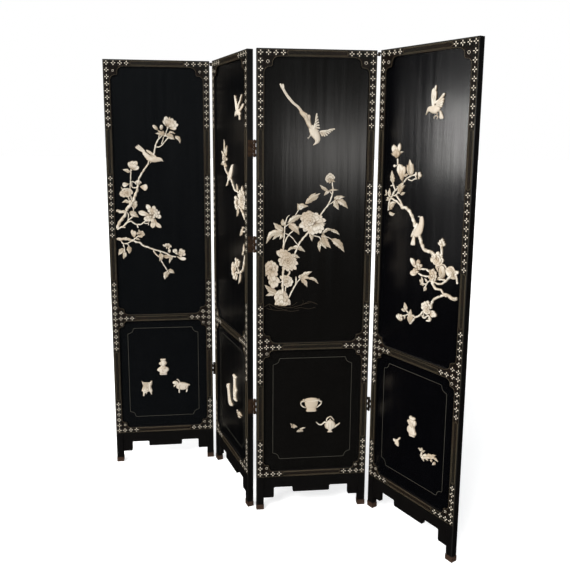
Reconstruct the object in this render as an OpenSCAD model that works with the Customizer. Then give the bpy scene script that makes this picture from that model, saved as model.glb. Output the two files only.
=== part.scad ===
// Folding screen of four lacquered leaves, standing in a zig-zag.
// Each leaf is a frame of two stiles and three rails round a tall upper panel
// and a short lower panel, with a stepped apron between the feet, cusped
// corner pieces, applied carvings and metal foot caps. The middle joint has
// three butt hinges and closes back to back. The first and third joints have
// two each and close front to front.
//
// Leaf frame: X along the leaf from its left edge, Y from the front face
// to the back, Z up from the floor.

/* [Leaf] */
// Width of one leaf
leaf_w = 450; // [400:5:520]
// Height of one leaf above the floor
leaf_h = 1830; // [1600:10:2100]
// Thickness of the frame
leaf_t = 24; // [24:1:32]

/* [Frame] */
// Width of a stile's face
stile_w = 30; // [28:1:40]
// Height of the top rail's face
top_rail_h = 30; // [28:1:45]
// Height of the middle rail's face
mid_rail_h = 33; // [32:1:50]
// Height of the bottom rail's face
low_rail_h = 26; // [26:1:40]
// Underside of the middle rail above the floor
mid_rail_z = 678; // [560:1:800]
// Underside of the bottom rail above the floor
low_rail_z = 142; // [110:1:180]
// Length of a rail's tenon
tenon = 18; // [12:1:20]

/* [Panels] */
// Depth of the panel's face behind the frame's face
recess = 7; // [5:0.5:8]
// Thickness of a panel
panel_t = 10; // [8:1:10]
// Depth of the groove that holds a panel
groove = 6; // [4:1:6]
// Depth of the apron's face behind the frame's face
apron_recess = 3; // [1:0.5:5]
// Thickness of the apron
apron_t = 14; // [12:1:14]

/* [Feet] */
// Height of a metal foot cap
cap_h = 22; // [15:1:35]
// Thickness of the cap's floor
cap_floor = 2; // [1:0.5:3]
// Wall of the cap outside the stile
cap_wall = 0.8; // [0.5:0.1:1.5]

/* [Hinges] */
// Height of the lowest hinge's middle
hinge_low = 438; // [300:1:560]
// Height of the middle hinge's middle
hinge_mid = 1100; // [800:1:1250]
// Height of the top hinge's middle
hinge_top = 1467; // [1300:1:1540]
// Height of one hinge
hinge_h = 62; // [58:1:90]
// Radius of the hinge barrel
barrel_r = 5; // [4.5:0.5:5.5]
// Radius of the hinge pin
pin_r = 2.5; // [2:0.1:3]
// Distance from a leaf's edge out to the pin axis
pin_out = 6; // [6:0.5:10]
// Distance from a leaf's face out to the pin axis
pin_proud = 3; // [3:0.5:4]
// Thickness of a hinge plate
plate_t = 2; // [1.5:0.5:3]

/* [Standing pose] */
// Fold between the first and second leaf, 0 is flat
fold_12 = 73.9; // [0:0.1:150]
// Fold between the second and third leaf, 0 is flat
fold_23 = 73.1; // [0:0.1:150]
// Fold between the third and fourth leaf, 0 is flat
fold_34 = 61.2; // [0:0.1:150]
// Turn of the third leaf from the X axis
turn = 6.1; // [-30:0.1:30]

/* [Hidden] */
$fn = 48;

frame_colour = "#2a1d17";
panel_colour = "#0f0e10";
stone_colour = "#e7dcc4";
brass_colour = "#6b4f2a";

// Plan of the zig-zag: each leaf's left front corner and direction
function dir(a) = [cos(a), sin(a)];
function front(a) = [sin(a), -cos(a)];
a3 = turn;
p3 = [0, 0];
pin34 = p3 + dir(a3) * (leaf_w + pin_out) + front(a3) * pin_proud;
a4 = a3 - fold_34;
p4 = pin34 + dir(a4) * pin_out - front(a4) * pin_proud;
pin23 = p3 - dir(a3) * pin_out - front(a3) * (leaf_t + pin_proud);
a2 = a3 - fold_23;
p2 = pin23 - dir(a2) * (pin_out + leaf_w) + front(a2) * (leaf_t + pin_proud);
pin12 = p2 - dir(a2) * pin_out + front(a2) * pin_proud;
a1 = a2 + fold_12;
p1 = pin12 - dir(a1) * (pin_out + leaf_w) - front(a1) * pin_proud;
corners_of = [[p1, a1], [p2, a2], [p3, a3], [p4, a4]];
plan = [for (q = corners_of, x = [-cap_wall, leaf_w + cap_wall], y = [-cap_wall, leaf_t + cap_wall])
    q[0] + dir(q[1]) * x - front(q[1]) * y];
ox = (min([for (p = plan) p[0]]) + max([for (p = plan) p[0]])) / 2;
oy = (min([for (p = plan) p[1]]) + max([for (p = plan) p[1]])) / 2;

module at_leaf(k) {
    translate([corners_of[k - 1][0][0] - ox, corners_of[k - 1][0][1] - oy, 0])
        rotate([0, 0, corners_of[k - 1][1]]) children();
}

// Levels of the two openings
up_z0 = mid_rail_z + mid_rail_h;
up_z1 = leaf_h - top_rail_h;
lo_z0 = low_rail_z + low_rail_h;
lo_z1 = mid_rail_z;
in_x0 = stile_w;
in_x1 = leaf_w - stile_w;
gap = 0.5;          // room left for a panel to swell in its groove
ten_t = 8;          // thickness of a tenon
ten_y = (leaf_t - ten_t) / 2;
plate_y0 = 0.5;
plate_y1 = leaf_t - 2;
knuckle_gap = 0.2;
screw_r = 1.5;
run_clear = 0.05;
fix_clear = 0.01;
edge = 0.8;         // chamfer along the frame's edges

// Hinges of a joint: [middle, height, knuckles]. The middle joint has three
// alike. The outer two have one low down and a small two-knuckle one at the top.
small_h = 12;
function hinges(hinge) = hinge == 1
    ? [[hinge_low + 6, max(56, hinge_h - 6), 5], [leaf_h - 14, small_h, 2]]
    : [for (z = [hinge_low, hinge_mid, hinge_top]) [z, hinge_h, 5]];
// Screws of one plate: [depth from the face, height from the middle, length]
function screw_spots(h) = h[2] == 2 ? [[12, 0, 9]] : [[8, -24, 16], [15, -8, 16], [8, 8, 16], [15, 24, 16]];

// Heights of the three tenons: [underside, height]
tenons = [
    [up_z1 + groove + 2, top_rail_h - groove - 8],
    [lo_z1 + groove + 2, mid_rail_h - 2 * groove - 4],
    [low_rail_z + groove + 2, low_rail_h - 2 * groove - 4]
];

// Square bar with chamfered edges, as a section
function bar(w, t) = [[edge, 0], [w - edge, 0], [w, edge], [w, t - edge], [w - edge, t], [edge, t], [0, t - edge], [0, edge]];

// A stile with its outer edge at x = 0. hinge: 0 none, 1 pins at the front,
// 2 pins at the back.
module stile(hinge) {
    difference() {
        translate([0, 0, cap_floor]) linear_extrude(leaf_h - cap_floor) polygon(bar(stile_w, leaf_t));
        // chamfers round the top end
        for (y = [0, leaf_t]) translate([-1, y, leaf_h]) rotate([45, 0, 0])
            translate([0, -edge * 0.707, -edge * 0.707]) cube([stile_w + 2, edge * 1.414, edge * 1.414]);
        translate([0, -1, leaf_h]) rotate([0, 45, 0])
            translate([-edge * 0.707, 0, -edge * 0.707]) cube([edge * 1.414, leaf_t + 2, edge * 1.414]);
        for (t = tenons)
            translate([stile_w - tenon, ten_y, t[0]]) cube([tenon + 1, ten_t, t[1]]);
        translate([stile_w - groove, recess, up_z0 - groove]) cube([groove + 1, panel_t, up_z1 - up_z0 + 2 * groove]);
        translate([stile_w - groove, recess, lo_z0 - groove]) cube([groove + 1, panel_t, lo_z1 - lo_z0 + 2 * groove]);
        translate([stile_w - 4, apron_recess, 50]) cube([5, apron_t, low_rail_z - 50]);
        if (hinge > 0) for (h = hinges(hinge))
            flip_y(hinge) translate([0, 0, h[0]]) {
                translate([-1, plate_y0, -h[1] / 2]) cube([plate_t + 1, plate_y1 - plate_y0, h[1]]);
                for (s = screw_spots(h)) translate([0, s[0], s[1]]) rotate([0, 90, 0])
                    cylinder(h = s[2] + 0.5, r = screw_r + 0.02);
            }
    }
}

module flip_y(hinge) {
    if (hinge == 2) translate([0, leaf_t, 0]) mirror([0, 1, 0]) children();
    else children();
}

module right_side() { translate([leaf_w, 0, 0]) mirror([1, 0, 0]) children(); }

module rail(z, h, t, low_groove, high_groove, apron_groove) {
    difference() {
        union() {
            translate([in_x0, 0, z]) rotate([90, 0, 90]) linear_extrude(in_x1 - in_x0) polygon(bar(leaf_t, h));
            translate([in_x0 - tenon, ten_y, t[0]]) cube([in_x1 - in_x0 + 2 * tenon, ten_t, t[1]]);
        }
        if (low_groove) translate([in_x0 - 1, recess, z - 1]) cube([in_x1 - in_x0 + 2, panel_t, groove + 1]);
        if (high_groove) translate([in_x0 - 1, recess, z + h - groove]) cube([in_x1 - in_x0 + 2, panel_t, groove + 1]);
        if (apron_groove) translate([in_x0 - 1, apron_recess + 4, z - 1]) cube([in_x1 - in_x0 + 2, 6, groove + 1]);
    }
}

module panel(z0, z1) {
    translate([in_x0 - groove + gap, recess, z0 - groove + gap])
        cube([in_x1 - in_x0 + 2 * (groove - gap), panel_t, z1 - z0 + 2 * (groove - gap)]);
}

// Apron: the stepped lower edge has its corners rounded
apron_tab = 42;
apron_notch = 77;
function turned(a, p, b, r) = let (u = unit(a - p), v = unit(b - p), c = p + (u + v) * r)
    [for (i = [0 : 5]) c - v * r * cos(18 * i) - u * r * sin(18 * i)];
module apron_board() {
    x1 = in_x0 + apron_tab;
    x2 = x1 + apron_notch;
    x3 = leaf_w - x2;
    x4 = leaf_w - x1;
    foot = 50 + gap;
    translate([0, apron_recess + apron_t, 0]) rotate([90, 0, 0]) linear_extrude(apron_t)
        polygon(concat(
            [[in_x0 - 4 + gap, low_rail_z], [in_x0 - 4 + gap, foot]],
            turned([in_x0, foot], [x1, foot], [x1, 95], 6),
            turned([x1, foot], [x1, 95], [x2, 95], 5),
            turned([x1, 95], [x2, 95], [x2, 72], 5),
            turned([x2, 95], [x2, 72], [x3, 72], 6),
            turned([x2, 72], [x3, 72], [x3, 95], 6),
            turned([x3, 72], [x3, 95], [x4, 95], 5),
            turned([x3, 95], [x4, 95], [x4, foot], 5),
            turned([x4, 95], [x4, foot], [in_x1, foot], 6),
            [[in_x1 + 4 - gap, foot], [in_x1 + 4 - gap, low_rail_z]]));
    translate([in_x0 + 1, apron_recess + 4, low_rail_z - 1]) cube([in_x1 - in_x0 - 2, 6, groove + 1 - gap]);
}

// Cusped corner piece: hollow flares along both edges and a small round nose.
// Corner at the origin, u along the rail, v down the stile.
function arc(cx, cy, r, s0, s1, n) = [for (i = [0 : n]) let (s = s0 + (s1 - s0) * i / n) [cx + r * cos(s), cy + r * sin(s)]];
function cusp(v0, f1, nose, f2) = concat(
    [[0, 0], [0, v0]],
    arc(f1, v0, f1, 180, 270, 6),
    arc(f1 + 2, v0 - f1 - nose, nose, 90, 0, 8),
    arc(f1 + 2 + nose + f2, f2, f2, 180, 270, 6));
module corner(x, z, sx, sz, v0, f1, nose, f2) {
    translate([x, recess, z]) rotate([90, 0, 0]) linear_extrude(recess - 0.6)
        polygon([for (p = cusp(v0, f1, nose, f2)) [p[0] * sx, p[1] * sz]]);
}
module spandrels() {
    for (s = [0, 1]) {
        x = s == 0 ? in_x0 : in_x1;
        sx = s == 0 ? 1 : -1;
        corner(x, up_z1, sx, -1, 54, 18, 10, 22);
        corner(x, up_z0, sx, 1, 44, 15, 8, 20);
        corner(x, lo_z1, sx, -1, 38, 12, 8, 15);
        corner(x, lo_z0, sx, 1, 38, 12, 8, 15);
    }
}

// Metal foot cap: a shoe with eased lower edges
module caps() {
    ease = 2.4;
    for (s = [0, 1]) translate([s == 0 ? 0 : leaf_w - stile_w, 0, 0]) difference() {
        translate([-cap_wall, -cap_wall, 0]) cube([stile_w + 2 * cap_wall, leaf_t + 2 * cap_wall, cap_h]);
        translate([0, 0, cap_floor]) cube([stile_w, leaf_t, cap_h]);
        for (x = [-cap_wall, stile_w + cap_wall]) translate([x, -2, 0]) rotate([0, 45, 0])
            translate([-ease / 2, 0, -ease / 2]) cube([ease, leaf_t + 4, ease]);
        for (y = [-cap_wall, leaf_t + cap_wall]) translate([-2, y, 0]) rotate([45, 0, 0])
            translate([0, -ease / 2, -ease / 2]) cube([stile_w + 4, ease, ease]);
    }
}

// Hinge plates with their knuckles, seen from a stile with its edge at x = 0.
// odd: the odd knuckles, otherwise the even ones.
module plate(hinge, odd) {
    bore = odd ? pin_r + run_clear : pin_r + fix_clear;
    for (h = hinges(hinge)) flip_y(hinge) translate([0, 0, h[0]]) difference() {
        step = h[1] / h[2];
        union() {
            translate([0, plate_y0, -h[1] / 2]) cube([plate_t, plate_y1 - plate_y0, h[1]]);
            for (i = [odd ? 1 : 0 : 2 : h[2] - 1]) translate([0, 0, -h[1] / 2 + i * step + knuckle_gap]) {
                translate([-pin_out, -pin_proud, 0]) cylinder(h = step - 2 * knuckle_gap, r = barrel_r);
                translate([-pin_out + 1, plate_y0, 0]) cube([pin_out, plate_t, step - 2 * knuckle_gap]);
            }
        }
        translate([-pin_out, -pin_proud, -h[1] / 2 - 1]) cylinder(h = h[1] + 2, r = bore);
        for (s = screw_spots(h)) translate([0, s[0], s[1]]) rotate([0, 90, 0]) {
            translate([0, 0, -1]) cylinder(h = plate_t + 2, r = screw_r + 0.1);
            translate([0, 0, -0.01]) cylinder(h = 1.6, r1 = 3.1, r2 = screw_r + 0.1);
        }
    }
}

// Pins with a low button at each end
module pins(hinge) {
    for (h = hinges(hinge)) flip_y(hinge) translate([-pin_out, -pin_proud, h[0]]) {
        k = h[2] == 2 ? 0.4 : 1;
        translate([0, 0, -h[1] / 2]) cylinder(h = h[1], r = pin_r);
        for (s = [0, 1]) mirror([0, 0, s]) translate([0, 0, h[1] / 2 - knuckle_gap])
            rotate_extrude() polygon([[0, 0], [4, 0], [4, 1], [3.2, 1 + 0.8 * k], [1.6, 1 + 1.3 * k], [0, 1 + 1.4 * k]]);
    }
}

module screws(hinge) {
    for (h = hinges(hinge)) flip_y(hinge) translate([0, 0, h[0]])
        for (s = screw_spots(h)) translate([0.1, s[0], s[1]]) difference() {
            rotate([0, 90, 0]) rotate_extrude()
                polygon([[0, 0], [2.9, 0], [screw_r, 1.5], [screw_r, s[2] - 3], [0, s[2]]]);
            translate([-0.5, -0.35, -4]) cube([1.1, 0.7, 8]);
        }
}

// ---- applied carvings: outlines in the leaf's face, x along, z up ----
kx = leaf_w / 450;
kz = leaf_h / 1830;
function fit(p) = [p[0] * kx, p[1] * kz];
module lower_by(d) { translate([0, 0, -d * kz]) children(); }

// One flat piece of given thickness glued to the panel's face
module slab(points, h) {
    translate([0, recess, 0]) rotate([90, 0, 0]) linear_extrude(h) polygon([for (p = points) fit(p)]);
}

// Twig: a strip along hand-set points, thinning from w0 to w1
function unit(v) = v / norm(v);
function side(p, i) = let (n = len(p) - 1, t = unit(p[min(i + 1, n)] - p[max(i - 1, 0)])) [-t[1], t[0]];
function strip(p, w0, w1) = let (n = len(p) - 1) concat(
    [for (i = [0 : n]) p[i] + side(p, i) * (w0 + (w1 - w0) * i / n) / 2],
    [for (i = [n : -1 : 0]) p[i] - side(p, i) * (w0 + (w1 - w0) * i / n) / 2]);
module twig(p, w0, w1) { slab(strip(p, w0, w1), 4); }

// Leaf or petal from its base to its tip
module leaflet(x0, z0, x1, z1, w) {
    b = [x0, z0];
    t = [x1, z1] - b;
    s = [-t[1], t[0]] / norm(t);
    up = [for (i = [0 : 6]) b + t * i / 6 + s * w / 2 * sin(30 * i)];
    down = [for (i = [5 : -1 : 1]) b + t * i / 6 - s * w / 2 * sin(30 * i)];
    slab(concat(up, down), 5);
}

// Open flower: scalloped round with n petals
module bloom(x, z, r, n, turn_by) {
    m = 4 * n;
    slab([for (i = [0 : m - 1]) let (s = 360 * i / m, q = r * (0.92 + 0.08 * cos(n * s))) [x + q * cos(s + turn_by), z + q * sin(s + turn_by)]], 6);
}

module figure(points) { slab(points, 6.4); }

module carvings_leaf_1() {
    twig([[205, 1428], [212, 1465], [225, 1490], [236, 1512]], 8, 5);
    twig([[213, 1460], [235, 1468], [250, 1483], [266, 1502]], 5, 5);
    twig([[238, 1474], [243, 1490], [250, 1504]], 4, 4);
    twig([[254, 1508], [262, 1528], [270, 1548]], 5, 5);
    twig([[190, 1402], [178, 1385], [162, 1365], [148, 1342], [136, 1318], [130, 1292], [121, 1265], [112, 1235], [108, 1208]], 8, 11);
    twig([[112, 1215], [90, 1195], [76, 1170], [54, 1140], [43, 1115], [41, 1098]], 12, 14);
    twig([[38, 1104], [52, 1108], [72, 1112], [86, 1136], [104, 1160]], 8, 9);
    twig([[84, 1136], [100, 1137], [116, 1126], [132, 1123], [150, 1130], [162, 1142]], 6, 5);
    twig([[125, 1125], [126, 1105]], 5, 5);
    twig([[106, 1366], [102, 1330], [100, 1300], [98, 1262]], 6, 5);
    twig([[102, 1300], [112, 1312], [126, 1306], [124, 1288], [108, 1284]], 4, 4);
    figure([[248, 1576], [256, 1590], [265, 1593], [273, 1587], [281, 1593], [291, 1585], [301, 1576], [311, 1560], [303, 1545], [290, 1548], [268, 1542], [262, 1558], [252, 1566]]);
    leaflet(229, 1536, 203, 1557, 16);
    leaflet(238, 1534, 241, 1558, 16);
    figure([[213, 1523], [222, 1529], [228, 1536], [238, 1534], [246, 1529], [252, 1514], [244, 1507], [235, 1513], [224, 1508], [228, 1518]]);
    figure([[256, 1512], [265, 1521], [273, 1522], [281, 1530], [290, 1522], [299, 1521], [288, 1512], [297, 1500], [290, 1492], [280, 1493], [269, 1500]]);
    leaflet(296, 1513, 318, 1476, 17);
    figure([[128, 1463], [138, 1470], [165, 1448], [176, 1448], [200, 1430], [216, 1416], [235, 1414], [241, 1406], [242, 1399], [228, 1400], [210, 1395], [190, 1396], [178, 1402], [171, 1415], [157, 1428], [165, 1434], [150, 1446]]);
    bloom(117, 1383, 22, 5, 20);
    leaflet(101, 1352, 67, 1363, 15);
    leaflet(101, 1298, 64, 1306, 20);
    bloom(130, 1306, 12, 5, 0);
    leaflet(134, 1288, 168, 1290, 26);
    bloom(81, 1264, 27, 7, 10);
    leaflet(90, 1226, 61, 1221, 13);
    bloom(104, 1216, 19, 6, 0);
    leaflet(108, 1206, 117, 1184, 13);
    leaflet(80, 1176, 34, 1185, 16);
    leaflet(90, 1178, 130, 1150, 24);
    bloom(190, 1162, 38, 8, 12);
    leaflet(172, 1160, 131, 1180, 24);
    leaflet(178, 1192, 163, 1210, 14);
    leaflet(186, 1140, 192, 1107, 26);
    leaflet(206, 1148, 229, 1105, 26);
    // lower branch
    twig([[33, 1058], [62, 1054], [88, 1053], [108, 1046], [134, 1037], [146, 1024], [166, 1017], [192, 1009], [226, 997], [256, 987], [296, 974]], 14, 6);
    twig([[52, 1050], [60, 1030], [66, 1012], [68, 990]], 6, 5);
    twig([[58, 1038], [76, 1035], [104, 1048]], 5, 5);
    twig([[192, 1010], [201, 990], [216, 974]], 6, 6);
    twig([[226, 958], [238, 932], [251, 910], [260, 894]], 5, 4);
    bloom(107, 1076, 15, 5, 30);
    bloom(138, 1079, 17, 6, 0);
    leaflet(112, 1060, 134, 1051, 11);
    leaflet(108, 1062, 122, 1070, 8);
    leaflet(60, 1014, 34, 985, 24);
    leaflet(69, 998, 58, 965, 18);
    leaflet(80, 1028, 90, 988, 22);
    leaflet(227, 1001, 216, 953, 24);
    leaflet(231, 972, 274, 978, 16);
    bloom(254, 1022, 16, 6, 0);
    leaflet(263, 1011, 262, 990, 14);
    leaflet(276, 973, 258, 943, 13);
    bloom(308, 984, 26, 6, 20);
    leaflet(298, 984, 276, 1010, 19);
    leaflet(306, 972, 334, 960, 17);
    leaflet(254, 914, 282, 897, 18);
    leaflet(252, 902, 235, 867, 22);
    // vessels and goat
    figure([[209, 494], [234, 494], [231, 483], [238, 477], [238, 470], [232, 459], [236, 453], [247, 444], [247, 436], [240, 428], [238, 417], [205, 417], [204, 428], [195, 436], [195, 444], [206, 453], [211, 459], [204, 470], [204, 477], [212, 483]]);
    figure([[122, 390], [128, 384], [163, 384], [169, 390], [166, 366], [170, 350], [168, 325], [164, 325], [158, 338], [150, 336], [144, 326], [140, 334], [134, 317], [127, 317], [127, 342], [122, 348], [126, 366]]);
    figure([[262, 378], [272, 384], [283, 382], [289, 388], [282, 395], [290, 396], [300, 379], [318, 376], [334, 369], [345, 363], [336, 358], [331, 346], [331, 327], [325, 327], [322, 341], [298, 343], [296, 322], [290, 322], [290, 340], [280, 352], [276, 364], [270, 358], [272, 368]]);
}

module carvings_leaf_2() {
    figure([[284, 1676], [300, 1676], [312, 1652], [326, 1648], [352, 1666], [378, 1674], [366, 1652], [352, 1638], [372, 1636], [398, 1643], [388, 1630], [366, 1624], [354, 1604], [356, 1580], [344, 1580], [330, 1594], [296, 1596], [304, 1610], [312, 1620], [300, 1636]]);
    twig([[150, 1412], [158, 1392], [176, 1372], [202, 1360]], 8, 8);
    twig([[238, 1344], [264, 1322], [288, 1304], [320, 1300]], 8, 8);
    leaflet(152, 1452, 144, 1502, 24);
    leaflet(166, 1430, 184, 1478, 24);
    leaflet(156, 1440, 108, 1456, 16);
    leaflet(150, 1424, 192, 1426, 16);
    leaflet(158, 1414, 102, 1398, 18);
    bloom(152, 1430, 22, 6, 0);
    figure([[240, 1404], [266, 1403], [264, 1372], [250, 1348], [224, 1338], [204, 1334], [176, 1312], [170, 1318], [196, 1346], [210, 1366], [230, 1390]]);
    leaflet(322, 1296, 306, 1328, 16);
    bloom(372, 1270, 38, 8, 0);
    leaflet(352, 1296, 378, 1322, 22);
    bloom(312, 1256, 26, 6, 20);
    leaflet(318, 1240, 306, 1198, 26);
    twig([[330, 1246], [364, 1232], [394, 1212], [413, 1196]], 10, 12);
    leaflet(346, 1126, 384, 1164, 20);
    leaflet(376, 1148, 402, 1148, 10);
    leaflet(370, 1050, 402, 1100, 18);
    twig([[411, 1056], [398, 1024], [380, 992], [352, 976], [300, 964]], 12, 8);
    bloom(314, 1004, 28, 7, 0);
    bloom(264, 972, 28, 7, 15);
    leaflet(276, 962, 268, 926, 24);
    leaflet(306, 962, 290, 930, 18);
    leaflet(352, 974, 318, 922, 22);
    // vessels and a sprig
    figure([[246, 506], [262, 514], [296, 514], [286, 502], [282, 486], [286, 456], [298, 452], [290, 442], [286, 424], [288, 412], [300, 408], [286, 400], [258, 400], [258, 424], [262, 446], [260, 470], [262, 492]]);
    figure([[162, 434], [180, 444], [198, 446], [192, 424], [200, 398], [212, 370], [238, 364], [222, 354], [198, 352], [186, 372], [176, 404], [172, 420], [160, 420]]);
    figure([[300, 360], [330, 370], [366, 374], [350, 360], [330, 348], [314, 342], [312, 356]]);
}

module carvings_leaf_3() {
    // long-tailed bird coming down
    figure([[93, 1712], [96, 1712], [112, 1674], [138, 1646], [166, 1620], [196, 1586], [206, 1592], [226, 1606], [229, 1596], [222, 1572], [228, 1560], [262, 1562], [298, 1550], [282, 1538], [252, 1528], [240, 1514], [230, 1500], [215, 1486], [213, 1492], [216, 1506], [204, 1514], [192, 1508], [190, 1514], [200, 1526], [196, 1548], [176, 1580], [158, 1612], [130, 1636], [104, 1668]]);
    // peony spray
    twig([[284, 1350], [292, 1326], [286, 1290], [270, 1260], [244, 1224]], 5, 7);
    bloom(280, 1363, 20, 5, 0);
    leaflet(288, 1312, 314, 1320, 10);
    leaflet(284, 1322, 242, 1336, 13);
    leaflet(286, 1306, 258, 1296, 11);
    leaflet(288, 1282, 340, 1292, 18);
    leaflet(286, 1276, 318, 1242, 18);
    leaflet(300, 1274, 354, 1246, 18);
    leaflet(246, 1250, 190, 1264, 22);
    leaflet(232, 1262, 246, 1308, 20);
    leaflet(198, 1252, 156, 1264, 14);
    bloom(215, 1196, 44, 9, 8);
    twig([[104, 1082], [108, 1130], [112, 1170], [122, 1222]], 6, 5);
    leaflet(112, 1166, 64, 1198, 18);
    leaflet(108, 1140, 36, 1112, 20);
    leaflet(110, 1146, 58, 1152, 16);
    leaflet(118, 1188, 182, 1222, 18);
    leaflet(118, 1182, 168, 1142, 20);
    twig([[104, 1086], [122, 1132], [146, 1164], [176, 1188]], 6, 6);
    twig([[110, 1020], [132, 1062], [150, 1078], [164, 1106], [198, 1156]], 6, 6);
    leaflet(242, 1158, 322, 1144, 20);
    leaflet(262, 1150, 292, 1092, 20);
    leaflet(288, 1134, 342, 1076, 18);
    leaflet(246, 1150, 248, 1078, 20);
    leaflet(154, 1092, 116, 1080, 16);
    leaflet(156, 1094, 190, 1076, 16);
    bloom(120, 1046, 41, 8, 0);
    bloom(61, 1012, 28, 7, 15);
    leaflet(66, 994, 62, 948, 18);
    bloom(118, 960, 27, 7, 0);
    twig([[100, 1020], [104, 980], [100, 920]], 7, 8);
    twig([[112, 890], [130, 916], [152, 946], [166, 968], [186, 978]], 7, 6);
    leaflet(168, 974, 218, 1002, 20);
    leaflet(182, 974, 244, 948, 18);
    leaflet(172, 966, 202, 936, 18);
    leaflet(152, 948, 154, 984, 14);
    leaflet(90, 930, 34, 950, 18);
    leaflet(86, 922, 48, 906, 16);
    figure([[64, 870], [132, 870], [130, 888], [124, 908], [114, 926], [100, 932], [86, 924], [72, 906], [66, 888]]);
    // bowl, ewer and two sprigs
    figure([[176, 480], [184, 474], [194, 474], [200, 480], [244, 480], [250, 474], [260, 474], [268, 480], [266, 462], [254, 454], [250, 440], [240, 430], [242, 423], [200, 423], [202, 430], [194, 440], [190, 454], [178, 462]]);
    figure([[244, 378], [262, 368], [276, 380], [284, 392], [300, 398], [316, 392], [326, 376], [340, 370], [336, 360], [324, 358], [318, 346], [308, 340], [312, 332], [290, 332], [294, 342], [282, 350], [276, 362], [262, 360], [246, 370]]);
    leaflet(136, 360, 164, 372, 12);
    leaflet(166, 344, 194, 346, 12);
}

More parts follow.
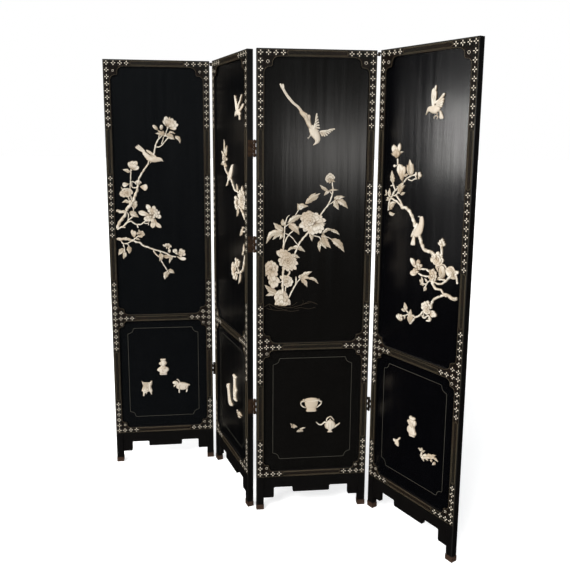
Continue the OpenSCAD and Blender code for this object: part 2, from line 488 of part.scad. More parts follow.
module carvings_leaf_4() {
    // flying bird
    figure([[234, 1600], [244, 1616], [252, 1628], [266, 1632], [258, 1646], [264, 1674], [277, 1695], [280, 1672], [279, 1646], [292, 1646], [304, 1656], [316, 1668], [314, 1648], [312, 1634], [297, 1621], [300, 1608], [314, 1584], [300, 1582], [290, 1602], [282, 1602], [284, 1586], [274, 1588], [270, 1604], [256, 1608], [246, 1610]]);
    // magnolia branch
    figure([[68, 1463], [74, 1470], [70, 1482], [78, 1494], [89, 1495], [97, 1489], [106, 1500], [118, 1503], [121, 1488], [115, 1478], [129, 1473], [112, 1469], [110, 1458], [104, 1446], [95, 1447], [84, 1458]]);
    twig([[102, 1452], [105, 1426]], 7, 7);
    twig([[88, 1420], [98, 1424], [112, 1424]], 8, 5);
    bloom(87, 1420, 8, 5, 0);
    leaflet(124, 1364, 106, 1428, 40);
    leaflet(130, 1376, 138, 1418, 24);
    leaflet(170, 1390, 162, 1446, 38);
    bloom(151, 1392, 10, 5, 0);
    twig([[136, 1362], [150, 1376], [168, 1386], [192, 1394], [212, 1394]], 6, 5);
    twig([[160, 1380], [176, 1373], [200, 1380]], 5, 5);
    leaflet(202, 1376, 198, 1404, 10);
    leaflet(210, 1380, 224, 1404, 17);
    leaflet(80, 1358, 72, 1403, 26);
    twig([[79, 1362], [88, 1346], [97, 1332], [84, 1312], [76, 1300]], 6, 8);
    leaflet(106, 1322, 142, 1368, 36);
    leaflet(122, 1342, 100, 1350, 10);
    bloom(136, 1325, 9, 5, 0);
    twig([[97, 1326], [114, 1306], [130, 1290], [140, 1272]], 7, 8);
    twig([[74, 1304], [98, 1298], [122, 1284], [142, 1270]], 7, 8);
    twig([[136, 1272], [156, 1274], [170, 1267], [182, 1250], [192, 1230], [204, 1208]], 10, 13);
    leaflet(68, 1300, 66, 1336, 18);
    leaflet(58, 1308, 78, 1322, 10);
    leaflet(50, 1308, 44, 1332, 12);
    twig([[74, 1302], [66, 1296], [64, 1268], [64, 1252]], 6, 6);
    bloom(57, 1295, 7, 5, 0);
    leaflet(62, 1252, 99, 1291, 22);
    leaflet(66, 1242, 96, 1248, 18);
    // perched bird
    figure([[188, 1140], [206, 1143], [203, 1158], [206, 1175], [217, 1174], [231, 1181], [241, 1196], [246, 1216], [243, 1240], [232, 1250], [222, 1247], [224, 1232], [220, 1222], [206, 1218], [197, 1200], [186, 1172], [191, 1162]]);
    twig([[226, 1190], [235, 1166], [245, 1147], [256, 1131], [280, 1131], [304, 1118]], 11, 11);
    bloom(317, 1108, 33, 8, 0);
    twig([[334, 1130], [336, 1152], [337, 1166]], 8, 5);
    bloom(337, 1170, 13, 5, 30);
    leaflet(312, 1090, 326, 1058, 14);
    // hen-like bird
    figure([[322, 1070], [330, 1088], [344, 1096], [356, 1092], [372, 1092], [386, 1092], [397, 1080], [403, 1074], [412, 1072], [416, 1040], [406, 1052], [392, 1052], [378, 1066], [372, 1064], [374, 1052], [358, 1048], [352, 1034], [336, 1032], [326, 1046]]);
    twig([[312, 1024], [330, 1020], [350, 1024], [372, 1038], [388, 1056]], 6, 7);
    leaflet(216, 1062, 186, 1092, 20);
    bloom(232, 1072, 19, 6, 0);
    leaflet(242, 1058, 188, 1036, 24);
    twig([[236, 1054], [262, 1060], [286, 1056]], 8, 8);
    twig([[228, 1042], [258, 1036], [286, 1044]], 6, 7);
    bloom(297, 1044, 25, 7, 0);
    twig([[288, 1032], [276, 1020], [268, 1004], [264, 988]], 5, 5);
    leaflet(258, 1006, 240, 1030, 20);
    leaflet(272, 1010, 258, 984, 12);
    leaflet(276, 1018, 262, 1028, 9);
    twig([[304, 1024], [312, 1008], [340, 1004], [354, 993], [376, 993], [396, 984], [416, 988]], 8, 11);
    twig([[356, 992], [338, 976], [316, 966], [304, 948], [298, 922]], 9, 9);
    bloom(280, 924, 27, 8, 0);
    leaflet(292, 912, 326, 906, 22);
    leaflet(284, 898, 294, 876, 16);
    leaflet(274, 900, 256, 884, 14);
    twig([[266, 908], [250, 893], [238, 884], [222, 876], [208, 858]], 7, 6);
    leaflet(198, 842, 197, 902, 28);
    twig([[218, 876], [192, 881], [170, 876], [152, 868]], 6, 5);
    leaflet(178, 888, 164, 920, 18);
    leaflet(176, 882, 152, 890, 11);
    leaflet(146, 840, 138, 874, 32);
    leaflet(168, 876, 166, 858, 8);
    // vase, small bird and sprig
    figure([[214, 486], [245, 486], [243, 473], [249, 468], [249, 456], [243, 448], [245, 438], [251, 424], [247, 412], [246, 404], [216, 404], [214, 412], [208, 420], [208, 436], [213, 448], [207, 457], [208, 466], [213, 473]]);
    figure([[132, 358], [144, 359], [152, 354], [164, 374], [170, 376], [159, 354], [166, 344], [161, 337], [148, 344], [138, 345]]);
    figure([[264, 376], [272, 383], [286, 382], [294, 373], [290, 362], [300, 356], [316, 359], [334, 374], [352, 380], [363, 360], [356, 358], [349, 366], [341, 359], [350, 350], [342, 336], [330, 347], [312, 345], [297, 332], [284, 340], [279, 355], [283, 363], [270, 368]]);
}

module hinge_screws(k) {
    if (k == 1) at_leaf(1) right_side() screws(1);
    if (k == 2) at_leaf(2) { screws(1); right_side() screws(2); }
    if (k == 3) at_leaf(3) { screws(2); right_side() screws(1); }
    if (k == 4) at_leaf(4) screws(1);
}

// ---- named pieces ----
module stile_left_1() { color(frame_colour) at_leaf(1) stile(0); }
module stile_right_1() { color(frame_colour) at_leaf(1) right_side() stile(1); }
module stile_left_2() { color(frame_colour) at_leaf(2) stile(1); }
module stile_right_2() { color(frame_colour) at_leaf(2) right_side() stile(2); }
module stile_left_3() { color(frame_colour) at_leaf(3) stile(2); }
module stile_right_3() { color(frame_colour) at_leaf(3) right_side() stile(1); }
module stile_left_4() { color(frame_colour) at_leaf(4) stile(1); }
module stile_right_4() { color(frame_colour) at_leaf(4) right_side() stile(0); }
module top_rail(k) { color(frame_colour) at_leaf(k) rail(up_z1, top_rail_h, tenons[0], true, false, false); }
module middle_rail(k) { color(frame_colour) at_leaf(k) rail(lo_z1, mid_rail_h, tenons[1], true, true, false); }
module bottom_rail(k) { color(frame_colour) at_leaf(k) rail(low_rail_z, low_rail_h, tenons[2], false, true, true); }
module upper_panel(k) { color(panel_colour) at_leaf(k) panel(up_z0, up_z1); }
module lower_panel(k) { color(panel_colour) at_leaf(k) panel(lo_z0, lo_z1); }
module apron(k) { color(frame_colour) at_leaf(k) apron_board(); }
module corner_spandrels(k) { color(frame_colour) at_leaf(k) spandrels(); }
module foot_caps(k) { color(brass_colour) at_leaf(k) caps(); }
module carvings_1() { color(stone_colour) at_leaf(1) carvings_leaf_1(); }
module carvings_2() { color(stone_colour) at_leaf(2) lower_by(6) carvings_leaf_2(); }
module carvings_3() { color(stone_colour) at_leaf(3) lower_by(6) carvings_leaf_3(); }
module carvings_4() { color(stone_colour) at_leaf(4) lower_by(13) carvings_leaf_4(); }
module hinge_plates_1_right() { color(brass_colour) at_leaf(1) right_side() plate(1, true); }
module hinge_plates_2_left() { color(brass_colour) at_leaf(2) plate(1, false); }
module hinge_plates_2_right() { color(brass_colour) at_leaf(2) right_side() plate(2, true); }
module hinge_plates_3_left() { color(brass_colour) at_leaf(3) plate(2, false); }
module hinge_plates_3_right() { color(brass_colour) at_leaf(3) right_side() plate(1, false); }
module hinge_plates_4_left() { color(brass_colour) at_leaf(4) plate(1, true); }
module hinge_pins_1_2() { color(brass_colour) at_leaf(2) pins(1); }
module hinge_pins_2_3() { color(brass_colour) at_leaf(3) pins(2); }
module hinge_pins_3_4() { color(brass_colour) at_leaf(3) right_side() pins(1); }

stile_left_1();
stile_right_1();
top_rail(1);  // top_rail_1
middle_rail(1);  // middle_rail_1
bottom_rail(1);  // bottom_rail_1
upper_panel(1);  // upper_panel_1
lower_panel(1);  // lower_panel_1
apron(1);  // apron_1
corner_spandrels(1);  // corner_spandrels_1
foot_caps(1);  // foot_caps_1
carvings_1();
stile_left_2();
stile_right_2();
top_rail(2);  // top_rail_2
middle_rail(2);  // middle_rail_2
bottom_rail(2);  // bottom_rail_2
upper_panel(2);  // upper_panel_2
lower_panel(2);  // lower_panel_2
apron(2);  // apron_2
corner_spandrels(2);  // corner_spandrels_2
foot_caps(2);  // foot_caps_2
carvings_2();
stile_left_3();
stile_right_3();
top_rail(3);  // top_rail_3
middle_rail(3);  // middle_rail_3
bottom_rail(3);  // bottom_rail_3
upper_panel(3);  // upper_panel_3
lower_panel(3);  // lower_panel_3
apron(3);  // apron_3
corner_spandrels(3);  // corner_spandrels_3
foot_caps(3);  // foot_caps_3
carvings_3();
stile_left_4();
stile_right_4();
top_rail(4);  // top_rail_4
middle_rail(4);  // middle_rail_4
bottom_rail(4);  // bottom_rail_4
upper_panel(4);  // upper_panel_4
lower_panel(4);  // lower_panel_4
apron(4);  // apron_4
corner_spandrels(4);  // corner_spandrels_4
foot_caps(4);  // foot_caps_4
carvings_4();
hinge_plates_1_right();
hinge_plates_2_left();
hinge_plates_2_right();
hinge_plates_3_left();
hinge_plates_3_right();
hinge_plates_4_left();
hinge_pins_1_2();
hinge_pins_2_3();
hinge_pins_3_4();
color(brass_colour) hinge_screws(1);  // hinge_screws_1
color(brass_colour) hinge_screws(2);  // hinge_screws_2
color(brass_colour) hinge_screws(3);  // hinge_screws_3
color(brass_colour) hinge_screws(4);  // hinge_screws_4
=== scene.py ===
import math

import bmesh
import bpy
from mathutils import Matrix, Vector
from mathutils.geometry import delaunay_2d_cdt

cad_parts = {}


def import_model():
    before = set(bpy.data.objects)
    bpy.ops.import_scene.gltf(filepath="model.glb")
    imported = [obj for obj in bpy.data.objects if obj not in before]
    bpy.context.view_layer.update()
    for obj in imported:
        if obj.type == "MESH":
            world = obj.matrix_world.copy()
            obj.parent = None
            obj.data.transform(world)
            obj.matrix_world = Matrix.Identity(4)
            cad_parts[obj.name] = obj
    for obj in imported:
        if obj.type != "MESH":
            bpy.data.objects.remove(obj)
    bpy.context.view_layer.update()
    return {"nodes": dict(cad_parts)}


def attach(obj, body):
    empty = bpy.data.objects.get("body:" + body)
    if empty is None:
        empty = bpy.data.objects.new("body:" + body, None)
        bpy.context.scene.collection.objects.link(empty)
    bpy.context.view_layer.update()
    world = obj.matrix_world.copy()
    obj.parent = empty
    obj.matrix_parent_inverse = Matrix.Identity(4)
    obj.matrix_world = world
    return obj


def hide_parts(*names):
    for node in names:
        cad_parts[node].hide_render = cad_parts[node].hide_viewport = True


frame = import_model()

# ---------------------------------------------------------------- the four leaves
# Leaf frame in mm: x along the leaf from its left edge, y from the front face to
# the back, z up. The plan of the zig-zag is built the same way as the frame's.
W, T, H = 450.0, 24.0, 1830.0
STILE, RECESS = 30.0, 7.0
UP_Z0, UP_Z1 = 711.0, 1800.0
LO_Z0, LO_Z1 = 168.0, 678.0
PIN_OUT, PIN_PROUD, CAP = 6.0, 3.0, 0.8


def along(a):
    a = math.radians(a)
    return math.cos(a), math.sin(a)


def ahead(a):
    a = math.radians(a)
    return math.sin(a), -math.cos(a)


def plus(p, v, k):
    return p[0] + v[0] * k, p[1] + v[1] * k


A3 = 6.1
A4, A2 = A3 - 61.2, A3 - 73.1
A1 = A2 + 73.9
P3 = (0.0, 0.0)
pin = plus(plus(P3, along(A3), W + PIN_OUT), ahead(A3), PIN_PROUD)
P4 = plus(plus(pin, along(A4), PIN_OUT), ahead(A4), -PIN_PROUD)
pin = plus(plus(P3, along(A3), -PIN_OUT), ahead(A3), -(T + PIN_PROUD))
P2 = plus(plus(pin, along(A2), -(PIN_OUT + W)), ahead(A2), T + PIN_PROUD)
pin = plus(plus(P2, along(A2), -PIN_OUT), ahead(A2), PIN_PROUD)
P1 = plus(plus(pin, along(A1), -(PIN_OUT + W)), ahead(A1), -PIN_PROUD)
PLAN = {1: (P1, A1), 2: (P2, A2), 3: (P3, A3), 4: (P4, A4)}
plan = [plus(plus(p, along(a), x), ahead(a), -y)
        for p, a in PLAN.values() for x in (-CAP, W + CAP) for y in (-CAP, T + CAP)]
OX = (min(p[0] for p in plan) + max(p[0] for p in plan)) / 2
OY = (min(p[1] for p in plan) + max(p[1] for p in plan)) / 2
LEAVES = {k: ((p[0] - OX, p[1] - OY), a) for k, (p, a) in PLAN.items()}


def world(k, x, y, z):
    (px, py), a = LEAVES[k]
    c, s = along(a)
    return ((px + x * c - y * s) / 1000, (py + x * s + y * c) / 1000, z / 1000)


# ---------------------------------------------------------------- camera
cam_data = bpy.data.cameras.new("camera")
cam = bpy.data.objects.new("camera", cam_data)
bpy.context.scene.collection.objects.link(cam)
cam.location = (0.0769, -2.5024, 1.5153)
cam.rotation_mode = "XYZ"
cam.matrix_world = (Matrix.Translation(cam.location)
                    @ Matrix.Rotation(math.radians(90 - 9.441), 4, "X")
                    @ Matrix.Rotation(math.radians(0.421), 4, "Z"))
cam_data.sensor_width = 36.0
cam_data.lens = 40.783
cam_data.shift_y = -42.0 / 570.0
cam_data.clip_start = 0.05
cam_data.clip_end = 200
bpy.context.scene.camera = cam


# ---------------------------------------------------------------- node helpers
class Graph:
    """A small hand for writing node trees."""

    def __init__(self, name, k=None):
        self.mat = bpy.data.materials.new(name)
        self.mat.use_nodes = True
        self.nt = self.mat.node_tree
        self.nt.nodes.clear()
        self.out = self.node("ShaderNodeOutputMaterial")
        self.bsdf = self.node("ShaderNodeBsdfPrincipled")
        self.link(self.bsdf.outputs[0], self.out.inputs[0])
        self.k = k
        self._leaf = None

    def node(self, kind, **props):
        n = self.nt.nodes.new(kind)
        for a, b in props.items():
            setattr(n, a, b)
        return n

    def link(self, a, b):
        self.nt.links.new(a, b)

    def put(self, socket, value):
        if hasattr(value, "is_output"):
            self.link(value, socket)
        elif value is not None:
            socket.default_value = value

    def coords(self):
        """Leaf coordinates in mm, or the row frame's in mm."""
        if self._leaf is None:
            tc = self.node("ShaderNodeTexCoord")
            mp = self.node("ShaderNodeMapping", vector_type="POINT")
            self.link(tc.outputs["Object"], mp.inputs["Vector"])
            mp.inputs["Scale"].default_value = (1000, 1000, 1000)
            if self.k:
                (px, py), a = LEAVES[self.k]
                c, s = along(a)
                mp.inputs["Rotation"].default_value = (0, 0, -math.radians(a))
                mp.inputs["Location"].default_value = (-(px * c + py * s), -(-px * s + py * c), 0)
            self._leaf = mp.outputs[0]
        return self._leaf

    def split(self):
        sp = self.node("ShaderNodeSeparateXYZ")
        self.link(self.coords(), sp.inputs[0])
        return sp.outputs[0], sp.outputs[1], sp.outputs[2]

    def stretch(self, sx, sy, sz):
        mp = self.node("ShaderNodeMapping", vector_type="POINT")
        self.link(self.coords(), mp.inputs["Vector"])
        mp.inputs["Scale"].default_value = (sx, sy, sz)
        return mp.outputs[0]

    def math(self, op, a, b=None, c=None, clamp=False):
        n = self.node("ShaderNodeMath", operation=op, use_clamp=clamp)
        self.put(n.inputs[0], a)
        if b is not None:
            self.put(n.inputs[1], b)
        if c is not None:
            self.put(n.inputs[2], c)
        return n.outputs[0]

    def noise(self, vector, scale, detail=3.0, rough=0.55, dims="3D", distort=0.0):
        n = self.node("ShaderNodeTexNoise", noise_dimensions=dims)
        self.put(n.inputs["Vector"], vector)
        n.inputs["Scale"].default_value = scale
        n.inputs["Detail"].default_value = detail
        n.inputs["Roughness"].default_value = rough
        n.inputs["Distortion"].default_value = distort
        return n.outputs["Fac"]

    def band(self, value, lo, hi, out_lo=0.0, out_hi=1.0, smooth=True):
        n = self.node("ShaderNodeMapRange", interpolation_type="SMOOTHSTEP" if smooth else "LINEAR", clamp=True)
        self.put(n.inputs[0], value)
        n.inputs[1].default_value = lo
        n.inputs[2].default_value = hi
        n.inputs[3].default_value = out_lo
        n.inputs[4].default_value = out_hi
        return n.outputs[0]

    def mix(self, fac, a, b, mode="MIX"):
        n = self.node("ShaderNodeMix", data_type="RGBA", blend_type=mode)
        self.put(n.inputs[0], fac)
        for s, v in ((n.inputs[6], a), (n.inputs[7], b)):
            if isinstance(v, tuple) and len(v) == 3:
                v = (*v, 1.0)
            self.put(s, v)
        return n.outputs[2]

    def attribute(self, name):
        return self.node("ShaderNodeAttribute", attribute_name=name).outputs["Fac"]

    def bump(self, height, strength, distance):
        n = self.node("ShaderNodeBump")
        self.put(n.inputs["Height"], height)
        n.inputs["Strength"].default_value = strength
        n.inputs["Distance"].default_value = distance
        prev = self.bsdf.inputs["Normal"]
        if prev.is_linked:
            self.link(prev.links[0].from_socket, n.inputs["Normal"])
        self.link(n.outputs[0], self.bsdf.inputs["Normal"])
        return n.outputs[0]

    def set(self, **values):
        for name, v in values.items():
            s = self.bsdf.inputs[name.replace("_", " ")]
            if isinstance(v, tuple) and len(v) == 3 and s.type == "RGBA":
                v = (*v, 1.0)
            self.put(s, v)


# ---------------------------------------------------------------- materials
def lattice(g, pitch, line):
    """Fine diamond lattice in the leaf's face: 1 on the lines."""
    x, y, z = g.split()
    hits = []
    for s in (1.0, -1.0):
        d = g.math("MULTIPLY_ADD", x, s, z)
        f = g.math("FRACT", g.math("MULTIPLY", d, 1.0 / pitch))
        f = g.math("ABSOLUTE", g.math("SUBTRACT", f, 0.5))
        hits.append(g.band(f, line / pitch * 0.5, line / pitch * 0.9, 1.0, 0.0))
    return g.math("MAXIMUM", hits[0], hits[1])


def panel_lacquer(k):
    """Near-black lacquer: long upright streaks left by rubbing, faint dust and wear."""
    g = Graph(f"panel_lacquer_{k}", k)
    streak = g.noise(g.stretch(0.030, 0.0, 0.0012), 1.0, 4.0, 0.55, distort=0.2)
    fine = g.noise(g.stretch(0.30, 0.0, 0.004), 1.0, 3.0, 0.6)
    mottle = g.noise(g.coords(), 0.012, 4.0, 0.55)
    # painted light and shade: the same lacquer gets a brighter base on leaves 1 and 3 (bluish on 1, warm on 3) and a
    # darker one on leaves 2 and 4. These colours stand in for how each leaf catches light and reflections.
    dark, light = {1: ((0.0022, 0.0026, 0.0031), (0.0036, 0.0041, 0.0047)), 2: ((0.0006, 0.0006, 0.0009), (0.0012, 0.0012, 0.0015)),
                   3: ((0.0028, 0.0026, 0.0023), (0.0045, 0.0040, 0.0034)), 4: ((0.0008, 0.0008, 0.0012), (0.0016, 0.0016, 0.0021))}[k]
    tone = g.mix(mottle, dark, light)
    tone = g.mix(g.band(fine, 0.58, 0.8, 0.0, 0.12), tone, (0.0042, 0.0038, 0.0036))
    g.set(Base_Color=tone)
    g.set(Roughness=g.math("MULTIPLY_ADD", fine, 0.04, g.math("MULTIPLY_ADD", streak, 0.08, 0.24 if k == 2 else 0.115)))
    g.set(Specular_IOR_Level=g.band(g.math("MULTIPLY_ADD", fine, 0.42, g.math("MULTIPLY", streak, 0.58)), 0.36, 0.64, 0.33, 0.62))
    wave = g.math("MULTIPLY_ADD", fine, 0.10, streak)
    g.bump(wave, 0.30, 0.0010)
    pits = g.noise(g.coords(), 0.9, 2.0, 0.5)
    g.bump(pits, 0.05, 0.0004)
    return g.mat


def frame_lacquer(k):
    """Brown-black lacquer. The front has a painted ground in the border and a plain outer edge."""
    g = Graph(f"frame_lacquer_{k}", k)
    x, y, z = g.split()
    front = g.band(y, 0.2, 0.9, 1.0, 0.0, smooth=False)
    side = g.math("MINIMUM", x, g.math("SUBTRACT", W, x))
    top = g.math("SUBTRACT", H, z)
    rim = g.math("MINIMUM", side, top)
    inner = g.band(rim, 4.6, 5.2)
    low = g.band(z, 143.0, 143.8)
    ground = g.math("MULTIPLY", g.math("MULTIPLY", inner, low), front)
    cloudy = g.noise(g.coords(), 0.05, 4.0, 0.6)
    speck = g.noise(g.coords(), 1.1, 3.0, 0.7)
    net = lattice(g, 3.6, 0.6)
    worn = g.math("MULTIPLY", net, g.band(speck, 0.42, 0.62))
    patch = g.band(g.noise(g.coords(), 0.009, 3.0, 0.5), 0.44, 0.56)
    cells = g.band(g.math("MULTIPLY_ADD", g.noise(g.coords(), 0.16, 2.0, 0.5), 0.7, g.math("MULTIPLY", cloudy, 0.3)), 0.40, 0.62)
    brown = g.mix(cells, (0.0012, 0.0007, 0.0005), (0.0125, 0.0056, 0.0028))
    olive = g.mix(cells, (0.0011, 0.0009, 0.0006), (0.0078, 0.0072, 0.0046))
    brown = g.mix(patch, brown, olive)
    gold = g.mix(speck, (0.026, 0.017, 0.009), (0.062, 0.046, 0.026))
    painted = g.mix(g.math("MULTIPLY", worn, 0.20), brown, gold)
    dust = g.band(speck, 0.66, 0.74)
    painted = g.mix(g.math("MULTIPLY", dust, 0.22), painted, gold)
    streak = g.noise(g.stretch(0.25, 0.25, 0.004), 1.0, 4.0, 0.6)
    black = g.mix(streak, (0.0016, 0.0015, 0.0017), (0.0050, 0.0040, 0.0034))
    edge_tone = g.mix(streak, (0.0055, 0.0056, 0.0050), (0.0135, 0.0130, 0.0110))
    plain = g.mix(g.math("MULTIPLY", front, g.math("SUBTRACT", 1.0, inner)), black, edge_tone)
    col = g.mix(ground, plain, painted)
    # rubbed arrises and feet
    wear = g.noise(g.coords(), 0.11, 5.0, 0.65)
    low_wear = g.band(z, 20.0, 90.0, 1.0, 0.0)
    rub = g.math("MULTIPLY", g.band(wear, 0.60, 0.72), g.math("MULTIPLY_ADD", low_wear, 0.35, 0.12))
    col = g.mix(rub, col, (0.026, 0.014, 0.008))
    g.set(Base_Color=col)
    rough = g.math("MULTIPLY_ADD", ground, 0.16, g.math("MULTIPLY_ADD", streak, 0.14, 0.27))
    g.set(Roughness=rough)
    g.set(Specular_IOR_Level=g.math("MULTIPLY_ADD", ground, -0.24, 0.5))
    g.bump(g.math("MULTIPLY_ADD", net, 0.5, speck), 0.10, 0.0002)
    g.bump(streak, 0.12, 0.0006)
    return g.mat


def spandrel_lacquer(k):
    """The corner pieces carry the border's painted ground all over."""
    g = Graph(f"spandrel_lacquer_{k}", k)
    x, y, z = g.split()
    front = g.band(y, 1.2, 1.9, 1.0, 0.0, smooth=False)
    cloudy = g.noise(g.coords(), 0.05, 4.0, 0.6)
    speck = g.noise(g.coords(), 1.1, 3.0, 0.7)
    net = lattice(g, 3.6, 0.6)
    worn = g.math("MULTIPLY", net, g.band(speck, 0.42, 0.62))
    cells = g.band(g.math("MULTIPLY_ADD", g.noise(g.coords(), 0.16, 2.0, 0.5), 0.7, g.math("MULTIPLY", cloudy, 0.3)), 0.40, 0.62)
    brown = g.mix(cells, (0.0012, 0.0008, 0.0006), (0.0105, 0.0052, 0.0029))
    gold = g.mix(speck, (0.026, 0.017, 0.009), (0.062, 0.046, 0.026))
    painted = g.mix(g.math("MULTIPLY", worn, 0.16), brown, gold)
    painted = g.mix(g.math("MULTIPLY", g.band(speck, 0.66, 0.74), 0.2), painted, gold)
    col = g.mix(front, (0.0026, 0.0022, 0.0022), painted)
    g.set(Base_Color=col, Roughness=g.math("MULTIPLY_ADD", cloudy, 0.14, 0.34), Specular_IOR_Level=0.28)
    g.bump(g.math("MULTIPLY_ADD", net, 0.5, speck), 0.10, 0.0002)
    return g.mat


def ivory():
    """Warm carved stone. The mesh carries two numbers: tone, painted light and shade, 0 in the cuts, throats and shaded
    sides to 1 on the lit crowns (it also carries the eyes' own darker colour), and stain, how tan a petal or leaf is."""
    g = Graph("carved_stone")
    tone = g.attribute("tone")
    stain = g.attribute("stain")
    cloud = g.noise(g.coords(), 0.045, 4.0, 0.6)
    vein = g.noise(g.coords(), 0.16, 5.0, 0.7, distort=1.2)
    grain = g.noise(g.coords(), 1.4, 3.0, 0.6)
    blush = g.noise(g.coords(), 0.022, 3.0, 0.5)
    # painted shade: ambient occlusion darkens the colour in the hollows between petals, leaves and feathers
    ao = g.node("ShaderNodeAmbientOcclusion", samples=8, only_local=True)
    ao.inputs["Distance"].default_value = 0.0065
    ao_painted_light = g.band(ao.outputs["AO"], 0.30, 0.97, 0.0, 1.0, smooth=False)
    t = g.math("MULTIPLY_ADD", grain, 0.16, -0.08)
    t = g.math("ADD", t, g.math("MULTIPLY_ADD", cloud, 0.24, -0.12))
    t = g.math("ADD", t, tone)
    t = g.math("ADD", t, g.math("MULTIPLY_ADD", ao_painted_light, 0.85, -0.79))
    # painted light and shade: t climbs from dark brown and tan shade colours in the cuts and hollows to the lit warm
    # and pale stone colours on the crowns; grain and cloud add the stone's own mottling
    shade_deep = g.mix(cloud, (0.070, 0.042, 0.023), (0.115, 0.074, 0.043))
    tan = g.mix(cloud, (0.280, 0.207, 0.130), (0.355, 0.275, 0.188))
    warm = g.mix(stain, (0.460, 0.398, 0.306), (0.330, 0.242, 0.156))
    pale = g.mix(stain, (0.740, 0.685, 0.595), (0.525, 0.425, 0.310))
    col = g.mix(g.band(t, 0.02, 0.34), shade_deep, tan)
    col = g.mix(g.band(t, 0.24, 0.66), col, warm)
    col = g.mix(g.band(t, 0.70, 1.06), col, pale)
    col = g.mix(g.band(vein, 0.58, 0.72, 0.0, 0.28), col, (0.42, 0.31, 0.20))
    col = g.mix(g.band(blush, 0.50, 0.64, 0.0, 0.42), col, (0.50, 0.385, 0.265))
    g.set(Base_Color=col, Roughness=g.band(grain, 0.3, 0.7, 0.36, 0.50))
    g.set(Specular_IOR_Level=0.5)
    g.bump(g.math("MULTIPLY_ADD", grain, 0.35, vein), 0.22, 0.0004)
    return g.mat


def pearl():
    """Border inlay: pale flakes with a slight warm and cool shift between them, and painted shade darkening the chips'
    sides and bevels.
    """
    g = Graph("inlay_pale")
    flake = g.noise(g.coords(), 0.09, 2.0, 0.5)
    grain = g.noise(g.coords(), 0.9, 3.0, 0.6)
    tone = g.attribute("tone")
    col = g.mix(flake, (0.60, 0.52, 0.40), (0.72, 0.67, 0.57))
    col = g.mix(g.band(grain, 0.52, 0.75, 0.0, 0.5), col, (0.33, 0.25, 0.16))
    # painted shade: the low tone on each chip's sides and bevel darkens it
    col = g.mix(g.band(tone, 0.0, 0.6, 0.65, 0.0), col, (0.12, 0.08, 0.05))
    g.set(Base_Color=col, Roughness=g.band(grain, 0.3, 0.7, 0.30, 0.46))
    g.bump(grain, 0.12, 0.0002)
    return g.mat


def ebony():
    g = Graph("inlay_dark")
    grain = g.noise(g.coords(), 0.7, 3.0, 0.6)
    g.set(Base_Color=g.mix(grain, (0.0012, 0.0010, 0.0009), (0.0034, 0.0026, 0.0022)),
          Roughness=g.band(grain, 0.3, 0.7, 0.32, 0.48))
    g.bump(grain, 0.1, 0.0002)
    return g.mat


def gilt(name, a, b, rough, thin):
    """Old gold paint: dull, worn thin in patches."""
    g = Graph(name)
    cloud = g.noise(g.coords(), 0.03, 4.0, 0.6)
    grain = g.noise(g.coords(), 0.8, 3.0, 0.65)
    col = g.mix(cloud, a, b)
    col = g.mix(g.band(grain, 0.50, 0.72, 0.0, thin), col, (0.022, 0.014, 0.008))
    g.set(Base_Color=col, Roughness=g.band(grain, 0.3, 0.7, rough, rough + 0.14), Metallic=0.35)
    g.bump(grain, 0.12, 0.0002)
    return g.mat


def brass(name, metal_a, metal_b, patina_a, patina_b):
    """Old hinge metal under a brown patina, rubbed brighter in patches."""
    g = Graph(name)
    cloud = g.noise(g.coords(), 0.07, 5.0, 0.65)
    spots = g.noise(g.coords(), 0.45, 4.0, 0.7)
    streak = g.noise(g.stretch(1.2, 1.2, 0.05), 1.0, 3.0, 0.6)
    metal = g.mix(cloud, metal_a, metal_b)
    patina = g.mix(spots, patina_a, patina_b)
    mask = g.band(g.math("MULTIPLY_ADD", spots, 0.45, g.math("MULTIPLY", cloud, 0.55)), 0.42, 0.62)
    col = g.mix(mask, patina, metal)
    g.set(Base_Color=col, Metallic=0.45,
          Roughness=g.math("MULTIPLY_ADD", mask, -0.14, g.math("MULTIPLY_ADD", streak, 0.16, 0.46)))
    g.bump(spots, 0.20, 0.0004)
    g.bump(streak, 0.06, 0.0003)
    return g.mat


def cap_metal():
    """Foot caps: brown copper, scuffed towards the floor."""
    g = Graph("cap_metal")
    x, y, z = g.split()
    cloud = g.noise(g.coords(), 0.09, 5.0, 0.65)
    spots = g.noise(g.coords(), 0.5, 4.0, 0.7)
    base = g.mix(cloud, (0.046, 0.024, 0.015), (0.115, 0.068, 0.046))
    col = g.mix(g.band(spots, 0.52, 0.70, 0.0, 0.8), base, (0.020, 0.011, 0.008))
    scuff = g.math("MULTIPLY", g.band(z, 2.0, 12.0, 1.0, 0.0), g.band(spots, 0.42, 0.58))
    col = g.mix(g.math("MULTIPLY", scuff, 0.5), col, (0.20, 0.125, 0.085))
    g.set(Base_Color=col, Metallic=0.45, Roughness=g.band(cloud, 0.3, 0.7, 0.36, 0.56))
    g.bump(spots, 0.25, 0.0005)
    return g.mat


IVORY, PEARL, EBONY = ivory(), pearl(), ebony()
GOLD_LINE = gilt("gold_line", (0.105, 0.078, 0.044), (0.190, 0.155, 0.098), 0.42, 0.70)
FRET_GOLD = gilt("fret_gold", (0.014, 0.010, 0.006), (0.040, 0.031, 0.020), 0.46, 0.55)
GREY_LINE = gilt("panel_line", (0.060, 0.057, 0.046), (0.115, 0.108, 0.085), 0.42, 0.40)
BRUSH_GOLD = gilt("brush_gold", (0.030, 0.020, 0.011), (0.060, 0.042, 0.024), 0.40, 0.75)
BRASS = brass("aged_brass", (0.058, 0.029, 0.014), (0.105, 0.058, 0.029), (0.019, 0.010, 0.006), (0.042, 0.022, 0.012))
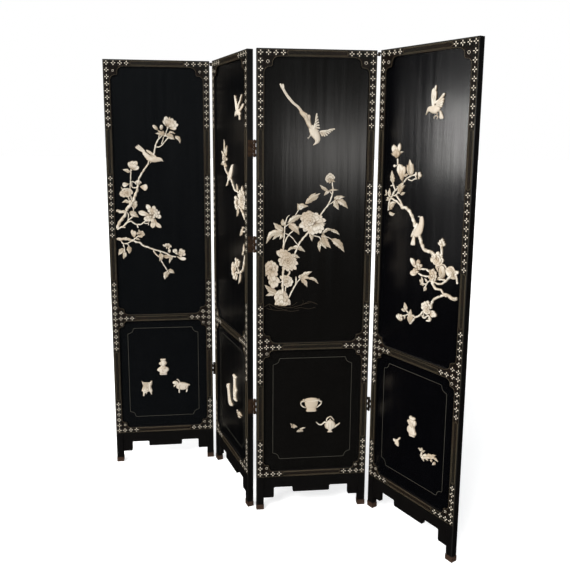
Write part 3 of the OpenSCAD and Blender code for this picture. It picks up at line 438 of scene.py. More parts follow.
# painted shade: a darker copy of the hinge brass, for the hinges in the hollows of the folds; the plates and pin at
# joint 2-3 and leaf 2's screws keep the lighter brass
SHADED_BRASS = brass("shaded_brass", (0.022, 0.014, 0.009), (0.052, 0.033, 0.019), (0.004, 0.003, 0.0025), (0.012, 0.008, 0.006))
CAPS = cap_metal()


def wear_material(node, mat):
    o = frame["nodes"][node]
    if not o.material_slots:
        o.data.materials.append(mat)
    for s in o.material_slots:
        s.material = mat


for k in (1, 2, 3, 4):
    lac, pan, spa = frame_lacquer(k), panel_lacquer(k), spandrel_lacquer(k)
    for part in ("stile_left", "stile_right", "top_rail", "middle_rail", "bottom_rail", "apron"):
        wear_material(f"{part}_{k}", lac)
    for part in ("upper_panel", "lower_panel"):
        wear_material(f"{part}_{k}", pan)
    wear_material(f"corner_spandrels_{k}", spa)
    wear_material(f"foot_caps_{k}", CAPS)
    wear_material(f"hinge_screws_{k}", BRASS if k == 2 else SHADED_BRASS)
    wear_material(f"carvings_{k}", IVORY)
for node in frame["nodes"]:
    if node.startswith("hinge_plates") or node.startswith("hinge_pins"):
        wear_material(node, BRASS if node in ("hinge_plates_2_right", "hinge_plates_3_left", "hinge_pins_2_3") else SHADED_BRASS)


# ---------------------------------------------------------------- mesh kit
class Clay:
    """Collects closed pieces in one leaf's face: x along, z up, h proud of a level."""

    def __init__(self, k, level=RECESS):
        self.k, self.level = k, level
        self.v, self.f, self.tone, self.stain = [], [], [], []

    def place(self, x, z):
        return x, z

    def add(self, verts, faces, tone, stain=0.0):
        n = len(self.v)
        self.v += verts
        self.f += [tuple(i + n for i in q) for q in faces]
        self.tone += tone
        self.stain += [stain] * len(verts)

    def obj(self, name, mat, slot, smooth=40.0):
        me = bpy.data.meshes.new(name)
        spots = [self.place(x, z) for x, z, _ in self.v]
        me.from_pydata([world(self.k, p[0], self.level - q[2], p[1]) for p, q in zip(spots, self.v)], [], self.f)
        for label, data in (("tone", self.tone), ("stain", self.stain)):
            at = me.attributes.new(label, "FLOAT", "POINT")
            at.data.foreach_set("value", data)
        bm = bmesh.new()
        bm.from_mesh(me)
        bmesh.ops.recalc_face_normals(bm, faces=bm.faces)
        bm.to_mesh(me)
        bm.free()
        me.shade_smooth()
        me.set_sharp_from_angle(angle=math.radians(smooth))
        me.materials.append(mat)
        o = bpy.data.objects.new(name, me)
        bpy.context.scene.collection.objects.link(o)
        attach(o, f"leaf_{self.k}")
        return o

    def facet(self, outline, h, crown=0.0, inset=0.35, base=-0.25, stain=0.0):
        """A flat chip with a bevelled rim: outline points (x, z), closed below."""
        n = len(outline)
        cx = sum(p[0] for p in outline) / n
        cz = sum(p[1] for p in outline) / n
        ring = []
        for x, z in outline:
            d = math.hypot(x - cx, z - cz) or 1.0
            ring.append((x - (x - cx) / d * inset, z - (z - cz) / d * inset))
        verts = [(x, z, base) for x, z in outline] + [(x, z, h * 0.6) for x, z in outline] + \
                [(x, z, h) for x, z in ring] + [(cx, cz, h + crown)]
        faces = [tuple(range(n))]
        for i in range(n):
            j = (i + 1) % n
            faces += [(i, j, n + j, n + i), (n + i, n + j, 2 * n + j, 2 * n + i), (2 * n + i, 2 * n + j, 3 * n)]
        # tone is low on the chip's sides and high on its top: painted shade on the sides, where the material reads it
        self.add(verts, faces, [0.2] * n + [0.35] * n + [0.9] * n + [1.0], stain)

    def wire(self, path, w, h, closed=False, base=-0.25, tone=1.0):
        """A thin raised line along points (x, z), with mitred corners."""
        n = len(path)
        sides = []
        for i in range(n):
            if closed:
                a, b = path[i - 1], path[(i + 1) % n]
            else:
                a, b = path[max(i - 1, 0)], path[min(i + 1, n - 1)]
            p = path[i]
            d1 = (p[0] - a[0], p[1] - a[1])
            d2 = (b[0] - p[0], b[1] - p[1])
            l1, l2 = math.hypot(*d1), math.hypot(*d2)
            if l1 < 1e-9:
                d1, l1 = d2, l2
            if l2 < 1e-9:
                d2, l2 = d1, l1
            t1, t2 = (d1[0] / l1, d1[1] / l1), (d2[0] / l2, d2[1] / l2)
            m = (-(t1[1] + t2[1]), t1[0] + t2[0])
            lm = math.hypot(*m) or 1.0
            m = (m[0] / lm, m[1] / lm)
            cosine = max(0.45, -t1[1] * m[0] + t1[0] * m[1])
            sides.append((m[0] / cosine, m[1] / cosine))
        verts, faces, tones = [], [], []
        for (x, z), (mx, mz) in zip(path, sides):
            for s, q in ((-0.5, base), (-0.5, h * 0.45), (-0.22, h), (0.22, h), (0.5, h * 0.45), (0.5, base)):
                verts.append((x + mx * w * s, z + mz * w * s, q))
                tones.append(tone if q == h else tone * 0.5)
        for i in range(n if closed else n - 1):
            j = (i + 1) % n
            for s in range(5):
                faces.append((6 * i + s, 6 * i + s + 1, 6 * j + s + 1, 6 * j + s))
            faces.append((6 * i + 5, 6 * i, 6 * j, 6 * j + 5))
        if not closed:
            faces.append(tuple(range(6)))
            faces.append(tuple(6 * (n - 1) + s for s in range(5, -1, -1)))
        self.add(verts, faces, tones)


# ---------------------------------------------------------------- border inlay
def clamp(v, lo=0.0, hi=1.0):
    return lo if v < lo else hi if v > hi else v


def lozenge(cx, cz, rx, rz):
    return [(cx + rx, cz), (cx, cz + rz), (cx - rx, cz), (cx, cz - rz)]


def bulged(cx, cz, rx, rz, m=3):
    """Lozenge with slightly swelling sides."""
    pts = []
    for q in range(4):
        for i in range(m):
            s = i / m
            a, b = math.cos(math.pi / 2 * (q + s)), math.sin(math.pi / 2 * (q + s))
            p = 1.28
            pts.append((cx + rx * math.copysign(abs(a) ** p, a), cz + rz * math.copysign(abs(b) ** p, b)))
    return pts


def cross(pale, dark, x, z):
    """Four slim chips pointing at a dark middle, with dark chips in the corners."""
    for i, (dx, dz) in enumerate(((1, 0), (0, 1), (-1, 0), (0, -1))):
        sway = 0.30 * math.sin(5.1 * i + x * 0.7 + z * 0.31)
        r = 6.1 + 0.25 * math.sin(2.3 * i + z * 0.17 + x)
        long, wide = 3.55 + 0.2 * math.sin(3.7 * i + z), 2.0
        rx, rz = (long, wide) if dx else (wide, long)
        pale.facet(bulged(x + dx * r + dz * sway, z + dz * r + dx * sway, rx, rz), 0.42, 0.12, 0.4)
    dark.facet(lozenge(x, z, 2.2, 2.2), 0.30, 0.05, 0.4)
    for dx in (-6.9, 6.9):
        for dz in (-6.9, 6.9):
            dark.facet(lozenge(x + dx, z + dz, 3.4, 3.6), 0.32, 0.05, 0.4)


def hollow(pale, dark, x, z, r=6.6, wide=0.75, lean=0.0):
    """Corner motif: four slim bars round a dark eye, a small square open at one corner."""
    for i in range(4):
        a = math.radians(90 * i + lean)
        ux, uz = math.cos(a), math.sin(a)
        tx, tz = -uz, ux
        d, half = r * 0.70, r * ((0.42 if i == 3 else 0.64) + 0.06 * math.sin(2.1 * i + x + z))
        pts = [(x + ux * (d - wide) - tx * half * 0.55, z + uz * (d - wide) - tz * half * 0.55),
               (x + ux * d - tx * half, z + uz * d - tz * half),
               (x + ux * (d + wide) - tx * half * 0.5, z + uz * (d + wide) - tz * half * 0.5),
               (x + ux * (d + wide) + tx * half * 0.5, z + uz * (d + wide) + tz * half * 0.5),
               (x + ux * d + tx * half, z + uz * d + tz * half),
               (x + ux * (d - wide) + tx * half * 0.55, z + uz * (d - wide) + tz * half * 0.55)]
        pale.facet(pts, 0.42, 0.08, 0.35)
    dark.facet(lozenge(x, z, 1.9, 1.9), 0.3, 0.05, 0.4)


CROSS_Z = [1815, 1786, 1757, 1728, 1699, 1670.5, 1641.5, 1612.5, 1584, 1555,
           1326, 1298, 1270, 1242, 1214, 1186, 1158.5, 1130.5, 1102.5, 1075,
           851, 824, 797, 770, 743, 715, 690, 663, 635, 607, 580, 552,
           284, 259, 233, 207, 180, 155]
RAILS = [(1815, (44, 72, 99, 354, 382, 410), (112, 342)),
         (692.5, (39, 64, 89, 358, 384, 410), (101, 345)),
         (155, (40, 67, 93, 359, 386, 411), (105, 345))]
PLAQUES_Z = [(1342, 1540), (868, 1062), (300, 536)]


def bracket(x0, x1, z0, z1):
    """Plaque outline with ogee ends, the long way along x."""
    e, m = 6.0, (z0 + z1) / 2
    h = (z1 - z0) / 2
    right = [(x1 - e, z0), (x1 - e * 0.55, z0 + h * 0.32), (x1 - e * 0.42, z0 + h * 0.5), (x1, m),
             (x1 - e * 0.42, z1 - h * 0.5), (x1 - e * 0.55, z1 - h * 0.32), (x1 - e, z1)]
    left = [(x0 + e, z1), (x0 + e * 0.55, z1 - h * 0.32), (x0 + e * 0.42, z1 - h * 0.5), (x0, m),
            (x0 + e * 0.42, z0 + h * 0.5), (x0 + e * 0.55, z0 + h * 0.32), (x0 + e, z0)]
    return right + left


def swap(points):
    return [(z, x) for x, z in points]


def vine(clay, x0, x1, zm, half, upright=False):
    """Scrolling stem along a plaque, with a curl in every bend."""
    bends = max(2, round((x1 - x0) / 14.5))
    step = (x1 - x0) / bends
    paths = [[(x0 + step * i / 6, zm + half * 0.70 * math.sin(math.pi * i / 6)) for i in range(6 * bends + 1)]]
    for i in range(bends):
        s = 1 if i % 2 == 0 else -1
        cx, cz, r0 = x0 + step * (i + 0.5), zm - s * half * 0.22, half * (0.62 + 0.06 * math.sin(2.7 * i + zm))
        paths.append([(cx - r0 * (1 - 0.085 * j) * math.cos(math.radians(34 * j - 30)),
                       cz + s * r0 * (1 - 0.085 * j) * math.sin(math.radians(34 * j - 30))) for j in range(11)])
    for j, path in enumerate(paths):
        clay.wire(swap(path) if upright else path, 0.95 if j else 1.1, 0.2)


def cusp_points(v0, f1, nose, f2, n=7):
    """Free edge of a corner piece, from the stile to the rail."""
    def arc(cx, cy, r, s0, s1, m):
        return [(cx + r * math.cos(math.radians(s0 + (s1 - s0) * i / m)),
                 cy + r * math.sin(math.radians(s0 + (s1 - s0) * i / m))) for i in range(m + 1)]
    return (arc(f1, v0, f1, 180, 270, 6) + arc(f1 + 2, v0 - f1 - nose, nose, 90, 0, 8)
            + arc(f1 + 2 + nose + f2, f2, f2, 180, 270, 6))


def shrink(path, d):
    """Moves an open path sideways by d, to its left."""
    out = []
    n = len(path)
    for i in range(n):
        a, b = path[max(i - 1, 0)], path[min(i + 1, n - 1)]
        t = (b[0] - a[0], b[1] - a[1])
        m = math.hypot(*t) or 1.0
        out.append((path[i][0] - t[1] / m * d, path[i][1] + t[0] / m * d))
    return out


UPPER_TOP, UPPER_LOW, LOWER = (54, 18, 10, 22), (44, 15, 8, 20), (38, 12, 8, 15)


def opening_line(z0, z1, top, low, off=3.2):
    """Gold line just outside an opening: round the cusped corners, inside their edge."""
    x0, x1 = STILE, W - STILE
    path = []

    def corner(x, z, sx, sz, spec, back):
        pts = cusp_points(*spec)
        u_end = spec[1] + 2 + spec[2] + 2 * spec[3]
        pts = [p for p in pts if p[0] < u_end - spec[3] * 0.4 and p[1] < spec[0] - spec[1] * 0.4]
        pts = shrink(pts, -off * 0.62)
        pts = [(-off, spec[0] + 1.0)] + pts + [(u_end - spec[3] + 3.0, -off)]
        keep = []
        for p in pts:
            keep.append((max(p[0], -off), max(p[1], -off)))
        pts = [(x + sx * u, z + sz * v) for u, v in keep]
        return pts[::-1] if back else pts

    path += corner(x0, z1, 1, -1, top, False)
    path += corner(x1, z1, -1, -1, top, True)
    path += corner(x1, z0, -1, 1, low, False)
    path += corner(x0, z0, 1, 1, low, True)
    return path


for k in (1, 2, 3, 4):
    pale, dark = Clay(k, 0.0), Clay(k, 0.0)
    pale_s, dark_s = Clay(k, 0.6), Clay(k, 0.6)
    xs = (15.0, 435.0)
    for x in xs:
        for z in CROSS_Z:
            cross(pale, dark, x, z)
        for a, b in zip(CROSS_Z, CROSS_Z[1:]):
            if a - b < 40:
                dark.facet(lozenge(x, (a + b) / 2, 1.8, 1.8), 0.3, 0.05, 0.3)
    for z, row, _ in RAILS:
        for x in row:
            cross(pale, dark, x, z)
    for x in (41.5, W - 41.5):
        hollow(pale_s, dark_s, x, 1783, 7.0 if k > 2 else 5.6, lean=0 if k > 2 else 45)
        cross(pale_s, dark_s, x, 718)
        hollow(pale_s, dark_s, x, 666, 6.4, lean=45 if k % 2 else 0)
        hollow(pale_s, dark_s, x, 181, 6.0, lean=45)
    pale.obj(f"border_crosses_{k}", PEARL, "carved_stone", 25)
    dark.obj(f"border_diamonds_{k}", EBONY, "frame_lacquer", 25)
    pale_s.obj(f"corner_rosettes_{k}", PEARL, "carved_stone", 25)
    dark_s.obj(f"corner_eyes_{k}", EBONY, "frame_lacquer", 25)

    lines, keys = Clay(k, 0.0), Clay(k, 0.0)
    for z, _, (a, b) in RAILS:
        half = 8.6
        lines.wire(bracket(a, b, z - half, z + half), 0.8, 0.3, closed=True)
        lines.wire(bracket(a + 3.2, b - 3.2, z - half + 2.3, z + half - 2.3), 0.45, 0.22, closed=True)
        vine(keys, a + 9, b - 9, z, 5.2)
    for a, b in PLAQUES_Z:
        for x in xs:
            lines.wire(swap(bracket(a, b, x - 8.6, x + 8.6)), 0.8, 0.3, closed=True)
            lines.wire(swap(bracket(a + 3.2, b - 3.2, x - 6.3, x + 6.3)), 0.45, 0.22, closed=True)
            vine(keys, a + 9, b - 9, x, 5.2, upright=True)
    # outer line of the border and the line under it
    lines.wire([(4.6, 143.4), (W - 4.6, 143.4), (W - 4.6, H - 4.6), (4.6, H - 4.6)], 0.7, 0.25, closed=True)
    lines.obj(f"border_lines_{k}", GOLD_LINE, "aged_brass", 30)
    keys.obj(f"border_fret_{k}", FRET_GOLD, "aged_brass", 30)

    # lines round the two openings
    rim = Clay(k, 0.0)
    for z0, z1, top, low in ((UP_Z0, UP_Z1, UPPER_TOP, UPPER_LOW), (LO_Z0, LO_Z1, LOWER, LOWER)):
        rim.wire(opening_line(z0, z1, top, low), 0.75, 0.3, closed=True, base=-0.9)
    rim.obj(f"opening_lines_{k}", GOLD_LINE, "aged_brass", 30)

    # inlaid line on the lower panel, with hollow corners
    inlay = Clay(k, RECESS)
    a, b, c, d = 66.5, 383.5, 217.5, 643.5
    corner = [(0, 27), (3.5, 24.5), (8, 23.5), (13.5, 21.5), (18.5, 18), (22, 13), (24, 7.5), (25, 3), (28, 0)]
    path = [(a + u, d - v) for u, v in corner] + [(b - u, d - v) for u, v in corner[::-1]] + \
           [(b - u, c + v) for u, v in corner] + [(a + u, c + v) for u, v in corner[::-1]]
    inlay.wire(path, 1.5, 0.3, closed=True)
    inlay.obj(f"panel_inlay_line_{k}", GREY_LINE, "aged_brass", 30)


# ---------------------------------------------------------------- carving kit
def rnd(*seed):
    s = math.sin(sum((i + 1.7) * 12.9898 * (v + 0.37 * i) for i, v in enumerate(seed))) * 43758.5453
    return s - math.floor(s)


def spline(rows, step):
    """Smooth rows of numbers (x, z, ...) and space them about step mm apart."""
    rows = [tuple(float(q) for q in r) for r in rows]
    if len(rows) == 2:
        rows = [rows[0], tuple((a + b) / 2 for a, b in zip(*rows)), rows[1]]
    fine = []
    n = len(rows)
    for i in range(n - 1):
        p1, p2 = rows[i], rows[i + 1]
        p0 = rows[i - 1] if i else tuple(2 * a - b for a, b in zip(p1, p2))
        p3 = rows[i + 2] if i + 2 < n else tuple(2 * b - a for a, b in zip(p1, p2))
        for j in range(12):
            t = j / 12
            fine.append(tuple(0.5 * (2 * b + (c - a) * t + (2 * a - 5 * b + 4 * c - d) * t * t
                                     + (3 * b - a - 3 * c + d) * t ** 3) for a, b, c, d in zip(p0, p1, p2, p3)))
    fine.append(rows[-1])
    dist = [0.0]
    for a, b in zip(fine, fine[1:]):
        dist.append(dist[-1] + math.hypot(b[0] - a[0], b[1] - a[1]))
    total = dist[-1] or 1.0
    m = max(3, int(round(total / step)))
    out, j = [], 0
    for i in range(m + 1):
        d = total * i / m
        while j < len(dist) - 2 and dist[j + 1] < d:
            j += 1
        span = dist[j + 1] - dist[j]
        t = (d - dist[j]) / span if span > 1e-9 else 0.0
        out.append(tuple(a + (b - a) * t for a, b in zip(fine[j], fine[j + 1])))
    return out, total


def normals(path):
    out, n = [], len(path)
    for i in range(n):
        a, b = path[max(i - 1, 0)], path[min(i + 1, n - 1)]
        tx, tz = b[0] - a[0], b[1] - a[1]
        m = math.hypot(tx, tz) or 1.0
        out.append((-tz / m, tx / m))
    return out


def pulled(outline, f):
    """The same outline, drawn in towards its middle."""
    cx = sum(p[0] for p in outline) / len(outline)
    cz = sum(p[1] for p in outline) / len(outline)
    return [(cx + (x - cx) * f, cz + (z - cz) * f) for x, z in outline]


PROFILES = {
    "ovate": lambda u: math.sin(math.pi * u ** 0.78) * (1.06 - 0.18 * u),
    "lance": lambda u: math.sin(math.pi * u ** 0.92) ** 0.9,
    "petal": lambda u: (math.sin(math.pi / 2 * u / 0.62) ** 0.75 if u < 0.62
                        else math.sqrt(max(0.0, 1 - ((u - 0.62) / 0.38) ** 2.3))),
    "round": lambda u: (math.sin(math.pi / 2 * u / 0.5) ** 0.55 if u < 0.5
                        else math.sqrt(max(0.0, 1 - ((u - 0.5) / 0.5) ** 2.2))),
    "drop": lambda u: ((u / 0.68) ** 0.85 if u < 0.68
                       else math.sqrt(max(0.0, 1 - ((u - 0.68) / 0.32) ** 2.2))),
    "feather": lambda u: (clamp(u / 0.16) ** 0.5 * (0.82 + 0.18 * clamp(u / 0.8)) if u < 0.8
                          else math.sqrt(max(0.0, 1 - ((u - 0.8) / 0.2) ** 2))),
    "blade": lambda u: clamp(u / 0.1) ** 0.5 * (1 - u ** 1.7) ** 0.75,
}
COLS = (-1.0, -0.86, -0.62, -0.36, -0.14, 0.0, 0.14, 0.36, 0.62, 0.86, 1.0)


def settled(k, x, z):
    """Where a carving's point sits: the drawn heights of leaves 2 to 4 run a little high, leaf 4 also a little wide."""
    return x - (1.0 + 0.013 * x if k == 4 else 0.0), z - {1: 0.0, 2: 6.0, 3: 6.0, 4: 17.0 - 11.0 * ((z - 950.0) / 750.0) ** 2}[k]


class Relief(Clay):
    """Stone relief on a panel's face."""

    def place(self, x, z):
        return settled(self.k, x, z)

    def sheet(self, grid, tones, stain=0.0, base=-0.4):
        """Top surface from rows of (x, z, h), closed by a wall and a floor inside the panel."""
        nu, nv = len(grid), len(grid[0])
        verts = [p for row in grid for p in row]
        tone = [t for row in tones for t in row]
        faces = []
        for i in range(nu - 1):
            for j in range(nv - 1):
                a = i * nv + j
                faces.append((a, a + 1, a + nv + 1, a + nv))
        loop = [j for j in range(nv)] + [i * nv + nv - 1 for i in range(1, nu)] + \
               [(nu - 1) * nv + j for j in range(nv - 2, -1, -1)] + [i * nv for i in range(nu - 2, 0, -1)]
        low = {}
        # the wall down into the panel gets a low tone: painted shade
        for q in loop:
            low[q] = len(verts)
            verts.append((verts[q][0], verts[q][1], base))
            tone.append(0.12)
        for a, b in zip(loop, loop[1:] + loop[:1]):
            faces.append((a, low[a], low[b], b))
        left = [i * nv for i in range(nu)]
        right = [i * nv + nv - 1 for i in range(nu)]
        faces.append(tuple(low[j] for j in range(nv)) + (low[right[1]], low[left[1]]))
        for i in range(1, nu - 2):
            faces.append((low[left[i]], low[right[i]], low[right[i + 1]], low[left[i + 1]]))
        if nu > 2:
            faces.append(tuple(low[(nu - 1) * nv + j] for j in range(nv - 1, -1, -1)) + (low[left[-2]], low[right[-2]]))
        self.add(verts, faces, [clamp(t, 0.0, 1.2) for t in tone], stain)

    def blade(self, x0, z0, x1, z1, width, kind="ovate", bend=0.0, lo=1.3, hi=3.4, dip=0.8, tilt=0.4,
              veins=None, curl=0.35, wave=0.10, stain=0.0, seed=0.0, tone=1.0, lift=0.0):
        """Leaf from stalk to tip, with a midrib, side veins and a curling margin."""
        length = math.hypot(x1 - x0, z1 - z0) or 1.0
        nx, nz = -(z1 - z0) / length, (x1 - x0) / length
        mid = ((x0 + x1) / 2 + nx * bend * length, (z0 + z1) / 2 + nz * bend * length)
        rows, _ = spline([(x0, z0), mid, (x1, z1)], max(1.15, length / 34))
        side = normals(rows)
        n = len(rows) - 1
        if veins is None:
            veins = max(3, round(length / 8.5))
        shape = PROFILES[kind]
        grid, tones = [], []
        for i, ((x, z), (ax, az)) in enumerate(zip(rows, side)):
            u = i / n
            half = max(0.22, width / 2 * shape(min(max(u, 0.001), 0.999)))
            lobes = [wave * (math.sin(2 * math.pi * (u * veins * 0.55 + seed + q)) + 0.5 * math.sin(2 * math.pi * (u * veins * 1.1 + 2 * seed + 3 * q)))
                     for q in (0.0, 0.37)]
            row, trow = [], []
            for v in COLS:
                crown = (1 - v * v) * (0.30 + 0.70 * math.sin(math.pi * clamp(u * 0.95 + 0.03)))
                rib = math.exp(-(v / 0.15) ** 2) * (1 - u ** 3)
                vein = 0.5 + 0.5 * math.cos(2 * math.pi * (u * veins - 0.85 * abs(v) * min(1.0, width / 14) + seed))
                vein = vein ** 3 * (1 - abs(v) ** 4) * clamp(u * 6) * clamp((1 - u) * 5)
                edge = abs(v) ** 5
                h = lo + (hi - lo) * crown - dip * rib - 0.30 * vein
                h += curl * edge * math.sin(2 * math.pi * (u * 1.5 + seed * 3 + (0.3 if v > 0 else 0.0)))
                h += tilt * v * math.sin(math.pi * u) + lift * u - 0.45 * (abs(v) > 0.95)
                wide = half * (1 + lobes[v > 0])
                row.append((x + ax * v * wide, z + az * v * wide, max(0.5, h)))
                # painted light and shade: the leaf's raised side is lighter and the other darker; midrib and vein
                # grooves, margin and base are darkened, the crown lightened
                half_shade = clamp(0.5 + 2.2 * (v if tilt > 0 else -v))
                t = 0.44 + 0.30 * crown + 0.26 * half_shade - 0.46 * rib - 0.26 * vein + 0.12 * math.sin(7 * u + 9 * seed) - 0.22 * (abs(v) > 0.95)
                t -= 0.30 * (1 - clamp(u * 5))
                trow.append(t * tone)
            grid.append(row)
            tones.append(trow)
        self.sheet(grid, tones, stain)

    def petal(self, x0, z0, x1, z1, width, h0=1.0, h1=3.0, cup=0.7, notch=0.06, ridges=7, kind="petal",
              bend=0.0, stain=0.0, seed=0.0, tone=1.0, frill=0.35):
        """Petal from its throat to a rounded, slightly notched lip."""
        length = math.hypot(x1 - x0, z1 - z0) or 1.0
        nx, nz = -(z1 - z0) / length, (x1 - x0) / length
        mid = ((x0 + x1) / 2 + nx * bend * length, (z0 + z1) / 2 + nz * bend * length)
        rows, _ = spline([(x0, z0), mid, (x1, z1)], max(0.9, length / 18))
        side = normals(rows)
        n = len(rows) - 1
        shape = PROFILES[kind]
        grid, tones = [], []
        for i, ((x, z), (ax, az)) in enumerate(zip(rows, side)):
            u = i / n
            half = max(0.25, width * 0.465 * shape(min(max(u, 0.001), 0.999)))
            row, trow = [], []
            for v in COLS:
                back = notch * length * u ** 5 * (math.exp(-(v / 0.20) ** 2) + 0.45 * math.exp(-((abs(v) - 0.62) / 0.15) ** 2))
                ridge = 0.5 + 0.5 * math.cos(v * ridges + seed * 6)
                h = h0 + (h1 - h0) * u ** 1.15 + cup * v * v * math.sin(math.pi * clamp(u * 0.9 + 0.05))
                h += -0.22 * ridge * u + frill * u ** 3 * math.sin(3.2 * math.pi * v + seed * 9)
                if abs(v) > 0.95 or u > 0.985:
                    h -= 0.55
                px, pz = x + ax * v * half + az * back, z + az * v * half - ax * back
                row.append((px, pz, max(0.5, h)))
                # painted shade: dark throat to lit lip, darker ridge grooves, a dark shadow edge along one side and a
                # darker rim
                t = 0.16 + 0.84 * clamp(u / 0.62) ** 0.8 - 0.16 * ridge * (0.4 + u) + 0.10 * abs(v)
                if v < -0.8:
                    t -= 0.46 * (1 - 0.5 * u ** 3)
                elif v > 0.95:
                    t -= 0.20
                if u > 0.985:
                    t -= 0.10
                trow.append(t * tone)
            grid.append(row)
            tones.append(trow)
        self.sheet(grid, tones, stain)

    def twig(self, pts, w0, w1, rise=0.62, knots=0.10, stain=0.12, seed=0.0, bark=0.0, h_max=5.4, ends=True):
        """Branch: a D-section along given points, with knots and, if thick, furrows."""
        n0 = len(pts) - 1
        rows = [(x, z, w0 + (w1 - w0) * i / n0) for i, (x, z) in enumerate(pts)]
        path, total = spline(rows, 1.9)
        side = normals(path)
        n = len(path) - 1
        m = 9 if max(w0, w1) < 8 else 13
        grid, tones = [], []
        for i, ((x, z, w), (ax, az)) in enumerate(zip(path, side)):
            s = total * i / n
            k = knots * (math.sin(s * 0.33 + seed * 5) + 0.7 * math.sin(s * 0.81 + seed * 11))
            k += 0.16 * math.exp(-((s % 27.0 - 13) / 2.2) ** 2) * (1 if knots else 0)
            half = w * 0.46 * (1 + k)
            if ends:
                half *= math.sqrt(clamp(1.15 - (1 - min(s, total - s) / (w * 0.45)) ** 2)) if min(s, total - s) < w * 0.45 else 1.0
            sway = 0.06 * w * math.sin(s * 0.27 + seed * 7)
            row, trow = [], []
            for j in range(m):
                th = math.pi * (j / (m - 1) - 0.5)
                v, c = math.sin(th), max(0.0, math.cos(th))
                furrow = bark * (0.5 + 0.5 * math.sin(th * 4.2 + s * 0.16 + 1.7 * math.sin(s * 0.09 + seed)))
                h = 0.55 + min(h_max, w * rise) * c ** 0.75 * (1 + 0.5 * k) - furrow * c
                row.append((x + ax * (v * half + sway), z + az * (v * half + sway), max(0.4, h)))
                # painted shade: the sides and the furrows darker than the top
                trow.append(0.50 + 0.48 * c - 0.50 * furrow * c + 0.12 * math.sin(s * 0.21 + seed * 3) + 0.3 * k)
            grid.append(row)
            tones.append(trow)
        self.sheet(grid, tones, stain)

    def body(self, rows, relief=None, step=1.4, cols=17, p=2.1, stain=0.0, tone=1.0, low=0.5, dark=0.55):
        """Rounded form lofted along rows of (x, z, half width, height)."""
        path, total = spline(rows, step)
        side = normals(path)
        n = len(path) - 1
        grid, tones = [], []
        for i, ((x, z, w, h), (ax, az)) in enumerate(zip(path, side)):
            u = i / n
            w = max(0.2, w)
            row, trow = [], []
            for j in range(cols):
                th = math.pi * (j / (cols - 1) - 0.5)
                v, c = math.sin(th), max(0.0, math.cos(th))
                r = relief(u, v, total * u, v * w) if relief else 0.0
                hh = low + max(0.0, h - low) * c ** (2 / p) + r * min(1.0, c * 2.5)
                row.append((x + ax * v * w, z + az * v * w, max(0.4, hh)))
                # painted shade: darker towards the form's edges, down to the dark value, and lighter on raised relief
                trow.append(tone * (dark + (1.02 - dark) * c ** 0.7 + 0.55 * r))
            grid.append(row)
            tones.append(trow)
        self.sheet(grid, tones, stain)

    def dome(self, x, z, r, h, low=0.5, stain=0.0, tone=1.0, squash=1.0, turn=0.0):
        c, s = math.cos(math.radians(turn)), math.sin(math.radians(turn))
        pts = []
        for i in range(7):
            a = math.pi * (i / 6 - 0.5)
            d = r * math.sin(a)
            pts.append((x + d * c, z + d * s, max(0.15, r * squash * math.cos(a)), low + (h - low) * max(0.0, math.cos(a)) ** 0.8))
        self.body(pts, step=max(0.5, r / 5), cols=9, stain=stain, tone=tone)

    # ---- composites
    def bloom(self, x, z, r, n=8, turn=0.0, rings=3, lean=(0.0, 0.0), squash=1.0, tip=0.0, stain=0.0, seed=0.0,
              base=0.6, top=6.3, core=True):
        """Open flower: rings of petals, each ring higher and smaller than the last."""
        ct, st = math.cos(math.radians(tip)), math.sin(math.radians(tip))
        outs = {1: (1.0,), 2: (1.0, 0.66), 3: (1.0, 0.76, 0.50), 4: (1.0, 0.82, 0.62, 0.40)}[rings]
        for q, out in enumerate(outs):
            count = max(4, n - q * (2 if n > 7 else 1))
            cx, cz = x + lean[0] * q / max(1, rings - 1), z + lean[1] * q / max(1, rings - 1)
            h0 = base + (top - base) * (q / rings) * 0.85
            h1 = base + (top - base) * ((q + 1) / rings) * 0.80
            order = list(range(count))
            for i in order:
                a = math.radians(turn + 360.0 * i / count + 31 * q + 9 * (rnd(i, q, seed) - 0.5))
                reach = r * out * (1.0 + 0.13 * (rnd(i, q + 5, seed) - 0.5) * 2)
                w = 2 * math.pi * reach * 0.72 / count * (1.22 + 0.2 * rnd(i, q + 9, seed))
                ex, ez = math.cos(a) * reach, math.sin(a) * reach * squash
                ex, ez = ex * ct - ez * st, ex * st + ez * ct
                f = 0.12
                lift = 0.35 * (rnd(i, q + 3, seed) - 0.5) + (0.30 if i % 2 else 0.0)
                self.petal(cx + ex * f, cz + ez * f, cx + ex, cz + ez, w, h0 + lift, h1 + lift,
                           cup=0.45, notch=0.07, seed=rnd(i, q, seed + 2), stain=stain * (0.6 + 0.8 * rnd(i, q + 2, seed)),
                           tone=0.94 + 0.12 * rnd(q, i, seed), bend=0.10 * (rnd(i + 2, q, seed) - 0.5))
        if core:
            cx, cz = x + lean[0] * 1.05, z + lean[1] * 1.05
            cr = r * 0.15
            self.dome(cx, cz, cr, top - 0.5, low=top - 2.2, stain=0.55)
            m = 7 if r > 20 else 5
            for i in range(m):
                a = 2 * math.pi * i / m + seed
                self.dome(cx + math.cos(a) * cr * 1.15, cz + math.sin(a) * cr * 1.15, max(0.8, cr * 0.42), top + 0.15,
                          low=top - 2.4, stain=0.3)

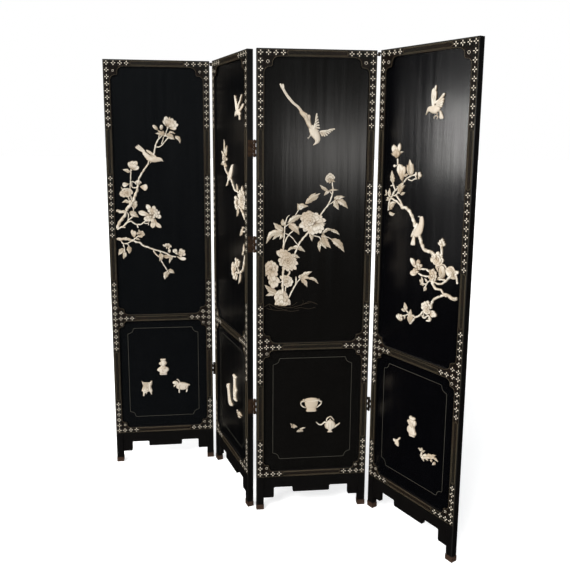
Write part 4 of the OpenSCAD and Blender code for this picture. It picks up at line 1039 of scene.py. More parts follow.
    def fan(self, x, z, aim, r, spread=150.0, n=6, layers=2, stain=0.0, seed=0.0, top=5.8, width=1.0):
        """Flower seen from the side: petals opening from its foot, the nearer ones shorter."""
        for q in range(layers):
            m = max(2, n - q)
            reach = r * (1.0, 0.74, 0.52)[q]
            h0 = 0.8 + (top - 0.8) * (q / layers) * 0.9
            h1 = 0.8 + (top - 0.8) * ((q + 1) / layers) * 0.85
            half = (m - 1) / 2
            for i in sorted(range(m), key=lambda i: -abs(i - half)):
                t = (i / (m - 1) - 0.5) if m > 1 else 0.0
                a = math.radians(aim + t * spread * (1 - 0.12 * q) + 6 * (rnd(i, q, seed) - 0.5))
                far = reach * (1.0 - 0.10 * abs(2 * t) + 0.10 * (rnd(i, q + 4, seed) - 0.5))
                w = max(r * 0.34, math.radians(spread) * reach * 0.62 / m * 1.35) * width
                up = 0.5 * (1 - abs(2 * t))
                self.petal(x + math.cos(a) * far * 0.06, z + math.sin(a) * far * 0.06, x + math.cos(a) * far, z + math.sin(a) * far,
                           w, h0 + up, h1 + up, cup=0.55, notch=0.08, seed=rnd(i, q, seed + 1), stain=stain,
                           bend=-0.16 * t, tone=0.95 + 0.1 * rnd(q, i, seed))
        self.calyx(x, z, aim + 180, r * 0.30, seed)

    def calyx(self, x, z, aim, r, seed=0.0):
        for t in (-55, 0, 55):
            a = math.radians(aim + t)
            b = math.radians(aim + 180)
            self.blade(x - math.cos(b) * 0, z, x + math.cos(a) * r * 0.8, z + math.sin(a) * r * 0.8, r * 0.55, kind="lance",
                       lo=1.6, hi=4.2, veins=2, dip=0.3, wave=0.0, stain=0.45)
        self.dome(x, z, r * 0.36, 5.0, stain=0.5)

    def bud(self, x0, z0, x1, z1, w, stain=0.0, seed=0.0, cup=True):
        """Closed bud: two side petals wrapped by a middle one, in a small cup."""
        dx, dz = x1 - x0, z1 - z0
        ln = math.hypot(dx, dz) or 1.0
        nx, nz = -dz / ln, dx / ln
        for s in (-1, 1):
            self.petal(x0, z0, x1 + nx * s * w * 0.17 - dx * 0.04, z1 + nz * s * w * 0.17 - dz * 0.04, w * 0.62, 1.4, 3.4, cup=-0.6,
                       notch=0.0, bend=s * 0.10, kind="round", stain=stain, seed=seed + s, frill=0.0)
        self.petal(x0, z0, x1, z1, w * 0.62, 2.4, 5.0, cup=-1.2, notch=0.0, kind="round", stain=stain, seed=seed, frill=0.0, ridges=5)
        if cup:
            for s in (-1, 0, 1):
                self.blade(x0 - dx * 0.10, z0 - dz * 0.10, x0 + dx * 0.30 + nx * s * w * 0.30, z0 + dz * 0.30 + nz * s * w * 0.30,
                           w * 0.34, kind="lance", lo=2.0, hi=4.6, veins=2, dip=0.3, wave=0.0, stain=0.45)

    def lobed(self, x0, z0, x1, z1, width, lobes=3, spread=46.0, **kw):
        """Leaf cut into pointed lobes from one stalk."""
        ln = math.hypot(x1 - x0, z1 - z0)
        a0 = math.degrees(math.atan2(z1 - z0, x1 - x0))
        for i in range(lobes):
            t = i - (lobes - 1) / 2
            a = math.radians(a0 + t * spread)
            far = ln * (1 - 0.17 * abs(t))
            b = 0.16 * ln if t else 0.0
            sx, sz = x0 + math.cos(math.radians(a0)) * b, z0 + math.sin(math.radians(a0)) * b
            self.blade(sx, sz, x0 + math.cos(a) * far, z0 + math.sin(a) * far, width * (1.0 if t == 0 else 0.8),
                       lo=1.2 + 0.25 * (t == 0), hi=3.2 + 0.5 * (t == 0), seed=0.3 * i, **kw)

    def cameo(self, outline, h, edge=3.2, low=1.0, step=1.7, cuts=(), cut=1.0, cut_w=0.9, relief=None, stain=0.0,
              tone=1.0, smooth=True, slope=(0.0, 0.0, 0.0), base=-0.4):
        """Figure with an exact outline: cushioned to its edge, with carved lines along the cuts."""
        n = len(outline)
        loop = []
        for i in range(n):
            p0, p1, p2, p3 = (outline[(i + j) % n] for j in (-1, 0, 1, 2))
            span = math.hypot(p2[0] - p1[0], p2[1] - p1[1])
            m = max(1, int(round(span / step)))
            for j in range(m):
                t = j / m
                if smooth:
                    loop.append(tuple(0.5 * (2 * b + (c - a) * t + (2 * a - 5 * b + 4 * c - d) * t * t
                                             + (3 * b - a - 3 * c + d) * t ** 3) for a, b, c, d in zip(p0, p1, p2, p3)))
                else:
                    loop.append(tuple(b + (c - b) * t for b, c in zip(p1, p2)))
        m = len(loop)
        segs = list(zip(loop, loop[1:] + loop[:1]))
        lines = []
        extra = []
        for c in cuts:
            path, _ = spline(c, 1.1)
            lines += list(zip(path, path[1:]))
            for (x, z), (ax, az) in zip(path, normals(path)):
                for o in (0.0, -0.95, 0.95):
                    extra.append((x + ax * o, z + az * o))

        def far(x, z, rows):
            best = 1e9
            for (ax, az), (bx, bz) in rows:
                dx, dz = bx - ax, bz - az
                q = dx * dx + dz * dz
                t = 0.0 if q < 1e-12 else clamp(((x - ax) * dx + (z - az) * dz) / q)
                ex, ez = x - ax - t * dx, z - az - t * dz
                best = min(best, ex * ex + ez * ez)
            return math.sqrt(best)

        def inside(x, z):
            odd = False
            for (ax, az), (bx, bz) in segs:
                if (az > z) != (bz > z) and x < (bx - ax) * (z - az) / (bz - az) + ax:
                    odd = not odd
            return odd

        pts = list(loop)
        dist = [0.0] * m
        x0, x1 = min(p[0] for p in loop), max(p[0] for p in loop)
        z0, z1 = min(p[1] for p in loop), max(p[1] for p in loop)
        row = 0
        z = z0 + step * 0.3
        cand = list(extra)
        while z < z1:
            x = x0 + step * (0.25 + 0.5 * (row % 2))
            while x < x1:
                cand.append((x, z))
                x += step
            z += step * 0.87
            row += 1
        for i, (x, z) in enumerate(cand):
            if not inside(x, z):
                continue
            d = far(x, z, segs)
            if d < step * 0.42:
                continue
            if i >= len(extra) and lines and far(x, z, lines) < 1.35:
                continue
            pts.append((x, z))
            dist.append(d)
        out = delaunay_2d_cdt([Vector(p) for p in pts], [(i, (i + 1) % m) for i in range(m)], [list(range(m))], 1, 1e-5)
        v2, faces, orig = out[0], out[2], out[3]
        where = {}
        verts, tones = [], []
        for i, v in enumerate(v2):
            src = orig[i]
            for q in src:
                where[q] = i
            x, z = v.x, v.y
            rim = any(q < m for q in src)
            d = 0.0 if rim else dist[src[0]] if src else far(x, z, segs)
            t = clamp(d / edge)
            c = math.sqrt(max(0.0, 1 - (1 - t) ** 2))
            dh = relief(x, z, d) if relief else 0.0
            g = math.exp(-(far(x, z, lines) / cut_w) ** 2) if lines and not rim else 0.0
            s = slope[0] + slope[1] * (x - (x0 + x1) / 2) + slope[2] * (z - (z0 + z1) / 2)
            hh = low + (h - low) * c + (dh + s) * c - cut * g * c
            verts.append((x, z, max(0.5, hh)))
            # painted shade: darker towards the outline and in the carved cuts, lighter on raised relief
            tones.append(clamp(tone * (0.52 + 0.46 * c + 0.5 * dh - 0.62 * g), 0.0, 1.2))
        top = [tuple(f) for f in faces]
        ring = [where[q] for q in range(m) if q in where]
        # the wall gets a low tone: painted shade
        low_of = {}
        for q in ring:
            if q not in low_of:
                low_of[q] = len(verts)
                verts.append((verts[q][0], verts[q][1], base))
                tones.append(0.12)
        sides = [(a, low_of[a], low_of[b], b) for a, b in zip(ring, ring[1:] + ring[:1]) if a != b]
        self.add(verts, top + sides + [tuple(low_of[q] for q in ring)], tones, stain)

    def leafs(self, rows, **kw):
        """Several leaves: (x0, z0, x1, z1, width[, bend[, stain]])."""
        for i, r in enumerate(rows):
            opt = dict(kw)
            if len(r) > 5:
                opt["bend"] = r[5]
            if len(r) > 6:
                opt["stain"] = r[6]
            opt.setdefault("seed", rnd(r[0], r[1]))
            opt.setdefault("lo", 1.2 + 0.5 * rnd(r[2], i))
            opt.setdefault("tilt", 0.7 * (rnd(r[3], i) - 0.5) * 2)
            self.blade(*r[:5], **opt)

    def ring(self, x, z, tips, h0, h1, **kw):
        """Petals from one throat to given tips: (x, z, width[, stain[, bend]])."""
        for i, r in enumerate(tips):
            opt = dict(kw)
            if len(r) > 3:
                opt["stain"] = r[3]
            if len(r) > 4:
                opt["bend"] = r[4]
            up = 0.45 * (i % 2) + 0.3 * rnd(r[0], r[1])
            opt.setdefault("seed", rnd(r[0], r[1], 2))
            sx, sz = x + 0.10 * (r[0] - x), z + 0.10 * (r[1] - z)
            self.petal(sx, sz, r[0], r[1], r[2], h0 + up, h1 + up, **opt)

    def stamens(self, x, z, r, h, n=7, seed=0.0):
        """Seed head: a low dome with a ring of small beads."""
        self.dome(x, z, r, h, low=h - 2.0, stain=0.7)
        for i in range(n):
            a = 2 * math.pi * i / n + seed
            self.dome(x + math.cos(a) * r * 1.1, z + math.sin(a) * r * 1.1, max(0.75, r * 0.40), h + 0.2, low=h - 2.2, stain=0.35)

    def feather(self, x0, z0, x1, z1, w, h0, h1, bend=0.0, stain=0.0, seed=0.0, kind="feather"):
        ln = math.hypot(x1 - x0, z1 - z0) or 1.0
        nx, nz = -(z1 - z0) / ln, (x1 - x0) / ln
        mid = ((x0 + x1) / 2 + nx * bend * ln, (z0 + z1) / 2 + nz * bend * ln)
        rows, _ = spline([(x0, z0), mid, (x1, z1)], max(1.0, ln / 22))
        side = normals(rows)
        n = len(rows) - 1
        grid, tones = [], []
        for i, ((x, z), (ax, az)) in enumerate(zip(rows, side)):
            u = i / n
            half = max(0.2, w / 2 * PROFILES[kind](min(max(u, 0.001), 0.999)))
            row, trow = [], []
            for v in (-1.0, -0.8, -0.45, -0.13, 0.13, 0.45, 0.8, 1.0):
                barb = 0.5 + 0.5 * math.sin(2 * math.pi * (ln * u / 2.6 - 0.7 * abs(v)))
                h = h0 + (h1 - h0) * u + 0.55 * (1 - v * v) + (0.28 if abs(v) < 0.2 else 0.0) - 0.10 * barb - 0.35 * (abs(v) > 0.9)
                row.append((x + ax * v * half, z + az * v * half, max(0.4, h)))
                # painted light and shade: darker at the edges and in the barb lines, lighter on the raised shaft
                trow.append(0.70 + 0.25 * (1 - v * v) - 0.14 * barb + 0.15 * (abs(v) < 0.2) - 0.42 * (abs(v) > 0.9))
            grid.append(row)
            tones.append(trow)
        self.sheet(grid, tones, stain)

    def wing(self, lead, trail, n=7, w=7.0, h=5.6, drop=2.4, arm=0.62, arm_w=4.4, stain=0.0):
        """Wing: quills from the leading edge to stepped tips along the trailing edge, coverts over their roots."""
        lp, ltot = spline(lead, 1.0)
        tp, _ = spline(trail, 1.0)

        def at(path, f):
            return path[min(len(path) - 1, max(0, int(round(f * (len(path) - 1)))))]

        for i in range(n - 1, -1, -1):
            t = i / (n - 1)
            b, e = at(lp, 0.62 * (1 - t)), at(tp, t)
            hh = h - drop * t
            self.feather(b[0], b[1], e[0], e[1], w * (0.86 + 0.28 * t), hh - 0.9, hh - 1.5, bend=0.05 * (1 if i % 2 else 0.6), stain=stain)
        m = max(3, n - 2)
        for i in range(m - 1, -1, -1):
            t = i / (m - 1)
            b, e = at(lp, 0.55 * (1 - t)), at(tp, t * 0.96)
            e = (b[0] + (e[0] - b[0]) * 0.50, b[1] + (e[1] - b[1]) * 0.50)
            self.feather(b[0], b[1], e[0], e[1], w * 1.08, h - 0.4 - drop * 0.7 * t, h - 0.9 - drop * 0.7 * t, stain=stain + 0.08)
        rows = []
        for i in range(5):
            f = arm * i / 4
            p = at(lp, f)
            rows.append((p[0], p[1], arm_w * (1 - 0.72 * (i / 4)) * (0.75 if i == 0 else 1.0), h + 0.4 - 0.8 * i / 4))

        def scales(u, v, s, q):
            return 0.16 * math.sin(s * 2.2) * math.cos(q * 1.9)

        self.body(rows, relief=scales, step=1.0, cols=13, stain=stain)

    def plumes(self, x, z, tips, w, h=3.6, stain=0.0, kind="feather", bend=0.0):
        """Tail: feathers from one root to each tip, the middle ones on top."""
        n = len(tips)
        mid = (n - 1) / 2
        for i in sorted(range(n), key=lambda i: -abs(i - mid)):
            up = 0.8 * (1 - abs(i - mid) / max(1.0, mid))
            self.feather(x, z, tips[i][0], tips[i][1], w, h + up, h - 0.7 + up, stain=stain, kind=kind, bend=bend)

    def eye(self, x, z, h, r=1.15):
        self.dome(x, z, r, h + 0.25, low=h - 1.0, stain=1.0, tone=0.25)

    def claws(self, x, z, aim, ln=7.0):
        for t in (-28, 0, 28):
            a = math.radians(aim + t)
            self.twig([(x, z), (x + math.cos(a) * ln * 0.6, z + math.sin(a) * ln * 0.6 + 0.5), (x + math.cos(a) * ln, z + math.sin(a) * ln)],
                      1.6, 0.9, knots=0.0, stain=0.2)


def plumage(u, v, s, q):
    """Rows of small overlapping body feathers."""
    a = math.sin(s * 1.55 + (math.pi if int(math.floor(q / 2.6)) % 2 else 0.0))
    return 0.20 * a * (1 - abs(v) ** 3)


def smooth_down(u, v, s, q):
    return 0.07 * math.sin(s * 1.1 + 2.0 * v)


# ---------------------------------------------------------------- carvings
# ---- leaf 3 begins
def carve_3():
    """Peony growing from a rock, a long-tailed bird coming down, bowl, ewer and two sprigs."""
    s = Relief(3)
    # stems
    s.twig([(289, 1349), (293, 1322), (290, 1296), (277, 1263), (260, 1240), (246, 1220)], 4.8, 6.4, seed=0.1)
    s.twig([(275, 1261), (288, 1267), (302, 1278)], 4.4, 3.6, seed=0.2)
    s.twig([(290, 1300), (285, 1308), (277, 1314)], 4.2, 3.4)
    s.twig([(162, 1243), (156, 1232), (149, 1220)], 3.4, 3.2)
    s.twig([(204, 1158), (185, 1137), (170, 1118), (162, 1104), (156, 1090), (150, 1074), (147, 1058)], 7.6, 6.0, seed=0.3)
    s.twig([(103, 1082), (105, 1112), (107, 1145), (109, 1172), (112, 1192), (117, 1211), (127, 1222)], 6.8, 3.4, seed=0.4)
    s.twig([(104, 1094), (110, 1118), (120, 1139), (133, 1154), (144, 1163)], 6.2, 4.6, seed=0.5)
    s.twig([(108, 1152), (126, 1144), (141, 1131), (152, 1116), (162, 1104)], 3.8, 3.6, seed=0.6)
    s.twig([(112, 1178), (120, 1184), (130, 1190)], 4.0, 3.6)
    s.twig([(214, 1142), (231, 1139), (245, 1134), (251, 1119)], 4.6, 4.2, seed=0.7)
    s.twig([(250, 1140), (272, 1136), (293, 1126)], 4.0, 3.4, seed=0.8)
    s.twig([(128, 1006), (128, 993), (120, 984)], 7.0, 6.0)
    s.twig([(104, 1012), (103, 975), (102, 950), (103, 915)], 8.4, 9.6, seed=0.9)
    s.twig([(88, 958), (97, 962), (104, 972)], 4.0, 3.6)
    s.twig([(116, 945), (113, 934), (114, 922)], 5.4, 6.0)
    s.twig([(126, 896), (138, 921), (150, 944), (160, 960), (171, 973)], 6.2, 4.4, seed=1.1)
    s.twig([(152, 946), (155, 964), (154, 981)], 5.0, 5.4, seed=1.2)
    # leaves, top to bottom
    s.leafs([(274, 1315, 242, 1337, 13, 0.06), (278, 1315, 314, 1317, 8.5, 0.06), (280, 1315, 259, 1296, 13, -0.06)])
    s.leafs([(301, 1278, 316, 1296, 14, 0.05), (305, 1283, 340, 1291, 14, 0.08), (301, 1280, 317, 1241, 21, -0.05), (308, 1282, 353, 1246, 23, 0.08, 0.3)])
    s.leafs([(187, 1265, 245, 1305, 22, 0.03, 0.3), (198, 1280, 228, 1307, 11, 0.05, 0.3), (212, 1278, 238, 1294, 11, -0.05, 0.3)])
    s.leafs([(161, 1262, 199, 1256, 17, -0.06), (156, 1241, 195, 1256, 15, 0.10), (161, 1240, 156, 1267, 13, -0.16)], veins=4)
    s.leafs([(106, 1180, 101, 1207, 19, 0.05), (105, 1160, 65, 1193, 23, 0.04), (100, 1152, 89, 1128, 14, 0.1),
             (98, 1152, 62, 1126, 15, -0.1), (106, 1151, 37, 1111, 23, -0.28)])
    s.leafs([(120, 1189, 183, 1222, 22, 0.07), (121, 1188, 166, 1145, 26, 0.10, 0.45), (159, 1172, 181, 1179, 9, 0.05, 0.3)])
    s.leafs([(256, 1149, 290, 1091, 26, -0.10, 0.5), (291, 1128, 343, 1075, 26, 0.10, 0.35),
             (253, 1147, 300, 1164, 13, 0.18), (286, 1163, 323, 1143, 13, 0.10),
             (247, 1124, 246, 1077, 15, -0.05), (249, 1120, 271, 1089, 17, 0.05)])
    s.leafs([(150, 1097, 117, 1079, 10, -0.12), (138, 1096, 189, 1078, 19, 0.13), (128, 1061, 168, 1056, 19, 0.06)])
    s.leafs([(84, 918, 36, 906, 19, -0.05, 0.3), (82, 914, 32, 950, 24, 0.05, 0.4)])
    s.leafs([(172, 974, 199, 938, 18, 0.10, 0.25), (200, 974, 243, 950, 12, 0.16), (178, 978, 214, 972, 13, 0.02), (168, 971, 178, 989, 13, 0.1),
             (172, 974, 217, 1000, 20, 0.06)])
    # flower at the tip, seen from the side
    s.cameo(pulled([(262, 1368), (269, 1377), (279, 1382), (289, 1377), (299, 1371), (297, 1362), (300, 1350), (291, 1351),
             (285, 1346), (278, 1343), (274, 1350), (265, 1350), (262, 1358)], 0.86), 3.2, stain=0.2)
    s.ring(283, 1356, [(263, 1363, 19, 0.1), (270, 1375, 17), (280, 1382, 19), (291, 1377, 15, 0.1), (298, 1369, 13), (266, 1351, 14, 0.2)], 2.2, 4.4)
    s.ring(283, 1357, [(271, 1366, 14, 0.2), (281, 1373, 14, 0.1), (290, 1366, 12), (275, 1355, 12, 0.3)], 3.8, 6.0)
    s.leafs([(286, 1354, 301, 1349, 7, 0.0, 0.3), (284, 1354, 278, 1342, 7, 0.0, 0.3), (286, 1356, 298, 1361, 6, 0.0, 0.3)], lo=3.4, hi=5.2)
    # great bloom
    s.cameo(pulled([(163, 1179), (170, 1190), (179, 1198), (172, 1212), (174, 1226), (187, 1238), (204, 1235), (216, 1232),
             (223, 1226), (233, 1230), (243, 1221), (258, 1213), (266, 1200), (259, 1190), (262, 1178), (259, 1156),
             (244, 1151), (230, 1152), (222, 1146), (208, 1141), (198, 1148), (188, 1160), (174, 1165)], 0.86), 3.0, stain=0.35)
    s.leafs([(206, 1160, 215, 1119, 17, 0.06, 0.2), (240, 1176, 268, 1188, 10, 0.05)], lo=1.6, hi=4.0)
    s.ring(212, 1196, [(168, 1212, 22, 0.5), (178, 1230, 26, 0.55), (198, 1238, 28, 0.55), (216, 1232, 19, 0.5), (235, 1229, 23, 0.1),
                       (253, 1217, 22, 0.15), (267, 1201, 22, 0.35), (262, 1180, 21, 0.2), (164, 1178, 22, 0.05), (172, 1192, 19, 0.15),
                       (182, 1160, 23, 0.05)], 1.6, 3.6)
    s.ring(220, 1194, [(188, 1164, 21, 0.05), (202, 1150, 22, 0.0), (216, 1144, 21, 0.0), (232, 1149, 22, 0.0), (250, 1152, 22, 0.05), (260, 1165, 19, 0.1)],
           2.4, 4.6)
    s.ring(212, 1198, [(185, 1222, 24, 0.4), (203, 1228, 24, 0.4), (222, 1222, 22, 0.25), (240, 1213, 24, 0.2), (254, 1199, 20, 0.45),
                       (180, 1202, 19, 0.25), (184, 1184, 20, 0.1)], 3.2, 5.0)
    s.ring(224, 1191, [(206, 1166, 20, 0.05), (223, 1160, 21, 0.0), (241, 1165, 22, 0.05)], 3.6, 5.6)
    s.ring(208, 1198, [(192, 1213, 15, 0.3), (205, 1219, 15, 0.3), (219, 1213, 15, 0.35), (226, 1200, 14, 0.4), (217, 1184, 14, 0.25),
                       (201, 1181, 15, 0.15), (190, 1192, 14, 0.2)], 4.6, 6.0, cup=0.9)
    s.ring(207, 1199, [(199, 1208, 9, 0.3), (210, 1209, 9, 0.3), (215, 1199, 9, 0.35), (207, 1189, 9, 0.3), (198, 1197, 9, 0.2)], 5.6, 6.6, cup=0.8)
    s.dome(206.5, 1199, 2.2, 6.6, low=5.0, stain=0.9)
    # second bloom, turned away
    s.cameo(pulled([(77, 1082), (84, 1090), (97, 1088), (112, 1086), (124, 1078), (136, 1071), (148, 1066), (152, 1054), (153, 1043),
             (161, 1035), (160, 1025), (156, 1014), (149, 1008), (140, 1010), (133, 1004), (123, 1004), (114, 1010), (103, 1006),
             (99, 1020), (88, 1031), (84, 1044), (90, 1056), (83, 1068)], 0.86), 3.0, stain=0.35)
    s.ring(118, 1048, [(79, 1083, 23, 0.40), (93, 1090, 22, 0.45), (110, 1087, 21, 0.50), (127, 1077, 21, 0.65), (143, 1066, 19, 0.50), (155, 1048, 17, 0.50),
                       (161, 1031, 19, 0.40), (154, 1010, 19, 0.35), (139, 1006, 17, 0.40), (122, 1003, 19, 0.50), (104, 1007, 17, 0.40), (90, 1028, 21, 0.40),
                       (84, 1046, 21, 0.50)], 1.8, 3.8, ridges=9)
    s.ring(120, 1046, [(92, 1076, 24, 0.65), (109, 1077, 22, 0.75), (127, 1068, 20, 0.70), (141, 1052, 20, 0.75), (148, 1032, 22, 0.60),
                       (138, 1017, 20, 0.55), (121, 1014, 20, 0.70), (104, 1022, 20, 0.60), (96, 1044, 22, 0.65)], 3.0, 4.8, ridges=8)
    s.ring(122, 1044, [(104, 1062, 18, 0.80), (119, 1063, 17, 0.80), (134, 1050, 17, 0.85), (136, 1034, 17, 0.75), (122, 1026, 17, 0.80), (107, 1035, 18, 0.75)],
           4.0, 5.9)
    s.ring(122, 1044, [(114, 1052, 10, 0.90), (126, 1052, 10, 0.90), (131, 1042, 10, 0.80), (122, 1035, 10, 0.80), (113, 1041, 10, 0.80)], 5.2, 6.4)
    # bloom at the frame's edge, its lower petals hanging
    s.cameo(pulled([(31, 1036), (40, 1044), (52, 1047), (64, 1043), (76, 1036), (84, 1024), (82, 1010), (80, 996), (80, 980),
             (86, 966), (89, 952), (82, 938), (68, 926), (58, 938), (50, 956), (52, 976), (47, 990), (39, 990), (31, 984)], 0.86), 2.6, stain=0.35)
    s.ring(66, 990, [(52, 952, 20, 0.60), (64, 936, 24, 0.50), (79, 942, 20, 0.40), (88, 958, 18, 0.45)], 1.8, 4.0, ridges=9)
    s.ring(62, 1014, [(84, 1024, 20, 0.40), (83, 1006, 18, 0.40), (80, 986, 16, 0.45), (37, 992, 18, 0.80), (47, 972, 18, 0.70)], 2.2, 4.2, ridges=8)
    s.ring(58, 1008, [(36, 1032, 20, 0.85), (46, 1043, 19, 0.65), (58, 1046, 19, 0.45), (71, 1039, 20, 0.40), (60, 962, 18, 0.60), (70, 966, 17, 0.40)],
           3.2, 5.0, ridges=9)
    s.ring(58, 1010, [(41, 1020, 16, 0.90), (53, 1031, 15, 0.70), (66, 1029, 15, 0.50), (72, 1014, 14, 0.40), (62, 985, 15, 0.65), (46, 1000, 14, 0.90)], 4.4, 6.2)
    # small bloom below
    s.cameo(pulled([(90, 984), (100, 988), (112, 984), (124, 986), (134, 976), (142, 965), (142, 952), (132, 944), (120, 939), (110, 945),
             (104, 958), (100, 972)], 0.86), 2.8, stain=0.2)
    s.ring(116, 963, [(92, 984, 14, 0.0), (107, 987, 17, 0.1), (124, 986, 19, 0.0), (137, 976, 18, 0.1), (143, 961, 19, 0.05), (137, 946, 18, 0.1),
                      (121, 939, 18, 0.3), (108, 946, 15, 0.2)], 2.0, 4.0)
    s.ring(118, 963, [(108, 976, 13, 0.2), (121, 977, 13, 0.15), (131, 967, 13, 0.2), (129, 953, 13, 0.3), (116, 950, 12, 0.35)], 3.6, 5.4)
    s.stamens(118, 963, 2.6, 5.9)
    # rock
    s.cameo([(73, 869), (74, 884), (69, 898), (73, 914), (84, 926), (98, 930), (111, 924), (121, 911), (125, 897), (133, 886),
             (134, 875), (131, 868), (102, 870)], 3.6, cuts=[[(86, 870), (92, 890), (88, 910)], [(112, 870), (108, 888), (116, 906)]], stain=0.15)
    s.ring(102, 866, [(77, 913, 24, 0.40), (92, 929, 24, 0.35), (108, 925, 22, 0.70), (121, 908, 20, 0.65), (132, 884, 16, 0.40)], 2.6, 4.6, notch=0.02, kind="round")
    s.ring(98, 866, [(80, 893, 20, 0.35), (96, 911, 22, 0.30), (113, 897, 20, 0.60), (126, 878, 15, 0.50)], 4.2, 6.0, notch=0.02, kind="round")
    s.ring(92, 865, [(84, 882, 15, 0.0), (101, 890, 17, 0.05), (115, 880, 14, 0.2)], 5.4, 6.6, notch=0.02, kind="round")
    o = s.obj("peony_spray_3", IVORY, "carved_stone", 46)
    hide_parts("carvings_3")

    # bird
    b = Relief(3)
    tail = [(169, 1610, 5.4, 2.8), (156, 1627, 4.6, 3.0), (140, 1639, 4.4, 3.2), (124, 1656, 5.0, 3.2), (110, 1674, 4.6, 3.0),
            (100, 1691, 4.8, 2.9), (93, 1704, 6.0, 2.8)]

    def barbs(u, v, d, q):
        return 0.34 * math.sin(d * 1.25 + 1.9 * abs(q)) * clamp(1.3 - abs(v)) - (0.5 if abs(v) < 0.12 else 0.0)

    b.body(tail, relief=barbs, step=0.9, cols=13, low=0.9, stain=0.3)
    b.feather(98, 1694, 88, 1711, 7.5, 2.4, 2.2, bend=0.05)
    b.feather(101, 1692, 97, 1710, 7.0, 2.6, 2.3, bend=-0.05)
    b.feather(206, 1552, 197, 1600, 13, 2.6, 2.0, bend=0.10, stain=0.55)
    b.feather(204, 1548, 184, 1606, 14, 3.2, 2.4, bend=0.07, stain=0.55)
    b.feather(200, 1550, 163, 1613, 16, 3.2, 2.4, bend=-0.10, stain=0.55)
    b.feather(206, 1552, 174, 1610, 13, 4.0, 2.8, bend=0.0, stain=0.75)
    for i, (x, z, w) in enumerate(((186, 1580, 10), (195, 1578, 10), (180, 1590, 9), (199, 1570, 9), (188, 1571, 9))):
        b.feather(207, 1546, x, z, w, 4.4, 4.0, stain=0.45 + 0.08 * i)
    b.twig([(206, 1530), (202, 1521), (198, 1514)], 3.0, 2.6, stain=0.2)
    b.claws(199, 1515, 215, 7.5)
    # far wing first, then the body, then the near wing
    b.wing([(238, 1536), (262, 1541), (297, 1549)], [(297, 1547), (282, 1536), (270, 1524), (262, 1519), (250, 1520)], n=7, w=6.6, h=4.6, drop=1.6,
           arm=0.5, arm_w=5.0)
    rows = [(206, 1560, 7.5, 4.2), (209, 1549, 12.5, 5.2), (217, 1535, 16.5, 6.0), (225, 1522, 15.0, 6.4), (230, 1510, 11.5, 6.3), (229, 1501, 9.0, 5.8),
            (224, 1494, 4.6, 4.6), (218, 1489, 2.2, 3.6), (214, 1486, 0.7, 2.6)]
    b.body(rows, relief=plumage, step=1.1, cols=17, low=0.8, stain=0.4)
    b.wing([(214, 1545), (221, 1572), (226, 1606)], [(227, 1605), (232, 1588), (236, 1568), (239, 1550), (234, 1540)], n=7, w=6.0, h=5.4, drop=1.4,
           arm=0.42, arm_w=5.0)
    b.eye(226, 1503, 6.0, 1.3)
    b.eye(234, 1506, 5.4, 1.1)
    o = b.obj("bird_3", IVORY, "carved_stone", 46)
    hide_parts("carvings_3")

    # bowl, ewer and sprigs
    c = Relief(3)
    c.twig([(197, 469), (184, 466), (179, 457), (185, 447), (199, 439)], 5.6, 4.8, knots=0.0, rise=0.7)
    c.twig([(245, 469), (260, 465), (261, 455), (253, 446), (243, 439)], 5.6, 4.8, knots=0.0, rise=0.7)
    c.leafs([(190, 466, 178, 468, 6), (188, 468, 192, 477, 6), (254, 466, 266, 464, 6), (254, 468, 252, 477, 6)], lo=2.2, hi=4.4, veins=1)
    rows = [(222, 423, 19.5, 4.4), (222, 427, 21.0, 5.0), (222, 431, 20.0, 5.4), (222, 434, 18.5, 5.0), (222, 438, 20.5, 5.4), (222, 448, 24.0, 6.1),
            (222, 458, 26.5, 6.4), (222, 468, 27.5, 6.3), (222, 474, 26.5, 5.6), (222, 478, 21.0, 4.8), (222, 480, 12.0, 3.8)]

    def bowl(u, v, d, q):
        band = 1.0 if 0.36 < u < 0.78 else 0.0
        key = math.sin(q * 0.72) * math.sin(d * 0.62)
        return band * 0.42 * (1 if key > 0.12 else 0) - 0.30 * math.exp(-((u - 0.34) / 0.018) ** 2) - 0.30 * math.exp(-((u - 0.80) / 0.018) ** 2)

    c.body(rows, relief=bowl, step=0.9, cols=33, low=0.9, stain=0.85, p=2.4, dark=0.66)
    c.twig([(194, 472), (204, 477), (222, 479), (240, 477), (249, 472)], 3.8, 3.8, knots=0.0, rise=0.5, stain=0.0)
    c.body([(193, 473, 1.6, 5.6), (205, 469.5, 2.2, 6.5), (222, 468, 2.4, 6.8), (239, 469.5, 2.2, 6.5), (250, 473, 1.6, 5.6)], step=1.2, cols=7, low=4.4)
    # ewer
    c.twig([(287, 372), (278, 375), (271, 369), (262, 364.5), (252, 367), (243, 377)], 8.0, 3.8, knots=0.0, rise=0.6)
    c.twig([(318, 352), (328, 360), (334, 363), (340, 369)], 8.5, 4.0, knots=0.0, rise=0.6)
    c.twig([(285, 378), (286, 388), (293, 395), (302, 397), (309, 391), (316, 381)], 4.4, 4.0, knots=0.0, rise=0.8)
    rows = [(300, 331, 10.5, 4.0), (300, 334, 9.0, 4.6), (300, 339, 6.0, 4.4), (300, 343, 9.0, 4.8), (300, 348, 17.0, 5.6), (300, 356, 21.5, 6.3), (300, 364, 22.0, 6.5),
            (300, 372, 18.5, 6.2), (300, 377, 13.5, 5.6), (300, 380, 9.5, 5.0), (300, 382, 6.0, 4.4)]

    def ribs(u, v, d, q):
        return 0.34 * math.cos(v * 11.0) * clamp((u - 0.2) * 6) * clamp((0.92 - u) * 8)

    c.body(rows, relief=ribs, step=0.9, cols=29, low=0.9, stain=0.42, p=2.3, dark=0.66)
    c.twig([(287, 378), (300, 380), (313, 378)], 3.0, 3.0, knots=0.0, rise=0.6)
    c.dome(300, 385, 3.4, 5.6, low=2.0)
